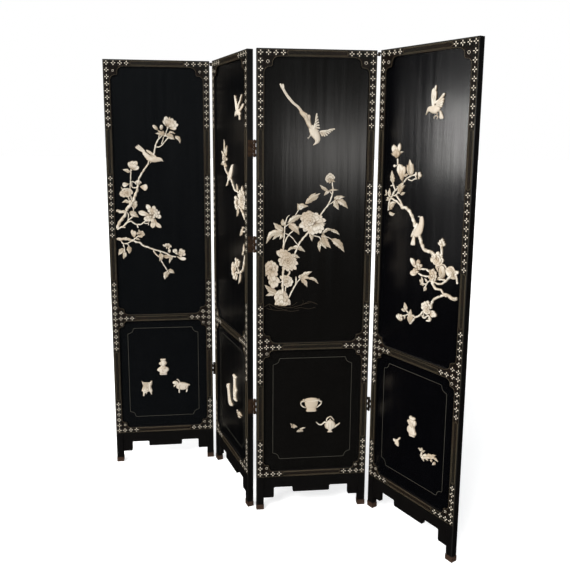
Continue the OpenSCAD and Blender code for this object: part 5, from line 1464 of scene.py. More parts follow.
    # two small sprigs
    c.leafs([(146, 364, 137, 376, 6), (150, 364, 153, 371, 8), (149, 363, 154, 352, 9), (147, 361, 141, 357, 6), (146, 363, 166, 358, 12, 0.05)], veins=2)
    c.leafs([(178, 344, 163, 338, 10), (180, 346, 176, 335, 8), (182, 345, 190, 338, 9), (176, 347, 182, 353, 6), (176, 343, 199, 354, 9, 0.1)], veins=2)
    o = c.obj("vessels_3", IVORY, "carved_stone", 46)
    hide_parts("carvings_3")

    # faint painted grass at the foot of the rock
    g = Relief(3)
    for i, path in enumerate((
            [(31, 862), (50, 872), (64, 866), (78, 858), (96, 852)],
            [(70, 866), (100, 860), (130, 856), (160, 862), (186, 870), (214, 876)],
            [(186, 870), (206, 880), (222, 876), (240, 868)],
            [(96, 856), (112, 846), (140, 842), (168, 846)],
            [(40, 856), (60, 850), (90, 846), (120, 850)],
            [(130, 858), (146, 868), (160, 878)],
            [(150, 852), (176, 856), (204, 850), (232, 856)],
            [(60, 852), (52, 864), (50, 876)],
            [(176, 862), (184, 876), (182, 888)])):
        p, _ = spline(path, 3.0)
        g.wire(p, 1.9 - 0.12 * i, 0.14)
    g.obj("painted_grass_3", BRUSH_GOLD, "aged_brass", 30)


carve_3()

# ---- leaf 3 ends
# ---- leaf 4 begins
def carve_4():
    """Magnolia-like spray with a perched bird, a flying bird, vase, small bird and leafy twig."""
    s = Relief(4)
    # twigs, top to bottom
    s.twig([(102, 1447), (104, 1436), (104, 1424)], 6.4, 6.0, seed=0.1)
    s.twig([(86, 1419), (96, 1421), (106, 1426), (116, 1425), (122, 1421)], 4.2, 4.0, seed=0.2)
    s.twig([(130, 1368), (132, 1376), (134, 1384)], 4.0, 4.0)
    s.twig([(140, 1364), (148, 1374), (160, 1382), (174, 1388), (190, 1393), (204, 1397)], 6.4, 4.6, seed=0.3)
    s.twig([(160, 1377), (170, 1373), (180, 1372), (190, 1378), (204, 1379)], 4.6, 4.4, seed=0.4)
    s.twig([(192, 1393), (198, 1386), (202, 1379)], 4.4, 4.2)
    s.twig([(82, 1360), (86, 1348), (94, 1336), (98, 1330)], 5.6, 6.4, seed=0.5)
    s.twig([(70, 1346), (77, 1348), (84, 1352)], 4.0, 4.2)
    s.twig([(112, 1343), (103, 1336), (92, 1327), (85, 1316), (79, 1304)], 5.6, 8.6, seed=0.6)
    s.twig([(88, 1314), (96, 1312), (104, 1318), (112, 1328)], 6.4, 5.6, seed=0.7)
    s.twig([(100, 1316), (112, 1305), (124, 1294), (134, 1281), (138, 1270)], 6.0, 7.4, seed=0.8)
    s.twig([(78, 1301), (92, 1296), (108, 1291), (124, 1282), (134, 1272)], 6.6, 8.0, seed=0.9)
    s.twig([(80, 1302), (70, 1296), (65, 1282), (64, 1268), (62, 1254)], 6.6, 6.0, seed=1.1)
    s.twig([(60, 1314), (68, 1308), (78, 1302)], 4.4, 5.0)
    s.twig([(132, 1270), (146, 1273), (160, 1270), (176, 1259), (189, 1242), (199, 1224), (205, 1208)], 11.0, 14.0, seed=1.2, bark=0.35, h_max=5.6)
    s.twig([(226, 1182), (234, 1164), (243, 1146), (256, 1132), (276, 1130), (294, 1126), (312, 1113)], 14.0, 12.5, seed=1.3, bark=0.5, h_max=5.4)
    s.twig([(368, 1087), (384, 1090), (396, 1082), (404, 1068), (408, 1053), (413, 1038)], 9.0, 8.0, seed=1.4, bark=0.35, rise=0.34, h_max=5.2)
    s.twig([(398, 1076), (406, 1078), (414, 1074)], 12.0, 13.0, seed=1.5, bark=0.3, rise=0.34, h_max=4.8)
    s.twig([(402, 1066), (408, 1074)], 8.0, 7.0)
    s.twig([(386, 1066), (374, 1052), (362, 1040), (350, 1030), (338, 1024), (324, 1022), (308, 1026)], 9.0, 6.2, seed=1.6)
    s.twig([(330, 1038), (346, 1042), (360, 1040)], 7.0, 7.0)
    s.twig([(238, 1060), (252, 1062), (266, 1064), (284, 1058)], 7.0, 7.4, seed=1.7)
    s.twig([(230, 1043), (244, 1039), (262, 1038), (284, 1041)], 6.0, 6.4, seed=1.8)
    s.twig([(300, 1034), (301, 1020), (307, 1010), (318, 1003), (332, 1003), (340, 1006)], 12.0, 6.5, seed=1.9)
    s.twig([(338, 1006), (346, 998), (354, 990)], 6.4, 6.8)
    s.twig([(352, 989), (368, 990), (384, 986), (398, 982), (415, 989)], 12.5, 14.0, seed=2.0, bark=0.9, h_max=5.6)
    s.twig([(358, 988), (344, 982), (328, 974), (314, 966), (304, 954), (300, 942), (297, 926)], 9.0, 8.4, seed=2.1, bark=0.2)
    s.twig([(286, 1025), (277, 1018), (271, 1008), (265, 996)], 5.0, 5.6, seed=2.2)
    s.twig([(272, 1012), (260, 1009), (250, 1009)], 4.6, 5.0)
    s.twig([(262, 908), (252, 896), (243, 887), (232, 881), (221, 874), (213, 862), (204, 851), (198, 846)], 8.0, 5.6, seed=2.3)
    s.twig([(222, 878), (212, 879), (204, 880)], 4.2, 4.0)
    s.twig([(190, 882), (178, 875), (166, 869), (152, 866)], 5.0, 4.6, seed=2.4)
    s.twig([(186, 886), (176, 892), (172, 898)], 4.0, 4.0)
    s.twig([(268, 888), (263, 897), (268, 904), (276, 901)], 3.0, 2.8, knots=0.0)
    s.twig([(278, 894), (271, 885), (262, 886), (258, 894)], 6.4, 6.4, knots=0.0)
    # top flower, seen from the side
    s.ring(99, 1446, [(81, 1495, 25, 0.15, 0.08), (95, 1489, 19, 0.3), (112, 1500, 17, 0.02, -0.03)], 1.8, 4.4, ridges=6, kind="drop")
    s.leafs([(100, 1457, 66, 1465, 9, 0.05, 0.3), (106, 1466, 131, 1473, 8, 0.0)])
    s.ring(99, 1446, [(81, 1472, 16, 1.0), (91, 1478, 17, 1.0), (102, 1478, 16, 1.0), (112, 1471, 13, 1.0)], 3.4, 5.4, cup=0.4, kind="drop")
    s.dome(87, 1420, 5.6, 4.6, squash=0.95, stain=0.1)
    s.dome(89, 1418, 2.8, 5.8, low=3.6)
    # heart-shaped bud: two pointed lobes
    s.petal(133, 1362, 114, 1427, 36, 1.8, 5.2, kind="drop", stain=0.15, notch=0.0)
    s.petal(132, 1366, 139, 1421, 22, 2.2, 5.4, kind="drop", stain=0.35, notch=0.0)
    s.leafs([(131, 1368, 117, 1417, 14, 0.06, 0.35), (132, 1368, 131, 1414, 9, -0.05, 0.8)], lo=3.4, hi=6.2)
    s.leafs([(137, 1387, 160, 1393, 12, 0.0, 0.35)], hi=4.6)
    # lower and side buds
    s.leafs([(115, 1321, 138, 1364, 26, 0.10, 0.2)], veins=7, hi=5.0)
    s.leafs([(117, 1324, 113, 1352, 13, 0.05, 0.5), (122, 1332, 145, 1354, 11, 0.05, 0.1)], lo=2.6, hi=5.6)
    s.leafs([(119, 1324, 131, 1352, 13, 0.0, 0.75)], lo=3.4, hi=6.3)
    s.leafs([(116, 1342, 101, 1346, 8, 0.0)])
    s.leafs([(123, 1318, 148, 1328, 12, 0.0, 0.05)], hi=4.8)
    s.dome(117, 1325, 5.2, 5.0, stain=0.4)
    s.leafs([(82, 1356, 74, 1403, 23, 0.02, 0.1)], veins=7, hi=5.0)
    s.leafs([(82, 1358, 77, 1392, 9, 0.0, 0.3)], lo=3.2, hi=5.8)
    s.leafs([(173, 1387, 164, 1446, 31, 0.0, 0.15)], veins=8, hi=5.0)
    s.leafs([(171, 1389, 153, 1427, 14, 0.05, 0.3), (176, 1390, 182, 1431, 13, -0.04, 0.1)], lo=2.6, hi=5.2)
    s.leafs([(172, 1390, 165, 1432, 13, 0.0, 0.5)], lo=3.4, hi=6.2)
    s.ring(200, 1382, [(200, 1403, 9, 0.1)], 1.8, 4.2, kind="drop")
    s.ring(208, 1379, [(219, 1404, 13, 0.05), (226, 1396, 10, 0.1), (218, 1385, 9, 0.2)], 1.8, 4.8, kind="drop")
    # leaves at the left
    s.leafs([(66, 1302, 65, 1338, 14, 0.0), (66, 1312, 57, 1322, 7, 0.0)], lo=2.0)
    s.leafs([(50, 1316, 45, 1331, 9, 0.05), (56, 1318, 38, 1308, 8, 0.0), (46, 1318, 58, 1322, 6, 0.0)])
    s.leafs([(68, 1301, 48, 1291, 12, 0.05), (66, 1300, 50, 1302, 8, 0.0)])
    s.leafs([(61, 1256, 102, 1290, 25, 0.10, 0.15), (66, 1248, 98, 1246, 14, -0.16), (68, 1246, 92, 1242, 10, 0.0)])
    s.leafs([(66, 1262, 97, 1286, 12, 0.05, 0.6)], lo=3.0, hi=5.6)
    # big bloom with trumpet flower above it
    s.leafs([(312, 1106, 282, 1108, 10, 0.0, 0.1)])
    s.ring(318, 1106, [(292, 1119, 20, 0.3), (287, 1102, 19, 0.4), (302, 1090, 17, 0.35), (322, 1084, 21, 0.2), (342, 1095, 20, 0.1),
                       (347, 1109, 20, 0.05), (338, 1128, 20, 0.0), (321, 1136, 19, 0.05), (305, 1126, 17, 0.2)], 1.4, 3.8, ridges=5)
    s.ring(319, 1107, [(303, 1115, 19, 0.5), (307, 1098, 19, 0.6), (326, 1093, 20, 0.25), (338, 1106, 18, 0.1), (329, 1121, 19, 0.05)], 3.0, 5.2, ridges=4)
    s.ring(318, 1107, [(311, 1104, 12, 0.9), (320, 1100, 12, 0.6), (324, 1112, 12, 0.35)], 4.4, 6.2, ridges=3)
    s.twig([(338, 1126), (335, 1144), (334, 1162)], 9.0, 11.5, knots=0.0, rise=0.5, h_max=4.4)
    s.ring(335, 1153, [(320, 1168, 9, 0.1, -0.05), (328, 1178, 12, 0.1), (338, 1184, 13, 0.0), (352, 1168, 9, 0.1, 0.05), (346, 1176, 9, 0.1)], 1.8, 4.8, ridges=3)
    s.leafs([(335, 1140, 336, 1168, 7, 0.0, 0.6)], lo=3.2, hi=5.4)
    s.leafs([(310, 1088, 322, 1064, 12, 0.05, 0.2)])
    # wrapped oval bud under an arching leaf
    s.twig([(325, 1078), (332, 1089), (344, 1094), (356, 1089), (362, 1078)], 5.0, 5.0, knots=0.0, stain=0.3, h_max=4.2)
    s.petal(342, 1040, 343, 1091, 32, 1.8, 4.8, kind="round", stain=0.05, notch=0.0)
    s.leafs([(340, 1044, 335, 1086, 15, 0.06, 0.25), (343, 1044, 351, 1086, 14, -0.06, 0.0)], lo=3.0, hi=6.0)
    s.leafs([(332, 1076, 328, 1050, 10, 0.0, 0.4)])
    s.petal(406, 1056, 360, 1082, 35, 2.0, 4.8, kind="round", stain=0.05, notch=0.0)
    s.petal(396, 1062, 374, 1080, 15, 3.6, 5.8, kind="round", stain=0.35, notch=0.0)
    s.leafs([(322, 1036, 344, 1048, 11, 0.1, 0.1), (340, 1044, 360, 1036, 9, 0.0, 0.1)])
    # pink-tan bloom at the left, with its twigs
    s.ring(216, 1058, [(191, 1092, 21, 0.0, -0.05)], 1.8, 4.8, ridges=6, kind="round")
    s.ring(226, 1056, [(229, 1093, 20, 0.85), (247, 1078, 14, 0.6), (191, 1037, 23, 0.45, 0.12), (206, 1042, 16, 0.8)], 1.6, 4.4, kind="round")
    s.ring(224, 1056, [(232, 1082, 18, 0.55), (240, 1066, 15, 0.6), (206, 1050, 15, 0.85), (216, 1072, 13, 0.5), (226, 1044, 13, 0.6)], 3.2, 5.4)
    s.dome(231, 1074, 5.0, 6.2, low=4.0, stain=0.15)
    s.dome(222, 1056, 3.6, 6.2, low=4.0, stain=0.7)
    # tan bloom in the middle
    s.ring(298, 1036, [(286, 1066, 14, 0.9), (302, 1072, 17, 0.5), (315, 1064, 15, 0.3), (320, 1050, 14, 0.3), (316, 1036, 14, 0.1), (304, 1018, 18, 0.15),
                       (290, 1024, 15, 0.5), (280, 1042, 13, 0.9)], 1.6, 4.0, ridges=7)
    s.ring(298, 1042, [(289, 1058, 13, 1.0), (302, 1062, 14, 0.8), (311, 1050, 13, 0.5), (307, 1034, 13, 0.4), (292, 1032, 12, 0.8)], 3.2, 5.4)
    s.dome(297, 1046, 4.4, 6.2, low=4.4, stain=0.35)
    s.leafs([(248, 1005, 246, 1034, 15, -0.05), (262, 1006, 240, 1004, 13, -0.1), (244, 1010, 238, 1022, 9, 0.0)])
    s.leafs([(276, 1014, 261, 1030, 10, -0.06), (268, 1002, 260, 983, 15, 0.05)])
    # lower bloom
    s.ring(280, 920, [(254, 936, 20, 0.1), (268, 946, 19, 0.05), (283, 952, 18, 0.05), (296, 940, 17, 0.05), (253, 922, 15, 0.1), (264, 906, 16, 0.2),
                      (278, 900, 18, 0.2), (296, 908, 18, 0.1)], 1.4, 3.8, ridges=7)
    s.ring(280, 920, [(265, 931, 15, 0.25), (279, 939, 15, 0.2), (291, 930, 14, 0.15), (292, 916, 14, 0.2), (280, 909, 14, 0.3), (267, 916, 13, 0.3)], 3.0, 5.0)
    s.ring(280, 922, [(273, 927, 9, 0.4), (284, 929, 9, 0.4), (288, 921, 9, 0.35), (280, 914, 9, 0.4), (272, 919, 9, 0.45)], 4.6, 6.1)
    s.ring(292, 912, [(318, 916, 15, 0.1), (326, 906, 20, 0.15), (312, 899, 15, 0.2)], 1.8, 4.4, kind="round")
    s.twig([(280, 893), (290, 898), (298, 890), (294, 880), (280, 878)], 6.4, 7.6, knots=0.0, rise=0.7)
    s.ring(286, 882, [(299, 893, 11, 0.15)], 2.6, 4.6, kind="round")
    # diamond leaf, side leaves and end buds
    s.leafs([(198, 845, 196, 899, 30, 0.0, 0.5)], veins=5)
    s.leafs([(199, 868, 199, 902, 13, 0.0, 0.1)], lo=2.2, hi=4.6)
    s.leafs([(178, 892, 165, 921, 18, 0.05), (172, 888, 150, 891, 14, -0.05), (190, 884, 176, 892, 8, 0.0), (169, 872, 168, 856, 9, 0.0), (206, 880, 222, 879, 7, 0.05)])
    s.ring(148, 842, [(129, 864, 12, 0.05, 0.06), (138, 870, 13, 0.1), (152, 871, 14, 0.1), (159, 860, 9, 0.1, -0.05)], 1.8, 4.6, ridges=5, kind="drop")
    s.ring(148, 843, [(147, 862, 12, 0.3)], 3.4, 5.2, kind="round")
    o = s.obj("magnolia_spray_4", IVORY, "carved_stone", 46)
    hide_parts("carvings_4")

    # flying bird
    b = Relief(4)
    b.feather(300, 1612, 306, 1583, 9.0, 3.4, 3.0, kind="feather", bend=0.05)
    b.feather(298, 1612, 300, 1586, 8.0, 3.0, 2.6, kind="feather", bend=0.1)
    b.feather(302, 1608, 313, 1584, 8.0, 2.8, 2.4, kind="feather", bend=0.02)
    b.twig([(285, 1604), (286, 1597), (285, 1593)], 3.0, 2.8, knots=0.0, stain=0.3)
    b.twig([(286, 1594), (279, 1595), (273, 1591), (273, 1585)], 3.4, 2.6, knots=0.0, stain=0.35)
    b.twig([(286, 1594), (290, 1591), (287, 1586), (284, 1584)], 3.6, 2.6, knots=0.0, stain=0.35)
    # far wing, pointing right
    for i, (tx, tz, w) in enumerate(((308, 1625, 7), (311, 1632, 7), (314, 1641, 7), (315, 1650, 7.5), (317, 1667, 8.5))):
        b.feather(285, 1630 + 2.2 * i, tx, tz, w + 1.5, 3.0 + 0.35 * i, 2.6 + 0.3 * i, bend=-0.03)
    for i, (tx, tz, w) in enumerate(((298, 1628, 8), (301, 1635, 8), (303, 1643, 8), (302, 1651, 8))):
        b.feather(281, 1628 + 2.6 * i, tx, tz, w, 4.2 + 0.25 * i, 3.6 + 0.25 * i, stain=0.3)
    b.body([(276, 1638, 5.0, 5.6), (288, 1642, 5.0, 5.6), (300, 1650, 3.6, 5.0), (309, 1659, 2.2, 4.0)], relief=plumage, step=1.0, cols=13, low=2.2)
    # body with head and bill
    rows = [(296, 1612, 6.0, 4.0), (290, 1616, 10.5, 5.4), (280, 1616.5, 15.0, 6.4), (268, 1616, 13.8, 6.6), (256, 1617, 10.8, 6.3), (248, 1616.5, 8.6, 6.0), (243, 1612, 5.0, 5.2),
            (239, 1606, 2.6, 4.0), (234, 1599, 1.2, 2.6)]
    b.body(rows, relief=plumage, step=1.1, cols=17, low=0.8, stain=0.5)
    # near wing, straight up
    b.feather(266, 1634, 262, 1683, 9.0, 4.0, 3.0, bend=0.04)
    b.feather(272, 1632, 277, 1695, 9.5, 4.6, 3.6, bend=0.06)
    b.feather(268, 1632, 267, 1686, 9.0, 4.4, 3.2, bend=0.05)
    b.feather(265, 1634, 261, 1672, 7.5, 4.6, 3.8, bend=0.04)
    b.feather(275, 1632, 277, 1676, 8.0, 5.0, 4.0, bend=-0.02)
    b.feather(269, 1630, 269, 1662, 9.0, 5.4, 4.8, bend=0.02, stain=0.12)
    b.body([(270, 1624, 5.0, 6.0), (268, 1634, 6.6, 6.6), (266, 1644, 5.6, 6.2), (265, 1652, 3.0, 5.4)], relief=plumage, step=1.0, cols=13, low=3.2)
    b.eye(247, 1619, 5.8, 1.2)
    # perched bird
    b.feather(201, 1184, 189, 1140, 9.0, 3.0, 2.6, bend=0.02)
    b.feather(203, 1184, 204, 1141, 9.0, 3.0, 2.6, bend=-0.02)
    b.feather(202, 1186, 197, 1140, 9.0, 3.8, 3.0)
    rows = [(232, 1249, 7.0, 4.2), (234, 1240, 9.2, 5.6), (235, 1228, 10.4, 6.0), (232, 1216, 13.0, 6.3), (225, 1203, 17.0, 6.6), (219, 1193, 16.5, 6.5),
            (211, 1184, 13.5, 6.0), (205, 1177, 8.0, 4.8)]
    b.body(rows, relief=plumage, step=1.1, cols=19, low=0.8, stain=0.55)
    b.body([(226, 1247, 3.4, 5.0), (221, 1248, 2.0, 4.0), (217, 1247, 0.7, 2.8)], step=0.9, cols=9, low=0.8)
    b.feather(214, 1216, 187, 1170, 8.0, 3.6, 3.0, bend=-0.03, stain=0.1)
    b.feather(216, 1216, 192, 1172, 8.0, 4.4, 3.6, bend=-0.03, stain=0.3)
    b.feather(219, 1215, 198, 1176, 8.5, 5.2, 4.2, bend=-0.03, stain=0.4)
    b.feather(214, 1217, 203, 1188, 9.0, 5.8, 5.2, bend=-0.03, stain=0.35)
    b.body([(217, 1222, 5.0, 6.0), (212, 1213, 6.6, 6.8), (207, 1203, 5.0, 6.4), (203, 1194, 2.4, 5.6)], relief=plumage, step=1.0, cols=13, low=3.2)
    b.eye(229, 1241, 5.6, 1.2)
    b.twig([(216, 1180), (222, 1172), (228, 1168)], 3.0, 2.6, knots=0.0, stain=0.2)
    o = b.obj("birds_4", IVORY, "carved_stone", 46)
    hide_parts("carvings_4")

    # vase, small bird and leafy twig
    c = Relief(4)

    def flutes(x, z, d):
        return 0.28 * math.cos((x - 229) * 0.85) * clamp((z - 418) / 10) * clamp((474 - z) / 8) + 0.30 * math.sin(z * 0.9) * (1 if 446 < z < 456 else 0)

    c.cameo([(217, 486), (222, 488), (230, 486), (240, 487), (246, 483), (243, 477), (249, 472), (251, 464), (248, 456), (243, 449), (244, 441), (248, 432),
             (253, 424), (250, 417), (246, 412), (244, 407), (232, 405), (219, 404), (217, 410), (214, 417), (208, 420), (206, 430), (208, 440), (214, 448),
             (209, 456), (205, 462), (208, 468), (216, 472), (214, 480)], 6.2, edge=9.0, low=1.0, step=1.5,
            cuts=[[(216, 476), (230, 475), (244, 476)], [(210, 450), (230, 447), (246, 450)], [(212, 419), (230, 415), (250, 418)],
                  [(220, 472), (223, 462), (220, 452)], [(240, 472), (238, 462), (241, 452)]], cut=0.9, relief=flutes, stain=0.3)
    c.ring(229, 442, [(222, 460, 9, 0.6), (236, 460, 9, 0.6), (229, 464, 9, 0.5)], 5.0, 6.6, kind="round", notch=0.0)
    c.leafs([(212, 464, 222, 472, 7, 0.0), (248, 464, 238, 470, 7, 0.0), (214, 424, 224, 414, 8, 0.0), (247, 424, 236, 414, 8, 0.0)], lo=3.6, hi=5.6)
    c.feather(152, 354, 171, 377, 7.0, 3.4, 2.8)
    rows = [(156, 362, 3.0, 3.4), (154, 356, 8.5, 4.8), (153, 350, 11.0, 5.4), (156, 344, 9.5, 5.2), (160, 339, 5.0, 4.2), (162, 336, 1.6, 3.0)]
    c.body(rows, relief=plumage, step=1.0, cols=15, low=0.8, stain=0.2)
    c.body([(146, 352, 5.0, 5.0), (140, 354, 5.6, 5.2), (135, 358, 1.6, 3.4)], relief=smooth_down, step=1.0, cols=11, low=0.8)
    c.feather(152, 352, 146, 341, 7.0, 4.6, 3.8, stain=0.2)
    c.eye(141, 355, 4.8, 1.0)
    c.twig([(284, 346), (285, 358), (287, 368)], 6.0, 5.4, seed=0.2)
    c.twig([(286, 344), (300, 348), (316, 356), (334, 362), (348, 370)], 9.0, 6.0, seed=0.3, stain=0.2)
    c.leafs([(286, 368, 266, 374, 12, -0.05), (285, 366, 284, 383, 12, 0.0), (288, 366, 300, 377, 8, 0.0), (284, 362, 279, 352, 8, 0.0)])
    c.leafs([(286, 356, 298, 333, 17, -0.06), (292, 350, 322, 358, 20, 0.08), (280, 356, 288, 342, 14, 0.0), (304, 352, 318, 344, 12, 0.0)], lo=1.8, hi=4.6)
    c.leafs([(312, 356, 342, 372, 20, 0.05, 0.35), (330, 366, 354, 381, 10, 0.05, 0.1), (340, 366, 366, 361, 10, 0.1, 0.2), (330, 356, 337, 347, 11, 0.0, 0.05),
             (352, 354, 339, 336, 11, 0.05, 0.0)], lo=1.8, hi=4.8)
    o = c.obj("vessels_4", IVORY, "carved_stone", 46)
    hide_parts("carvings_4")


carve_4()

# ---- leaf 4 ends
# ---- leaf 1 begins
def carve_1():
    """Camellia-like spray with a bird on it, gourd vase, tripod vessel and goat."""
    s = Relief(1)
    # stems, top to bottom
    s.twig([(253, 1506), (259, 1525), (267, 1546)], 5.0, 4.6, seed=0.1)
    s.twig([(204, 1428), (210, 1455), (213, 1470), (222, 1490), (232, 1502), (241, 1511)], 8.0, 5.4, seed=0.2)
    s.twig([(213, 1462), (232, 1464), (248, 1480), (262, 1496), (270, 1503)], 5.6, 5.0, seed=0.3)
    s.twig([(238, 1474), (246, 1498), (248, 1508)], 4.4, 4.0, stain=0.3)
    s.twig([(248, 1513), (260, 1510), (272, 1503)], 5.2, 4.6, stain=0.2)
    s.twig([(229, 1514), (228, 1506), (228, 1498)], 4.6, 4.2, stain=0.2)
    s.twig([(182, 1391), (176, 1384), (160, 1362), (147, 1342), (136, 1320), (133, 1300), (129, 1284)], 7.0, 9.6, seed=0.4)
    s.twig([(130, 1288), (128, 1272), (120, 1255), (114, 1238), (108, 1222)], 10.0, 15.0, seed=0.5, bark=0.3, stain=0.3)
    s.twig([(129, 1272), (134, 1270)], 6.0, 4.6)
    s.twig([(104, 1362), (102, 1330), (100, 1300), (97, 1275), (96, 1258)], 5.6, 5.0, seed=0.6, stain=0.25)
    s.twig([(100, 1300), (104, 1309), (112, 1311), (120, 1306), (126, 1298)], 4.6, 5.6, seed=0.7)
    s.twig([(107, 1306), (105, 1294), (109, 1286), (118, 1284), (128, 1286)], 4.4, 6.0, seed=0.8)
    s.twig([(99, 1300), (96, 1303)], 5.0, 5.0)
    s.twig([(85, 1248), (90, 1240), (93, 1230)], 5.0, 5.0, seed=0.9)
    s.twig([(100, 1250), (101, 1241), (103, 1230)], 5.0, 5.4)
    s.twig([(104, 1222), (97, 1208), (86, 1197), (78, 1182)], 15.0, 14.5, seed=1.0, bark=0.45, stain=0.2, h_max=5.0)
    s.twig([(76, 1180), (58, 1178), (35, 1184)], 12.5, 14.5, seed=1.1, bark=0.45, stain=0.3, h_max=4.6)
    s.twig([(77, 1182), (70, 1160), (53, 1139), (41, 1119), (38, 1099)], 13.5, 14.0, seed=1.2, bark=0.5, stain=0.25, h_max=5.2)
    s.twig([(38, 1100), (50, 1108), (62, 1111), (72, 1108)], 7.5, 8.0, seed=1.3)
    s.twig([(62, 1112), (75, 1125), (86, 1140), (98, 1151), (108, 1157)], 9.0, 6.4, seed=1.4, stain=0.35)
    s.twig([(80, 1130), (90, 1135), (98, 1138)], 7.5, 6.6)
    s.twig([(97, 1138), (110, 1127), (125, 1121), (140, 1122), (152, 1130), (163, 1141)], 6.2, 5.8, seed=1.5)
    s.twig([(124, 1121), (125, 1113), (128, 1106)], 5.6, 6.6)
    s.twig([(152, 1129), (160, 1126), (170, 1126), (176, 1130)], 4.6, 4.2)
    s.twig([(170, 1127), (173, 1122), (173, 1117)], 3.6, 4.2)
    s.twig([(80, 1178), (86, 1168), (87, 1156), (84, 1144)], 4.6, 4.4, seed=1.6)
    s.twig([(102, 1206), (110, 1192), (108, 1180), (100, 1176)], 5.2, 4.4, seed=1.7, stain=0.4)
    s.twig([(33, 1057), (52, 1056), (74, 1057), (92, 1052), (108, 1048)], 14.5, 9.6, seed=1.8, bark=0.5, stain=0.3, h_max=4.8)
    s.twig([(70, 1060), (78, 1062)], 8.0, 7.0, stain=0.3)
    s.twig([(104, 1049), (120, 1042), (136, 1038), (145, 1027), (166, 1019), (196, 1007), (226, 998), (252, 988)], 8.6, 6.4, seed=1.9)
    s.twig([(106, 1050), (112, 1058), (122, 1066), (130, 1072)], 6.4, 5.0)
    s.twig([(50, 1050), (60, 1037), (76, 1036), (90, 1043), (99, 1048)], 5.0, 5.4, seed=2.0)
    s.twig([(60, 1037), (64, 1020), (66, 996)], 5.0, 5.0, seed=2.1)
    s.twig([(78, 1034), (83, 1028), (86, 1020)], 4.0, 4.2)
    s.twig([(192, 1010), (195, 996), (204, 984), (216, 973)], 6.4, 6.0, seed=2.2)
    s.twig([(222, 999), (222, 990)], 5.0, 4.6)
    s.twig([(252, 989), (262, 980), (276, 975), (291, 972)], 6.4, 5.6, seed=2.3)
    s.twig([(224, 958), (236, 936), (249, 914), (252, 904)], 5.4, 5.0, seed=2.4)
    # fan-shaped bloom at the top
    s.ring(266, 1545, [(247, 1577, 9, 0.25, 0.05), (276, 1592, 8, 0.4), (261, 1594, 21, 0.1, 0.06), (289, 1585, 21, 0.05), (303, 1574, 19, 0.05),
                       (312, 1560, 18, 0.0), (304, 1545, 17, 0.05, -0.06)], 1.6, 4.4, kind="drop", ridges=8)
    s.ring(266, 1546, [(263, 1580, 13, 0.5), (276, 1577, 14, 0.75), (289, 1569, 15, 0.15), (297, 1558, 13, 0.1), (281, 1556, 11, 0.3)], 3.0, 5.8, kind="drop", cup=0.8)
    s.dome(267, 1547, 4.4, 5.2, stain=0.4)
    # paired buds over a leafy cup
    s.ring(228, 1534, [(203, 1556, 15, 0.0, 0.02)], 1.8, 4.8, kind="round", notch=0.0, cup=-0.9)
    s.ring(226, 1536, [(210, 1550, 7, 0.3)], 4.0, 5.8, kind="round", notch=0.0)
    s.ring(238, 1532, [(241, 1558, 15, 0.0, 0.0)], 1.8, 4.8, kind="round", notch=0.0, cup=-0.9)
    s.ring(239, 1534, [(240, 1552, 7, 0.3)], 4.0, 5.8, kind="round", notch=0.0)
    s.leafs([(252, 1513, 212, 1521, 13, -0.04, 0.1), (252, 1514, 222, 1536, 13, 0.04, 0.2), (252, 1514, 246, 1534, 13, 0.10, 0.4), (250, 1513, 226, 1512, 11, -0.10, 0.25)],
            lo=2.0, hi=5.0)
    s.leafs([(250, 1515, 229, 1528, 13, 0.0, 0.75)], lo=4.0, hi=5.8)
    s.leafs([(258, 1516, 295, 1495, 26, 0.06, 0.25), (272, 1528, 299, 1519, 9, 0.08, 0.05), (296, 1509, 319, 1478, 16, 0.20, 0.1), (272, 1528, 277, 1518, 6, 0.0, 0.2)])
    # cup-shaped flower on its stem
    s.ring(106, 1361, [(97, 1397, 13, 0.1, 0.08), (137, 1378, 19, 0.05, -0.10), (113, 1401, 23, 0.15, 0.04), (129, 1400, 22, 0.1, -0.03)], 1.6, 4.4, kind="drop", ridges=6)
    s.ring(106, 1362, [(112, 1388, 19, 0.45), (126, 1386, 17, 0.25)], 3.2, 5.8, kind="drop", cup=0.2)
    s.leafs([(101, 1352, 68, 1364, 15, -0.05)])
    s.dome(105, 1362, 4.2, 5.2, stain=0.3)
    # leaves and knot bloom
    s.ring(98, 1302, [(66, 1296, 23, 0.15)], 1.8, 4.6, kind="drop", notch=0.04, ridges=5)
    s.ring(134, 1302, [(120, 1311, 12, 0.1), (130, 1318, 11, 0.1), (145, 1312, 15, 0.1), (141, 1303, 10, 0.1)], 2.0, 5.2, kind="drop")
    s.ring(136, 1290, [(173, 1284, 31, 0.1)], 1.8, 4.4, kind="drop", notch=0.05, ridges=5)
    # large side bloom
    s.leafs([(66, 1274, 59, 1289, 6, 0.0, 0.2)])
    s.ring(86, 1261, [(66, 1280, 24, 0.25, 0.05), (84, 1283, 22, 0.15), (102, 1277, 23, 0.05), (52, 1259, 27, 0.65, 0.04), (109, 1266, 20, 0.0), (99, 1249, 19, 0.15),
                      (62, 1248, 21, 0.6), (80, 1244, 22, 0.45)], 1.4, 3.8, kind="drop")
    s.ring(87, 1262, [(67, 1266, 18, 0.8), (80, 1275, 16, 0.35), (97, 1270, 17, 0.0), (97, 1256, 14, 0.2), (78, 1252, 15, 0.7)], 3.0, 5.4, kind="drop")
    s.ring(87, 1262, [(80, 1266, 8, 0.9), (91, 1267, 8, 0.3), (88, 1255, 8, 0.7)], 4.6, 6.2, kind="drop")
    # leaves round the fork
    s.leafs([(104, 1230, 90, 1212, 20, 0.05, 0.1), (106, 1230, 116, 1190, 27, 0.10, 0.12), (94, 1218, 61, 1219, 14, -0.20, 0.0)])
    s.leafs([(92, 1178, 131, 1153, 25, 0.02, 0.2), (94, 1164, 104, 1174, 10, 0.0, 0.3)])
    s.leafs([(102, 1206, 98, 1200, 8, 0.0, 0.6)])
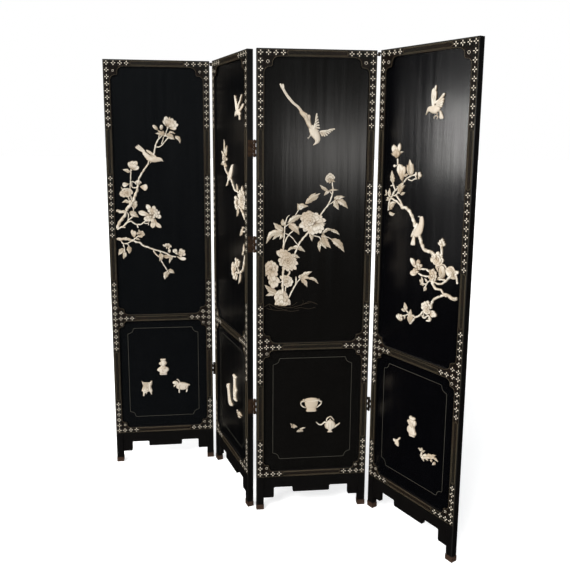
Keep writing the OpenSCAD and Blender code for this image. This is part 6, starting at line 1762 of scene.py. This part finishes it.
    # great bloom
    s.leafs([(206, 1166, 226, 1183, 7, -0.05, 0.2)])
    s.ring(196, 1160, [(228, 1107, 19, 0.45, -0.16), (190, 1106, 24, 0.15, 0.02), (154, 1144, 25, 0.1, 0.06), (170, 1136, 17, 0.15), (132, 1177, 25, 0.3, 0.02),
                       (199, 1204, 19, 0.15), (167, 1209, 22, 0.0, -0.04), (184, 1194, 15, 0.6), (213, 1188, 16, 0.05, 0.06), (224, 1176, 13, 0.05), (229, 1154, 20, 0.1)],
           1.6, 4.0, kind="drop", ridges=7)
    s.ring(192, 1162, [(174, 1189, 18, 0.15, -0.05), (188, 1192, 15, 0.85), (202, 1186, 17, 0.3), (213, 1172, 16, 0.1), (216, 1157, 16, 0.15), (164, 1152, 16, 0.35),
                       (190, 1131, 17, 0.45, 0.0)], 3.2, 5.4, kind="drop")
    s.ring(190, 1162, [(180, 1175, 11, 0.3), (195, 1175, 11, 0.7), (206, 1164, 12, 0.15), (200, 1150, 14, 0.3), (180, 1155, 11, 0.3)], 4.8, 6.4, kind="drop")
    # lower branch: bud, tan bloom, hanging leaves
    s.ring(109, 1058, [(101, 1098, 14, 0.0, 0.06), (112, 1093, 14, 0.05, -0.05), (105, 1091, 11, 0.15)], 1.8, 4.8, kind="drop", ridges=5)
    s.ring(134, 1076, [(121, 1084, 13, 0.4), (130, 1099, 6, 0.2), (135, 1093, 15, 0.35), (149, 1090, 15, 0.3), (155, 1077, 16, 0.35), (145, 1065, 15, 0.4), (130, 1064, 13, 0.4)],
           1.6, 4.2, kind="drop")
    s.ring(138, 1078, [(129, 1083, 10, 0.6), (140, 1088, 11, 0.8), (149, 1080, 11, 0.75), (140, 1070, 11, 0.6)], 3.2, 5.6, kind="drop")
    s.leafs([(112, 1059, 134, 1051, 10, 0.06, 0.1)])
    s.leafs([(62, 1014, 38, 984, 22, -0.04, 0.15), (67, 1000, 58, 966, 18, 0.06, 0.05), (83, 1024, 86, 989, 22, 0.04, 0.65)])
    s.leafs([(224, 980, 216, 953, 12, 0.10, 0.0), (224, 990, 226, 956, 22, 0.02, 0.55), (234, 974, 277, 975, 19, 0.02, 0.8), (277, 977, 260, 942, 13, -0.08, 0.0)])
    s.ring(256, 1016, [(234, 1029, 10, 0.15), (246, 1034, 13, 0.1), (260, 1034, 13, 0.15), (271, 1024, 13, 0.15), (262, 1011, 12, 0.2), (248, 1014, 10, 0.2)], 1.8, 4.4, kind="drop")
    s.ring(256, 1020, [(250, 1027, 8, 0.5), (262, 1026, 8, 0.4)], 3.4, 5.4, kind="drop")
    s.ring(262, 988, [(262, 1009, 13, 0.0)], 1.8, 4.8, kind="round", notch=0.0)
    # star-shaped bloom
    s.ring(300, 982, [(279, 1006, 19, 0.05, -0.03), (287, 1009, 13, 0.05), (318, 1009, 16, 0.1), (331, 1001, 16, 0.1), (334, 985, 16, 0.05)], 1.6, 4.4, kind="drop")
    s.ring(287, 978, [(335, 963, 17, 0.0, -0.10)], 2.0, 4.8, kind="drop")
    s.ring(300, 980, [(291, 994, 12, 0.3), (310, 995, 12, 0.6), (322, 990, 12, 0.3), (318, 977, 12, 0.5)], 3.2, 5.6, kind="drop")
    s.stamens(304, 983, 2.2, 6.0, n=6)
    # last leaves
    s.leafs([(254, 913, 283, 897, 19, 0.04, 0.2), (252, 907, 238, 869, 23, -0.04, 0.1), (252, 905, 262, 893, 8, 0.0, 0.15)])
    o = s.obj("camellia_spray_1", IVORY, "carved_stone", 46)
    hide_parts("carvings_1")

    # bird on the stem
    b = Relief(1)
    b.feather(168, 1436, 126, 1462, 8.0, 2.6, 2.2, bend=0.02, stain=0.25)
    b.feather(169, 1440, 136, 1471, 8.0, 2.6, 2.2, bend=-0.02, stain=0.25)
    b.feather(169, 1438, 130, 1467, 7.0, 3.2, 2.8, stain=0.2)
    b.feather(214, 1418, 172, 1449, 10.0, 2.8, 2.2, bend=0.02, stain=0.5)
    b.feather(216, 1418, 181, 1446, 9.0, 3.4, 2.8, bend=0.02, stain=0.5)
    b.feather(216, 1416, 190, 1439, 9.0, 4.0, 3.4, stain=0.45)
    b.twig([(182, 1404), (180, 1394), (179, 1384)], 6.4, 7.0, knots=0.0)
    b.twig([(192, 1399), (187, 1392)], 4.4, 4.0, knots=0.0)
    rows = [(159, 1440, 5.5, 3.4), (168, 1431, 9.0, 4.6), (178, 1420, 11.5, 5.4), (190, 1412, 14.0, 6.2), (204, 1409, 13.5, 6.6), (216, 1408, 11.5, 6.4),
            (227, 1408, 9.5, 6.0), (235, 1406.5, 7.0, 5.4), (240, 1403, 3.2, 4.0), (244, 1399, 0.8, 2.4)]
    b.body(rows, relief=plumage, step=1.1, cols=17, low=0.8, stain=0.35)
    b.feather(204, 1408, 157, 1431, 9.0, 4.4, 3.4, bend=-0.04, stain=0.05)
    b.feather(204, 1404, 165, 1420, 8.5, 4.8, 3.6, bend=-0.03, stain=0.1)
    b.feather(202, 1402, 173, 1409, 8.0, 5.0, 4.0, bend=-0.02, stain=0.3)
    b.feather(207, 1409, 182, 1422, 10.0, 5.8, 5.2, bend=-0.02, stain=0.6)
    b.body([(214, 1409, 4.0, 6.6), (207, 1408, 6.6, 6.9), (198, 1408, 6.0, 6.5), (190, 1408, 3.0, 5.8)], relief=plumage, step=1.0, cols=13, low=3.4, stain=0.5)
    b.eye(234, 1409, 5.4, 1.2)
    o = b.obj("bird_1", IVORY, "carved_stone", 46)
    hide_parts("carvings_1")

    # vessels and goat
    c = Relief(1)

    def ribbed(x, z, d):
        return 0.22 * math.sin(z * 0.85) * (1 if 428 < z < 462 else 0) + 0.24 * math.cos((x - 222) * 0.9) * clamp((456 - abs(z - 440) * 2 - 420) / 10)

    c.cameo([(210, 494), (222, 495), (235, 494), (233, 486), (238, 479), (239, 471), (233, 464), (234, 457), (242, 453), (248, 446), (247, 437),
             (240, 431), (239, 424), (238, 417), (222, 416), (206, 418), (206, 426), (204, 432), (196, 437), (194, 443), (200, 451), (209, 457),
             (210, 463), (203, 470), (205, 477), (211, 481), (211, 487)], 6.0, edge=8.0, low=1.0, step=1.5,
            cuts=[[(211, 488), (222, 487), (233, 488)], [(206, 427), (222, 426), (239, 427)], [(212, 463), (222, 461), (232, 463)],
                  [(214, 481), (212, 473), (215, 466)], [(230, 481), (232, 473), (229, 466)]], cut=0.9, relief=ribbed, stain=0.3)
    c.ring(222, 448, [(211, 452, 8, 0.8), (233, 452, 8, 0.8), (222, 460, 9, 0.9), (222, 436, 9, 0.3)], 5.0, 6.5, kind="round", notch=0.0)
    c.twig([(212, 490), (222, 491), (233, 490)], 3.2, 3.2, knots=0.0, rise=1.2)
    c.twig([(207, 421), (222, 420), (237, 421)], 3.4, 3.4, knots=0.0, rise=1.4)

    def panelled(x, z, d):
        return -0.45 * clamp((z - 350) / 10) * (1 if 131 < x < 150 else 0) * clamp(d / 5) + 0.2 * math.sin(z * 0.8) * math.sin(x * 0.8)

    c.cameo([(122, 392), (126, 388), (133, 384), (150, 383), (160, 384), (165, 390), (170, 388), (169, 374), (166, 364), (168, 352), (171, 344),
             (168, 332), (168, 323), (163, 325), (160, 333), (154, 338), (148, 336), (145, 329), (142, 325), (138, 332), (136, 326), (132, 317),
             (126, 318), (127, 330), (126, 338), (121, 343), (124, 354), (128, 366), (125, 378)], 5.6, edge=6.0, low=1.0, step=1.5,
            cuts=[[(130, 378), (147, 377), (164, 379)], [(134, 340), (147, 344), (160, 340)], [(131, 374), (131, 350)], [(152, 376), (152, 346)], [(163, 374), (162, 350)]],
            cut=0.8, relief=panelled, stain=0.35)
    c.ring(141, 358, [(141, 371, 9, 0.9), (148, 360, 8, 0.7), (136, 352, 8, 0.8), (145, 350, 8, 0.7)], 4.4, 5.9, kind="round", notch=0.0)

    def wool(x, z, d):
        return 0.30 * math.sin(x * 0.95 + 1.6 * math.sin(z * 0.7)) * math.sin(z * 0.95 + 1.1 * math.sin(x * 0.6))

    c.twig([(294, 348), (293, 337), (294, 326)], 7.6, 6.6, knots=0.05, stain=0.3)
    c.twig([(328, 348), (329, 338), (326, 329)], 7.6, 6.6, knots=0.05, stain=0.3)
    c.cameo([(279, 362), (283, 372), (292, 377), (304, 378), (318, 376), (332, 371), (343, 365), (343, 361), (336, 358), (334, 349), (327, 343),
             (312, 340), (300, 341), (288, 345), (280, 352)], 6.4, edge=9.0, low=1.0, step=1.5, relief=wool, stain=0.45,
            cuts=[[(326, 362), (322, 352), (327, 345)], [(298, 366), (294, 355), (298, 345)]], cut=0.7)
    c.cameo([(263, 376), (266, 382), (274, 385), (284, 383), (291, 377), (287, 367), (278, 362), (271, 357), (267, 360), (272, 368), (266, 371)], 5.8,
            edge=5.0, low=1.2, step=1.3, cuts=[[(271, 367), (276, 371), (282, 368)]], cut=0.7, stain=0.15)
    c.twig([(298, 374), (293, 385), (288, 391), (282, 393)], 5.4, 4.0, knots=0.05, rise=0.8, seed=0.4)
    c.blade(286, 380, 276, 372, 5.5, kind="ovate", lo=4.4, hi=6.4, veins=1, dip=0.4, wave=0.0, stain=0.6)
    c.eye(271, 379, 5.2, 0.9)
    o = c.obj("vessels_1", IVORY, "carved_stone", 46)
    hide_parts("carvings_1")


carve_1()

# ---- leaf 1 ends
# ---- leaf 2 begins
def carve_2():
    """Blossom spray down the right side with a perched bird, a flying bird, vase, curled sceptre and leaf."""
    s = Relief(2)
    # stems
    s.twig([(148, 1414), (156, 1392), (174, 1373), (206, 1358)], 8.0, 7.0, seed=0.1)
    s.twig([(214, 1350), (238, 1343), (264, 1322), (286, 1304), (322, 1299), (338, 1294)], 7.6, 8.4, seed=0.2)
    s.twig([(338, 1243), (364, 1233), (392, 1214), (413, 1197)], 9.0, 12.5, seed=0.3, bark=0.3)
    s.twig([(344, 1242), (352, 1252), (356, 1262)], 8.0, 7.0)
    s.twig([(411, 1056), (398, 1024), (381, 993), (352, 977), (324, 969), (296, 966)], 12.5, 8.0, seed=0.4, bark=0.4, stain=0.15)
    s.twig([(336, 972), (322, 984), (316, 994)], 6.4, 5.6, seed=0.5)
    s.twig([(352, 976), (350, 966)], 6.0, 5.6)
    s.twig([(394, 1148), (402, 1150), (412, 1146)], 4.6, 5.0)
    # star of leaves and buds at the tip
    s.leafs([(152, 1436, 146, 1503, 22, 0.02, 0.1), (164, 1430, 187, 1480, 22, 0.06, 0.1), (150, 1436, 106, 1456, 17, 0.05, 0.1), (156, 1425, 194, 1424, 14, -0.05, 0.2),
             (148, 1416, 102, 1398, 18, 0.05, 0.15), (146, 1428, 118, 1436, 12, 0.0, 0.4)])
    s.ring(152, 1426, [(134, 1438, 15, 0.3), (150, 1446, 15, 0.2), (166, 1438, 15, 0.15), (172, 1424, 14, 0.2), (162, 1410, 14, 0.3), (142, 1410, 14, 0.3), (131, 1424, 13, 0.4)],
           2.2, 4.6, kind="drop")
    s.ring(152, 1426, [(144, 1434, 9, 0.5), (158, 1434, 9, 0.4), (160, 1420, 9, 0.5), (146, 1419, 9, 0.6)], 4.2, 6.0, kind="drop")
    s.leafs([(160, 1396, 182, 1394, 12, 0.0, 0.6), (158, 1388, 166, 1408, 10, 0.0, 0.4)])
    # mid leaf and the great bloom by the frame
    s.leafs([(322, 1299, 306, 1330, 15, 0.06, 0.15), (324, 1302, 318, 1322, 8, 0.0, 0.3)])
    s.ring(370, 1272, [(328, 1297, 27, 0.1, 0.05), (336, 1262, 25, 0.3), (360, 1243, 22, 0.35), (384, 1236, 22, 0.2), (404, 1238, 20, 0.1), (350, 1308, 24, 0.15),
                       (378, 1324, 23, 0.0, 0.05), (399, 1306, 23, 0.15), (412, 1283, 22, 0.1), (413, 1258, 20, 0.1)], 1.4, 3.8, kind="drop")
    s.ring(370, 1272, [(344, 1284, 20, 0.4), (350, 1262, 19, 0.5), (368, 1252, 18, 0.5), (388, 1254, 18, 0.3), (398, 1272, 18, 0.25), (390, 1292, 19, 0.3), (372, 1302, 19, 0.2),
                       (354, 1298, 18, 0.3)], 2.8, 5.0, kind="drop")
    s.ring(372, 1273, [(358, 1280, 12, 0.6), (364, 1262, 12, 0.7), (380, 1262, 12, 0.5), (386, 1276, 12, 0.5), (376, 1288, 12, 0.4)], 4.2, 6.0, kind="drop")
    s.stamens(372, 1273, 3.0, 6.3, n=7)
    # lower bloom and its leaf
    s.ring(314, 1254, [(287, 1277, 19, 0.05), (303, 1280, 17, 0.05), (322, 1274, 18, 0.2), (342, 1256, 17, 0.3), (332, 1236, 17, 0.2), (312, 1225, 18, 0.05), (292, 1233, 18, 0.05),
                       (283, 1254, 18, 0.1)], 1.4, 3.8, kind="drop")
    s.ring(314, 1254, [(299, 1264, 14, 0.3), (314, 1268, 14, 0.35), (328, 1256, 14, 0.45), (320, 1240, 14, 0.3), (302, 1242, 14, 0.25)], 2.8, 5.0, kind="drop")
    s.ring(314, 1254, [(307, 1258, 8, 0.6), (316, 1261, 8, 0.6), (321, 1252, 8, 0.6), (312, 1247, 8, 0.6)], 4.2, 6.0, kind="drop")
    s.leafs([(324, 1238, 308, 1198, 24, 0.08, 0.1), (330, 1238, 322, 1214, 12, 0.0, 0.3)])
    # loose leaves by the frame
    s.leafs([(376, 1156, 344, 1124, 20, 0.06, 0.05), (372, 1150, 388, 1167, 15, 0.04, 0.1), (384, 1164, 402, 1163, 8, 0.0, 0.2), (368, 1146, 400, 1147, 10, 0.0, 0.1)])
    s.leafs([(388, 1066, 368, 1050, 17, -0.05, 0.1), (384, 1062, 396, 1101, 18, 0.05, 0.1), (390, 1070, 402, 1088, 9, 0.0, 0.3)])
    # two blooms on the lower branch
    s.ring(312, 1004, [(289, 1024, 18, 0.1, 0.04), (307, 1022, 15, 0.1), (326, 1025, 16, 0.05), (346, 1019, 13, 0.05), (340, 1004, 14, 0.15), (324, 991, 14, 0.25), (298, 990, 15, 0.25),
                       (286, 1004, 15, 0.15)], 1.4, 3.8, kind="drop")
    s.ring(312, 1005, [(300, 1014, 12, 0.3), (314, 1015, 12, 0.4), (326, 1008, 12, 0.35), (318, 996, 12, 0.45), (302, 998, 12, 0.4)], 2.8, 5.2, kind="drop")
    s.dome(313, 1005, 3.4, 6.0, low=4.0, stain=0.7)
    s.ring(270, 970, [(243, 990, 21, 0.1), (258, 1001, 19, 0.05), (282, 998, 19, 0.1), (300, 982, 17, 0.25), (239, 971, 19, 0.15), (247, 948, 20, 0.1), (266, 932, 20, 0.05),
                      (288, 934, 19, 0.1), (302, 952, 17, 0.2)], 1.4, 3.8, kind="drop")
    s.ring(272, 968, [(254, 982, 15, 0.25), (272, 986, 15, 0.3), (288, 976, 14, 0.4), (284, 952, 15, 0.3), (266, 948, 15, 0.2), (253, 964, 14, 0.3)], 2.8, 5.0, kind="drop")
    s.ring(275, 967, [(267, 972, 9, 0.7), (277, 976, 9, 0.7), (284, 967, 9, 0.7), (276, 958, 9, 0.8), (267, 962, 9, 0.8)], 4.2, 6.0, kind="drop")
    s.leafs([(306, 962, 292, 930, 17, 0.06, 0.15), (352, 974, 326, 923, 22, 0.05, 0.15), (346, 970, 352, 946, 11, 0.0, 0.1)])
    o = s.obj("blossom_spray_2", IVORY, "carved_stone", 46)
    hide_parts("carvings_2")

    b = Relief(2)
    # flying bird: tail feathers, far wing, near wing, body
    b.feather(346, 1614, 398, 1640, 9.0, 3.2, 2.4, bend=-0.04)
    b.feather(346, 1616, 388, 1640, 8.0, 3.8, 3.0, bend=-0.04, stain=0.1)
    b.feather(346, 1608, 354, 1580, 9.0, 3.2, 2.4, bend=0.04, stain=0.2)
    b.feather(343, 1608, 345, 1580, 8.0, 3.6, 2.8, bend=0.02, stain=0.3)
    for i, (x, z, w) in enumerate(((322, 1644, 8), (314, 1654, 8), (308, 1664, 8.5), (300, 1674, 9), (291, 1677, 9.5))):
        b.feather(318 - 0.8 * i, 1620 + 1.2 * i, x, z, w, 3.0 + 0.3 * i, 2.6 + 0.25 * i, bend=0.03, stain=0.05)
    b.body([(318, 1616, 6.0, 6.0), (312, 1630, 6.4, 6.2), (304, 1646, 4.6, 5.4), (299, 1656, 2.2, 4.4)], relief=plumage, step=1.0, cols=13, low=2.6, stain=0.12)
    for i, (x, z, w) in enumerate(((346, 1646, 8), (354, 1654, 8), (362, 1662, 8.5), (370, 1670, 9), (378, 1676, 9.5))):
        b.feather(328 + 0.5 * i, 1620 + 1.4 * i, x, z, w, 3.4 + 0.3 * i, 2.8 + 0.3 * i, bend=-0.03, stain=0.0)
    b.body([(328, 1616, 6.5, 6.2), (336, 1630, 7.0, 6.6), (347, 1644, 5.0, 5.8), (355, 1654, 2.2, 4.6)], relief=plumage, step=1.0, cols=13, low=2.8, stain=0.25)
    rows = [(356, 1598, 6.0, 3.6), (345, 1606, 11.0, 5.0), (333, 1611, 13.5, 6.2), (321, 1612, 12.5, 6.6), (311, 1609, 9.5, 6.2), (303, 1604, 7.6, 5.8), (297, 1600, 4.6, 4.6),
            (293, 1597, 1.8, 3.2), (290, 1595, 0.7, 2.4)]
    b.body(rows, relief=plumage, step=1.1, cols=17, low=0.8, stain=0.3)
    b.eye(302, 1606, 5.8, 1.2)
    # perched bird
    b.feather(208, 1344, 175, 1312, 8.0, 3.0, 2.6)
    b.feather(210, 1342, 184, 1314, 8.0, 3.4, 2.8, stain=0.15)
    rows = [(196, 1334, 6.0, 3.8), (206, 1343, 9.0, 4.8), (218, 1353, 14.0, 6.0), (231, 1366, 17.0, 6.6), (241, 1378, 15.0, 6.6), (248, 1388, 11.0, 6.2), (254, 1396, 8.0, 5.6),
            (261, 1401, 3.6, 4.4), (269, 1405, 0.9, 2.6)]
    b.body(rows, relief=plumage, step=1.1, cols=19, low=0.8, stain=0.12)
    b.feather(240, 1380, 196, 1346, 11.0, 5.4, 4.2, bend=-0.05, stain=0.1)
    b.feather(244, 1376, 206, 1342, 10.0, 5.8, 4.6, bend=-0.04, stain=0.3)
    b.feather(240, 1382, 216, 1356, 11.0, 6.4, 5.8, bend=-0.03, stain=0.4)
    b.eye(253, 1397, 5.6, 1.2)
    o = b.obj("birds_2", IVORY, "carved_stone", 46)
    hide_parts("carvings_2")

    # vase, curled sceptre, leaf
    c = Relief(2)

    def banded(x, z, d):
        return 0.22 * math.sin(z * 0.8) * (1 if 424 < z < 450 else 0) + 0.22 * math.cos((x - 272) * 0.8) * clamp((z - 452) / 8) * clamp((494 - z) / 8)

    c.cameo([(246, 506), (252, 512), (264, 515), (280, 514), (297, 514), (293, 507), (286, 500), (283, 488), (282, 472), (286, 462), (297, 455),
             (296, 448), (290, 440), (285, 428), (285, 418), (290, 411), (301, 408), (294, 403), (284, 400), (270, 399), (258, 400), (257, 412),
             (254, 428), (256, 448), (259, 470), (259, 488), (255, 500)], 6.0, edge=8.0, low=1.0, step=1.5,
            cuts=[[(256, 502), (270, 499), (285, 501)], [(258, 456), (272, 452), (287, 457)], [(257, 418), (270, 415), (285, 419)]], cut=0.9, relief=banded, stain=0.12)
    c.ring(271, 434, [(271, 446, 9, 0.5), (264, 430, 8, 0.4), (278, 430, 8, 0.4)], 5.0, 6.5, kind="round", notch=0.0)
    c.twig([(250, 509), (272, 509), (294, 511)], 3.6, 3.4, knots=0.0, rise=1.2)
    c.twig([(259, 404), (274, 403), (294, 406)], 3.6, 3.4, knots=0.0, rise=1.2)
    c.cameo([(160, 424), (164, 434), (174, 441), (188, 446), (200, 448), (198, 438), (196, 426), (200, 412), (206, 396), (211, 382), (217, 374),
             (228, 371), (238, 366), (234, 358), (222, 354), (206, 350), (192, 355), (185, 366), (180, 382), (176, 400), (172, 414), (166, 419)], 5.6,
            edge=6.5, low=1.0, step=1.5, cuts=[[(170, 428), (180, 434), (190, 430), (186, 420), (178, 424)], [(192, 412), (198, 394), (202, 376)],
                                               [(204, 362), (214, 366), (224, 362), (216, 358)]], cut=0.9, stain=0.1)
    c.twig([(300, 358), (318, 360), (338, 364)], 5.0, 4.0, seed=0.2, stain=0.25)
    c.leafs([(304, 350, 366, 368, 15, 0.08, 0.2), (306, 358, 352, 373, 10, 0.04, 0.35), (310, 344, 346, 352, 11, 0.05, 0.05), (306, 362, 300, 370, 7, 0.0, 0.1)], lo=1.8, hi=4.8)
    o = c.obj("vessels_2", IVORY, "carved_stone", 46)
    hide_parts("carvings_2")


carve_2()

# ---- leaf 2 ends


# ---------------------------------------------------------------- floor and light
def stage_floor():
    me = bpy.data.meshes.new("floor")
    s = 40.0
    me.from_pydata([(-s, -s, 0), (s, -s, 0), (s, s, 0), (-s, s, 0)], [], [(0, 1, 2, 3)])
    g = Graph("floor_pale")
    g.set(Base_Color=g.mix(g.noise(g.coords(), 0.0006, 2.0, 0.5), (0.86, 0.86, 0.86), (0.88, 0.88, 0.88)), Roughness=0.9)
    g.set(Specular_IOR_Level=0.1)
    path = g.node("ShaderNodeLightPath")
    g.set(Emission_Color=(1.0, 1.0, 1.0), Emission_Strength=g.math("MULTIPLY", path.outputs["Is Camera Ray"], 0.55))
    me.materials.append(g.mat)
    o = bpy.data.objects.new("floor", me)
    bpy.context.scene.collection.objects.link(o)
    o.visible_glossy = False


def lamp(name, kind, place, aim, energy, colour=(1, 1, 1), size=None, glossy=True, spread=None, **more):
    d = bpy.data.lights.new(name, kind)
    d.energy = energy
    d.color = colour
    if size:
        d.shape = "RECTANGLE"
        d.size, d.size_y = size
    if spread:
        d.spread = math.radians(spread)
    for a, b in more.items():
        setattr(d, a, b)
    o = bpy.data.objects.new(name, d)
    bpy.context.scene.collection.objects.link(o)
    o.location = place
    o.rotation_euler = (Vector(aim) - Vector(place)).to_track_quat("-Z", "Y").to_euler()
    o.visible_camera = False
    o.visible_glossy = glossy
    return o


def sky():
    w = bpy.data.worlds.new("studio")
    bpy.context.scene.world = w
    w.use_nodes = True
    nt = w.node_tree
    nt.nodes.clear()
    out = nt.nodes.new("ShaderNodeOutputWorld")
    path = nt.nodes.new("ShaderNodeLightPath")
    seen, fill, gloss = [nt.nodes.new("ShaderNodeBackground") for _ in range(3)]
    seen.inputs[0].default_value = (1, 1, 1, 1)
    seen.inputs[1].default_value = 1.0
    fill.inputs[0].default_value = (0.97, 0.985, 1.0, 1)
    fill.inputs[1].default_value = 0.50
    # polished faces see a dim room: dark low down, a little lighter towards the ceiling
    tc, sep, ramp = [nt.nodes.new(n) for n in ("ShaderNodeTexCoord", "ShaderNodeSeparateXYZ", "ShaderNodeMapRange")]
    nt.links.new(tc.outputs["Generated"], sep.inputs[0])
    nt.links.new(sep.outputs[2], ramp.inputs[0])
    for i, v in ((1, -0.20), (2, 0.28), (3, 0.012), (4, 0.100)):
        ramp.inputs[i].default_value = v
    # and lighter in front of the screen than at its sides
    side, both = nt.nodes.new("ShaderNodeMapRange"), nt.nodes.new("ShaderNodeMath")
    nt.links.new(sep.outputs[1], side.inputs[0])
    for i, v in ((1, -0.95), (2, 0.10), (3, 1.25), (4, 0.30)):
        side.inputs[i].default_value = v
    both.operation = "MULTIPLY"
    nt.links.new(ramp.outputs[0], both.inputs[0])
    nt.links.new(side.outputs[0], both.inputs[1])
    gloss.inputs[0].default_value = (0.86, 0.94, 1.0, 1)
    nt.links.new(both.outputs[0], gloss.inputs[1])
    a, b = nt.nodes.new("ShaderNodeMixShader"), nt.nodes.new("ShaderNodeMixShader")
    nt.links.new(path.outputs["Is Glossy Ray"], a.inputs[0])
    nt.links.new(fill.outputs[0], a.inputs[1])
    nt.links.new(gloss.outputs[0], a.inputs[2])
    nt.links.new(path.outputs["Is Camera Ray"], b.inputs[0])
    nt.links.new(a.outputs[0], b.inputs[1])
    nt.links.new(seen.outputs[0], b.inputs[2])
    nt.links.new(b.outputs[0], out.inputs[0])


stage_floor()
sky()
lamp("key_sun", "SUN", (-1.6, -2.6, 3.6), (0, 0, 0.9), 2.3, (1.0, 0.985, 0.96), angle=math.radians(24))
lamp("left_fill", "AREA", (-3.6, -1.3, 2.3), (0.5, -0.1, 1.1), 70, (1.0, 0.985, 0.965), (2.4, 2.2), glossy=False)
lamp("left_window", "AREA", (-3.3, 0.02, 1.52), (0.5, -0.2, 1.45), 7.0, (1.0, 0.98, 0.955), (0.20, 0.66))
lamp("left_haze", "AREA", (-3.3, 0.03, 2.02), (0.5, -0.2, 1.45), 0.8, (1.0, 0.985, 0.97), (0.28, 0.80))
lamp("left_low", "AREA", (-3.3, 0.02, 0.75), (0.5, -0.2, 1.45), 0.55, (1.0, 0.985, 0.97), (0.34, 0.95))
lamp("right_glow", "AREA", (1.72, -3.95, 1.36), (0.3, 0.0, 1.3), 5.4, (1.0, 0.965, 0.925), (1.50, 0.46))
lamp("right_haze", "AREA", (1.75, -3.95, 1.36), (0.3, 0.0, 1.3), 2.4, (1.0, 0.98, 0.95), (1.60, 1.05))
bpy.context.scene.view_settings.view_transform = "Standard"
bpy.context.scene.view_settings.look = "None"
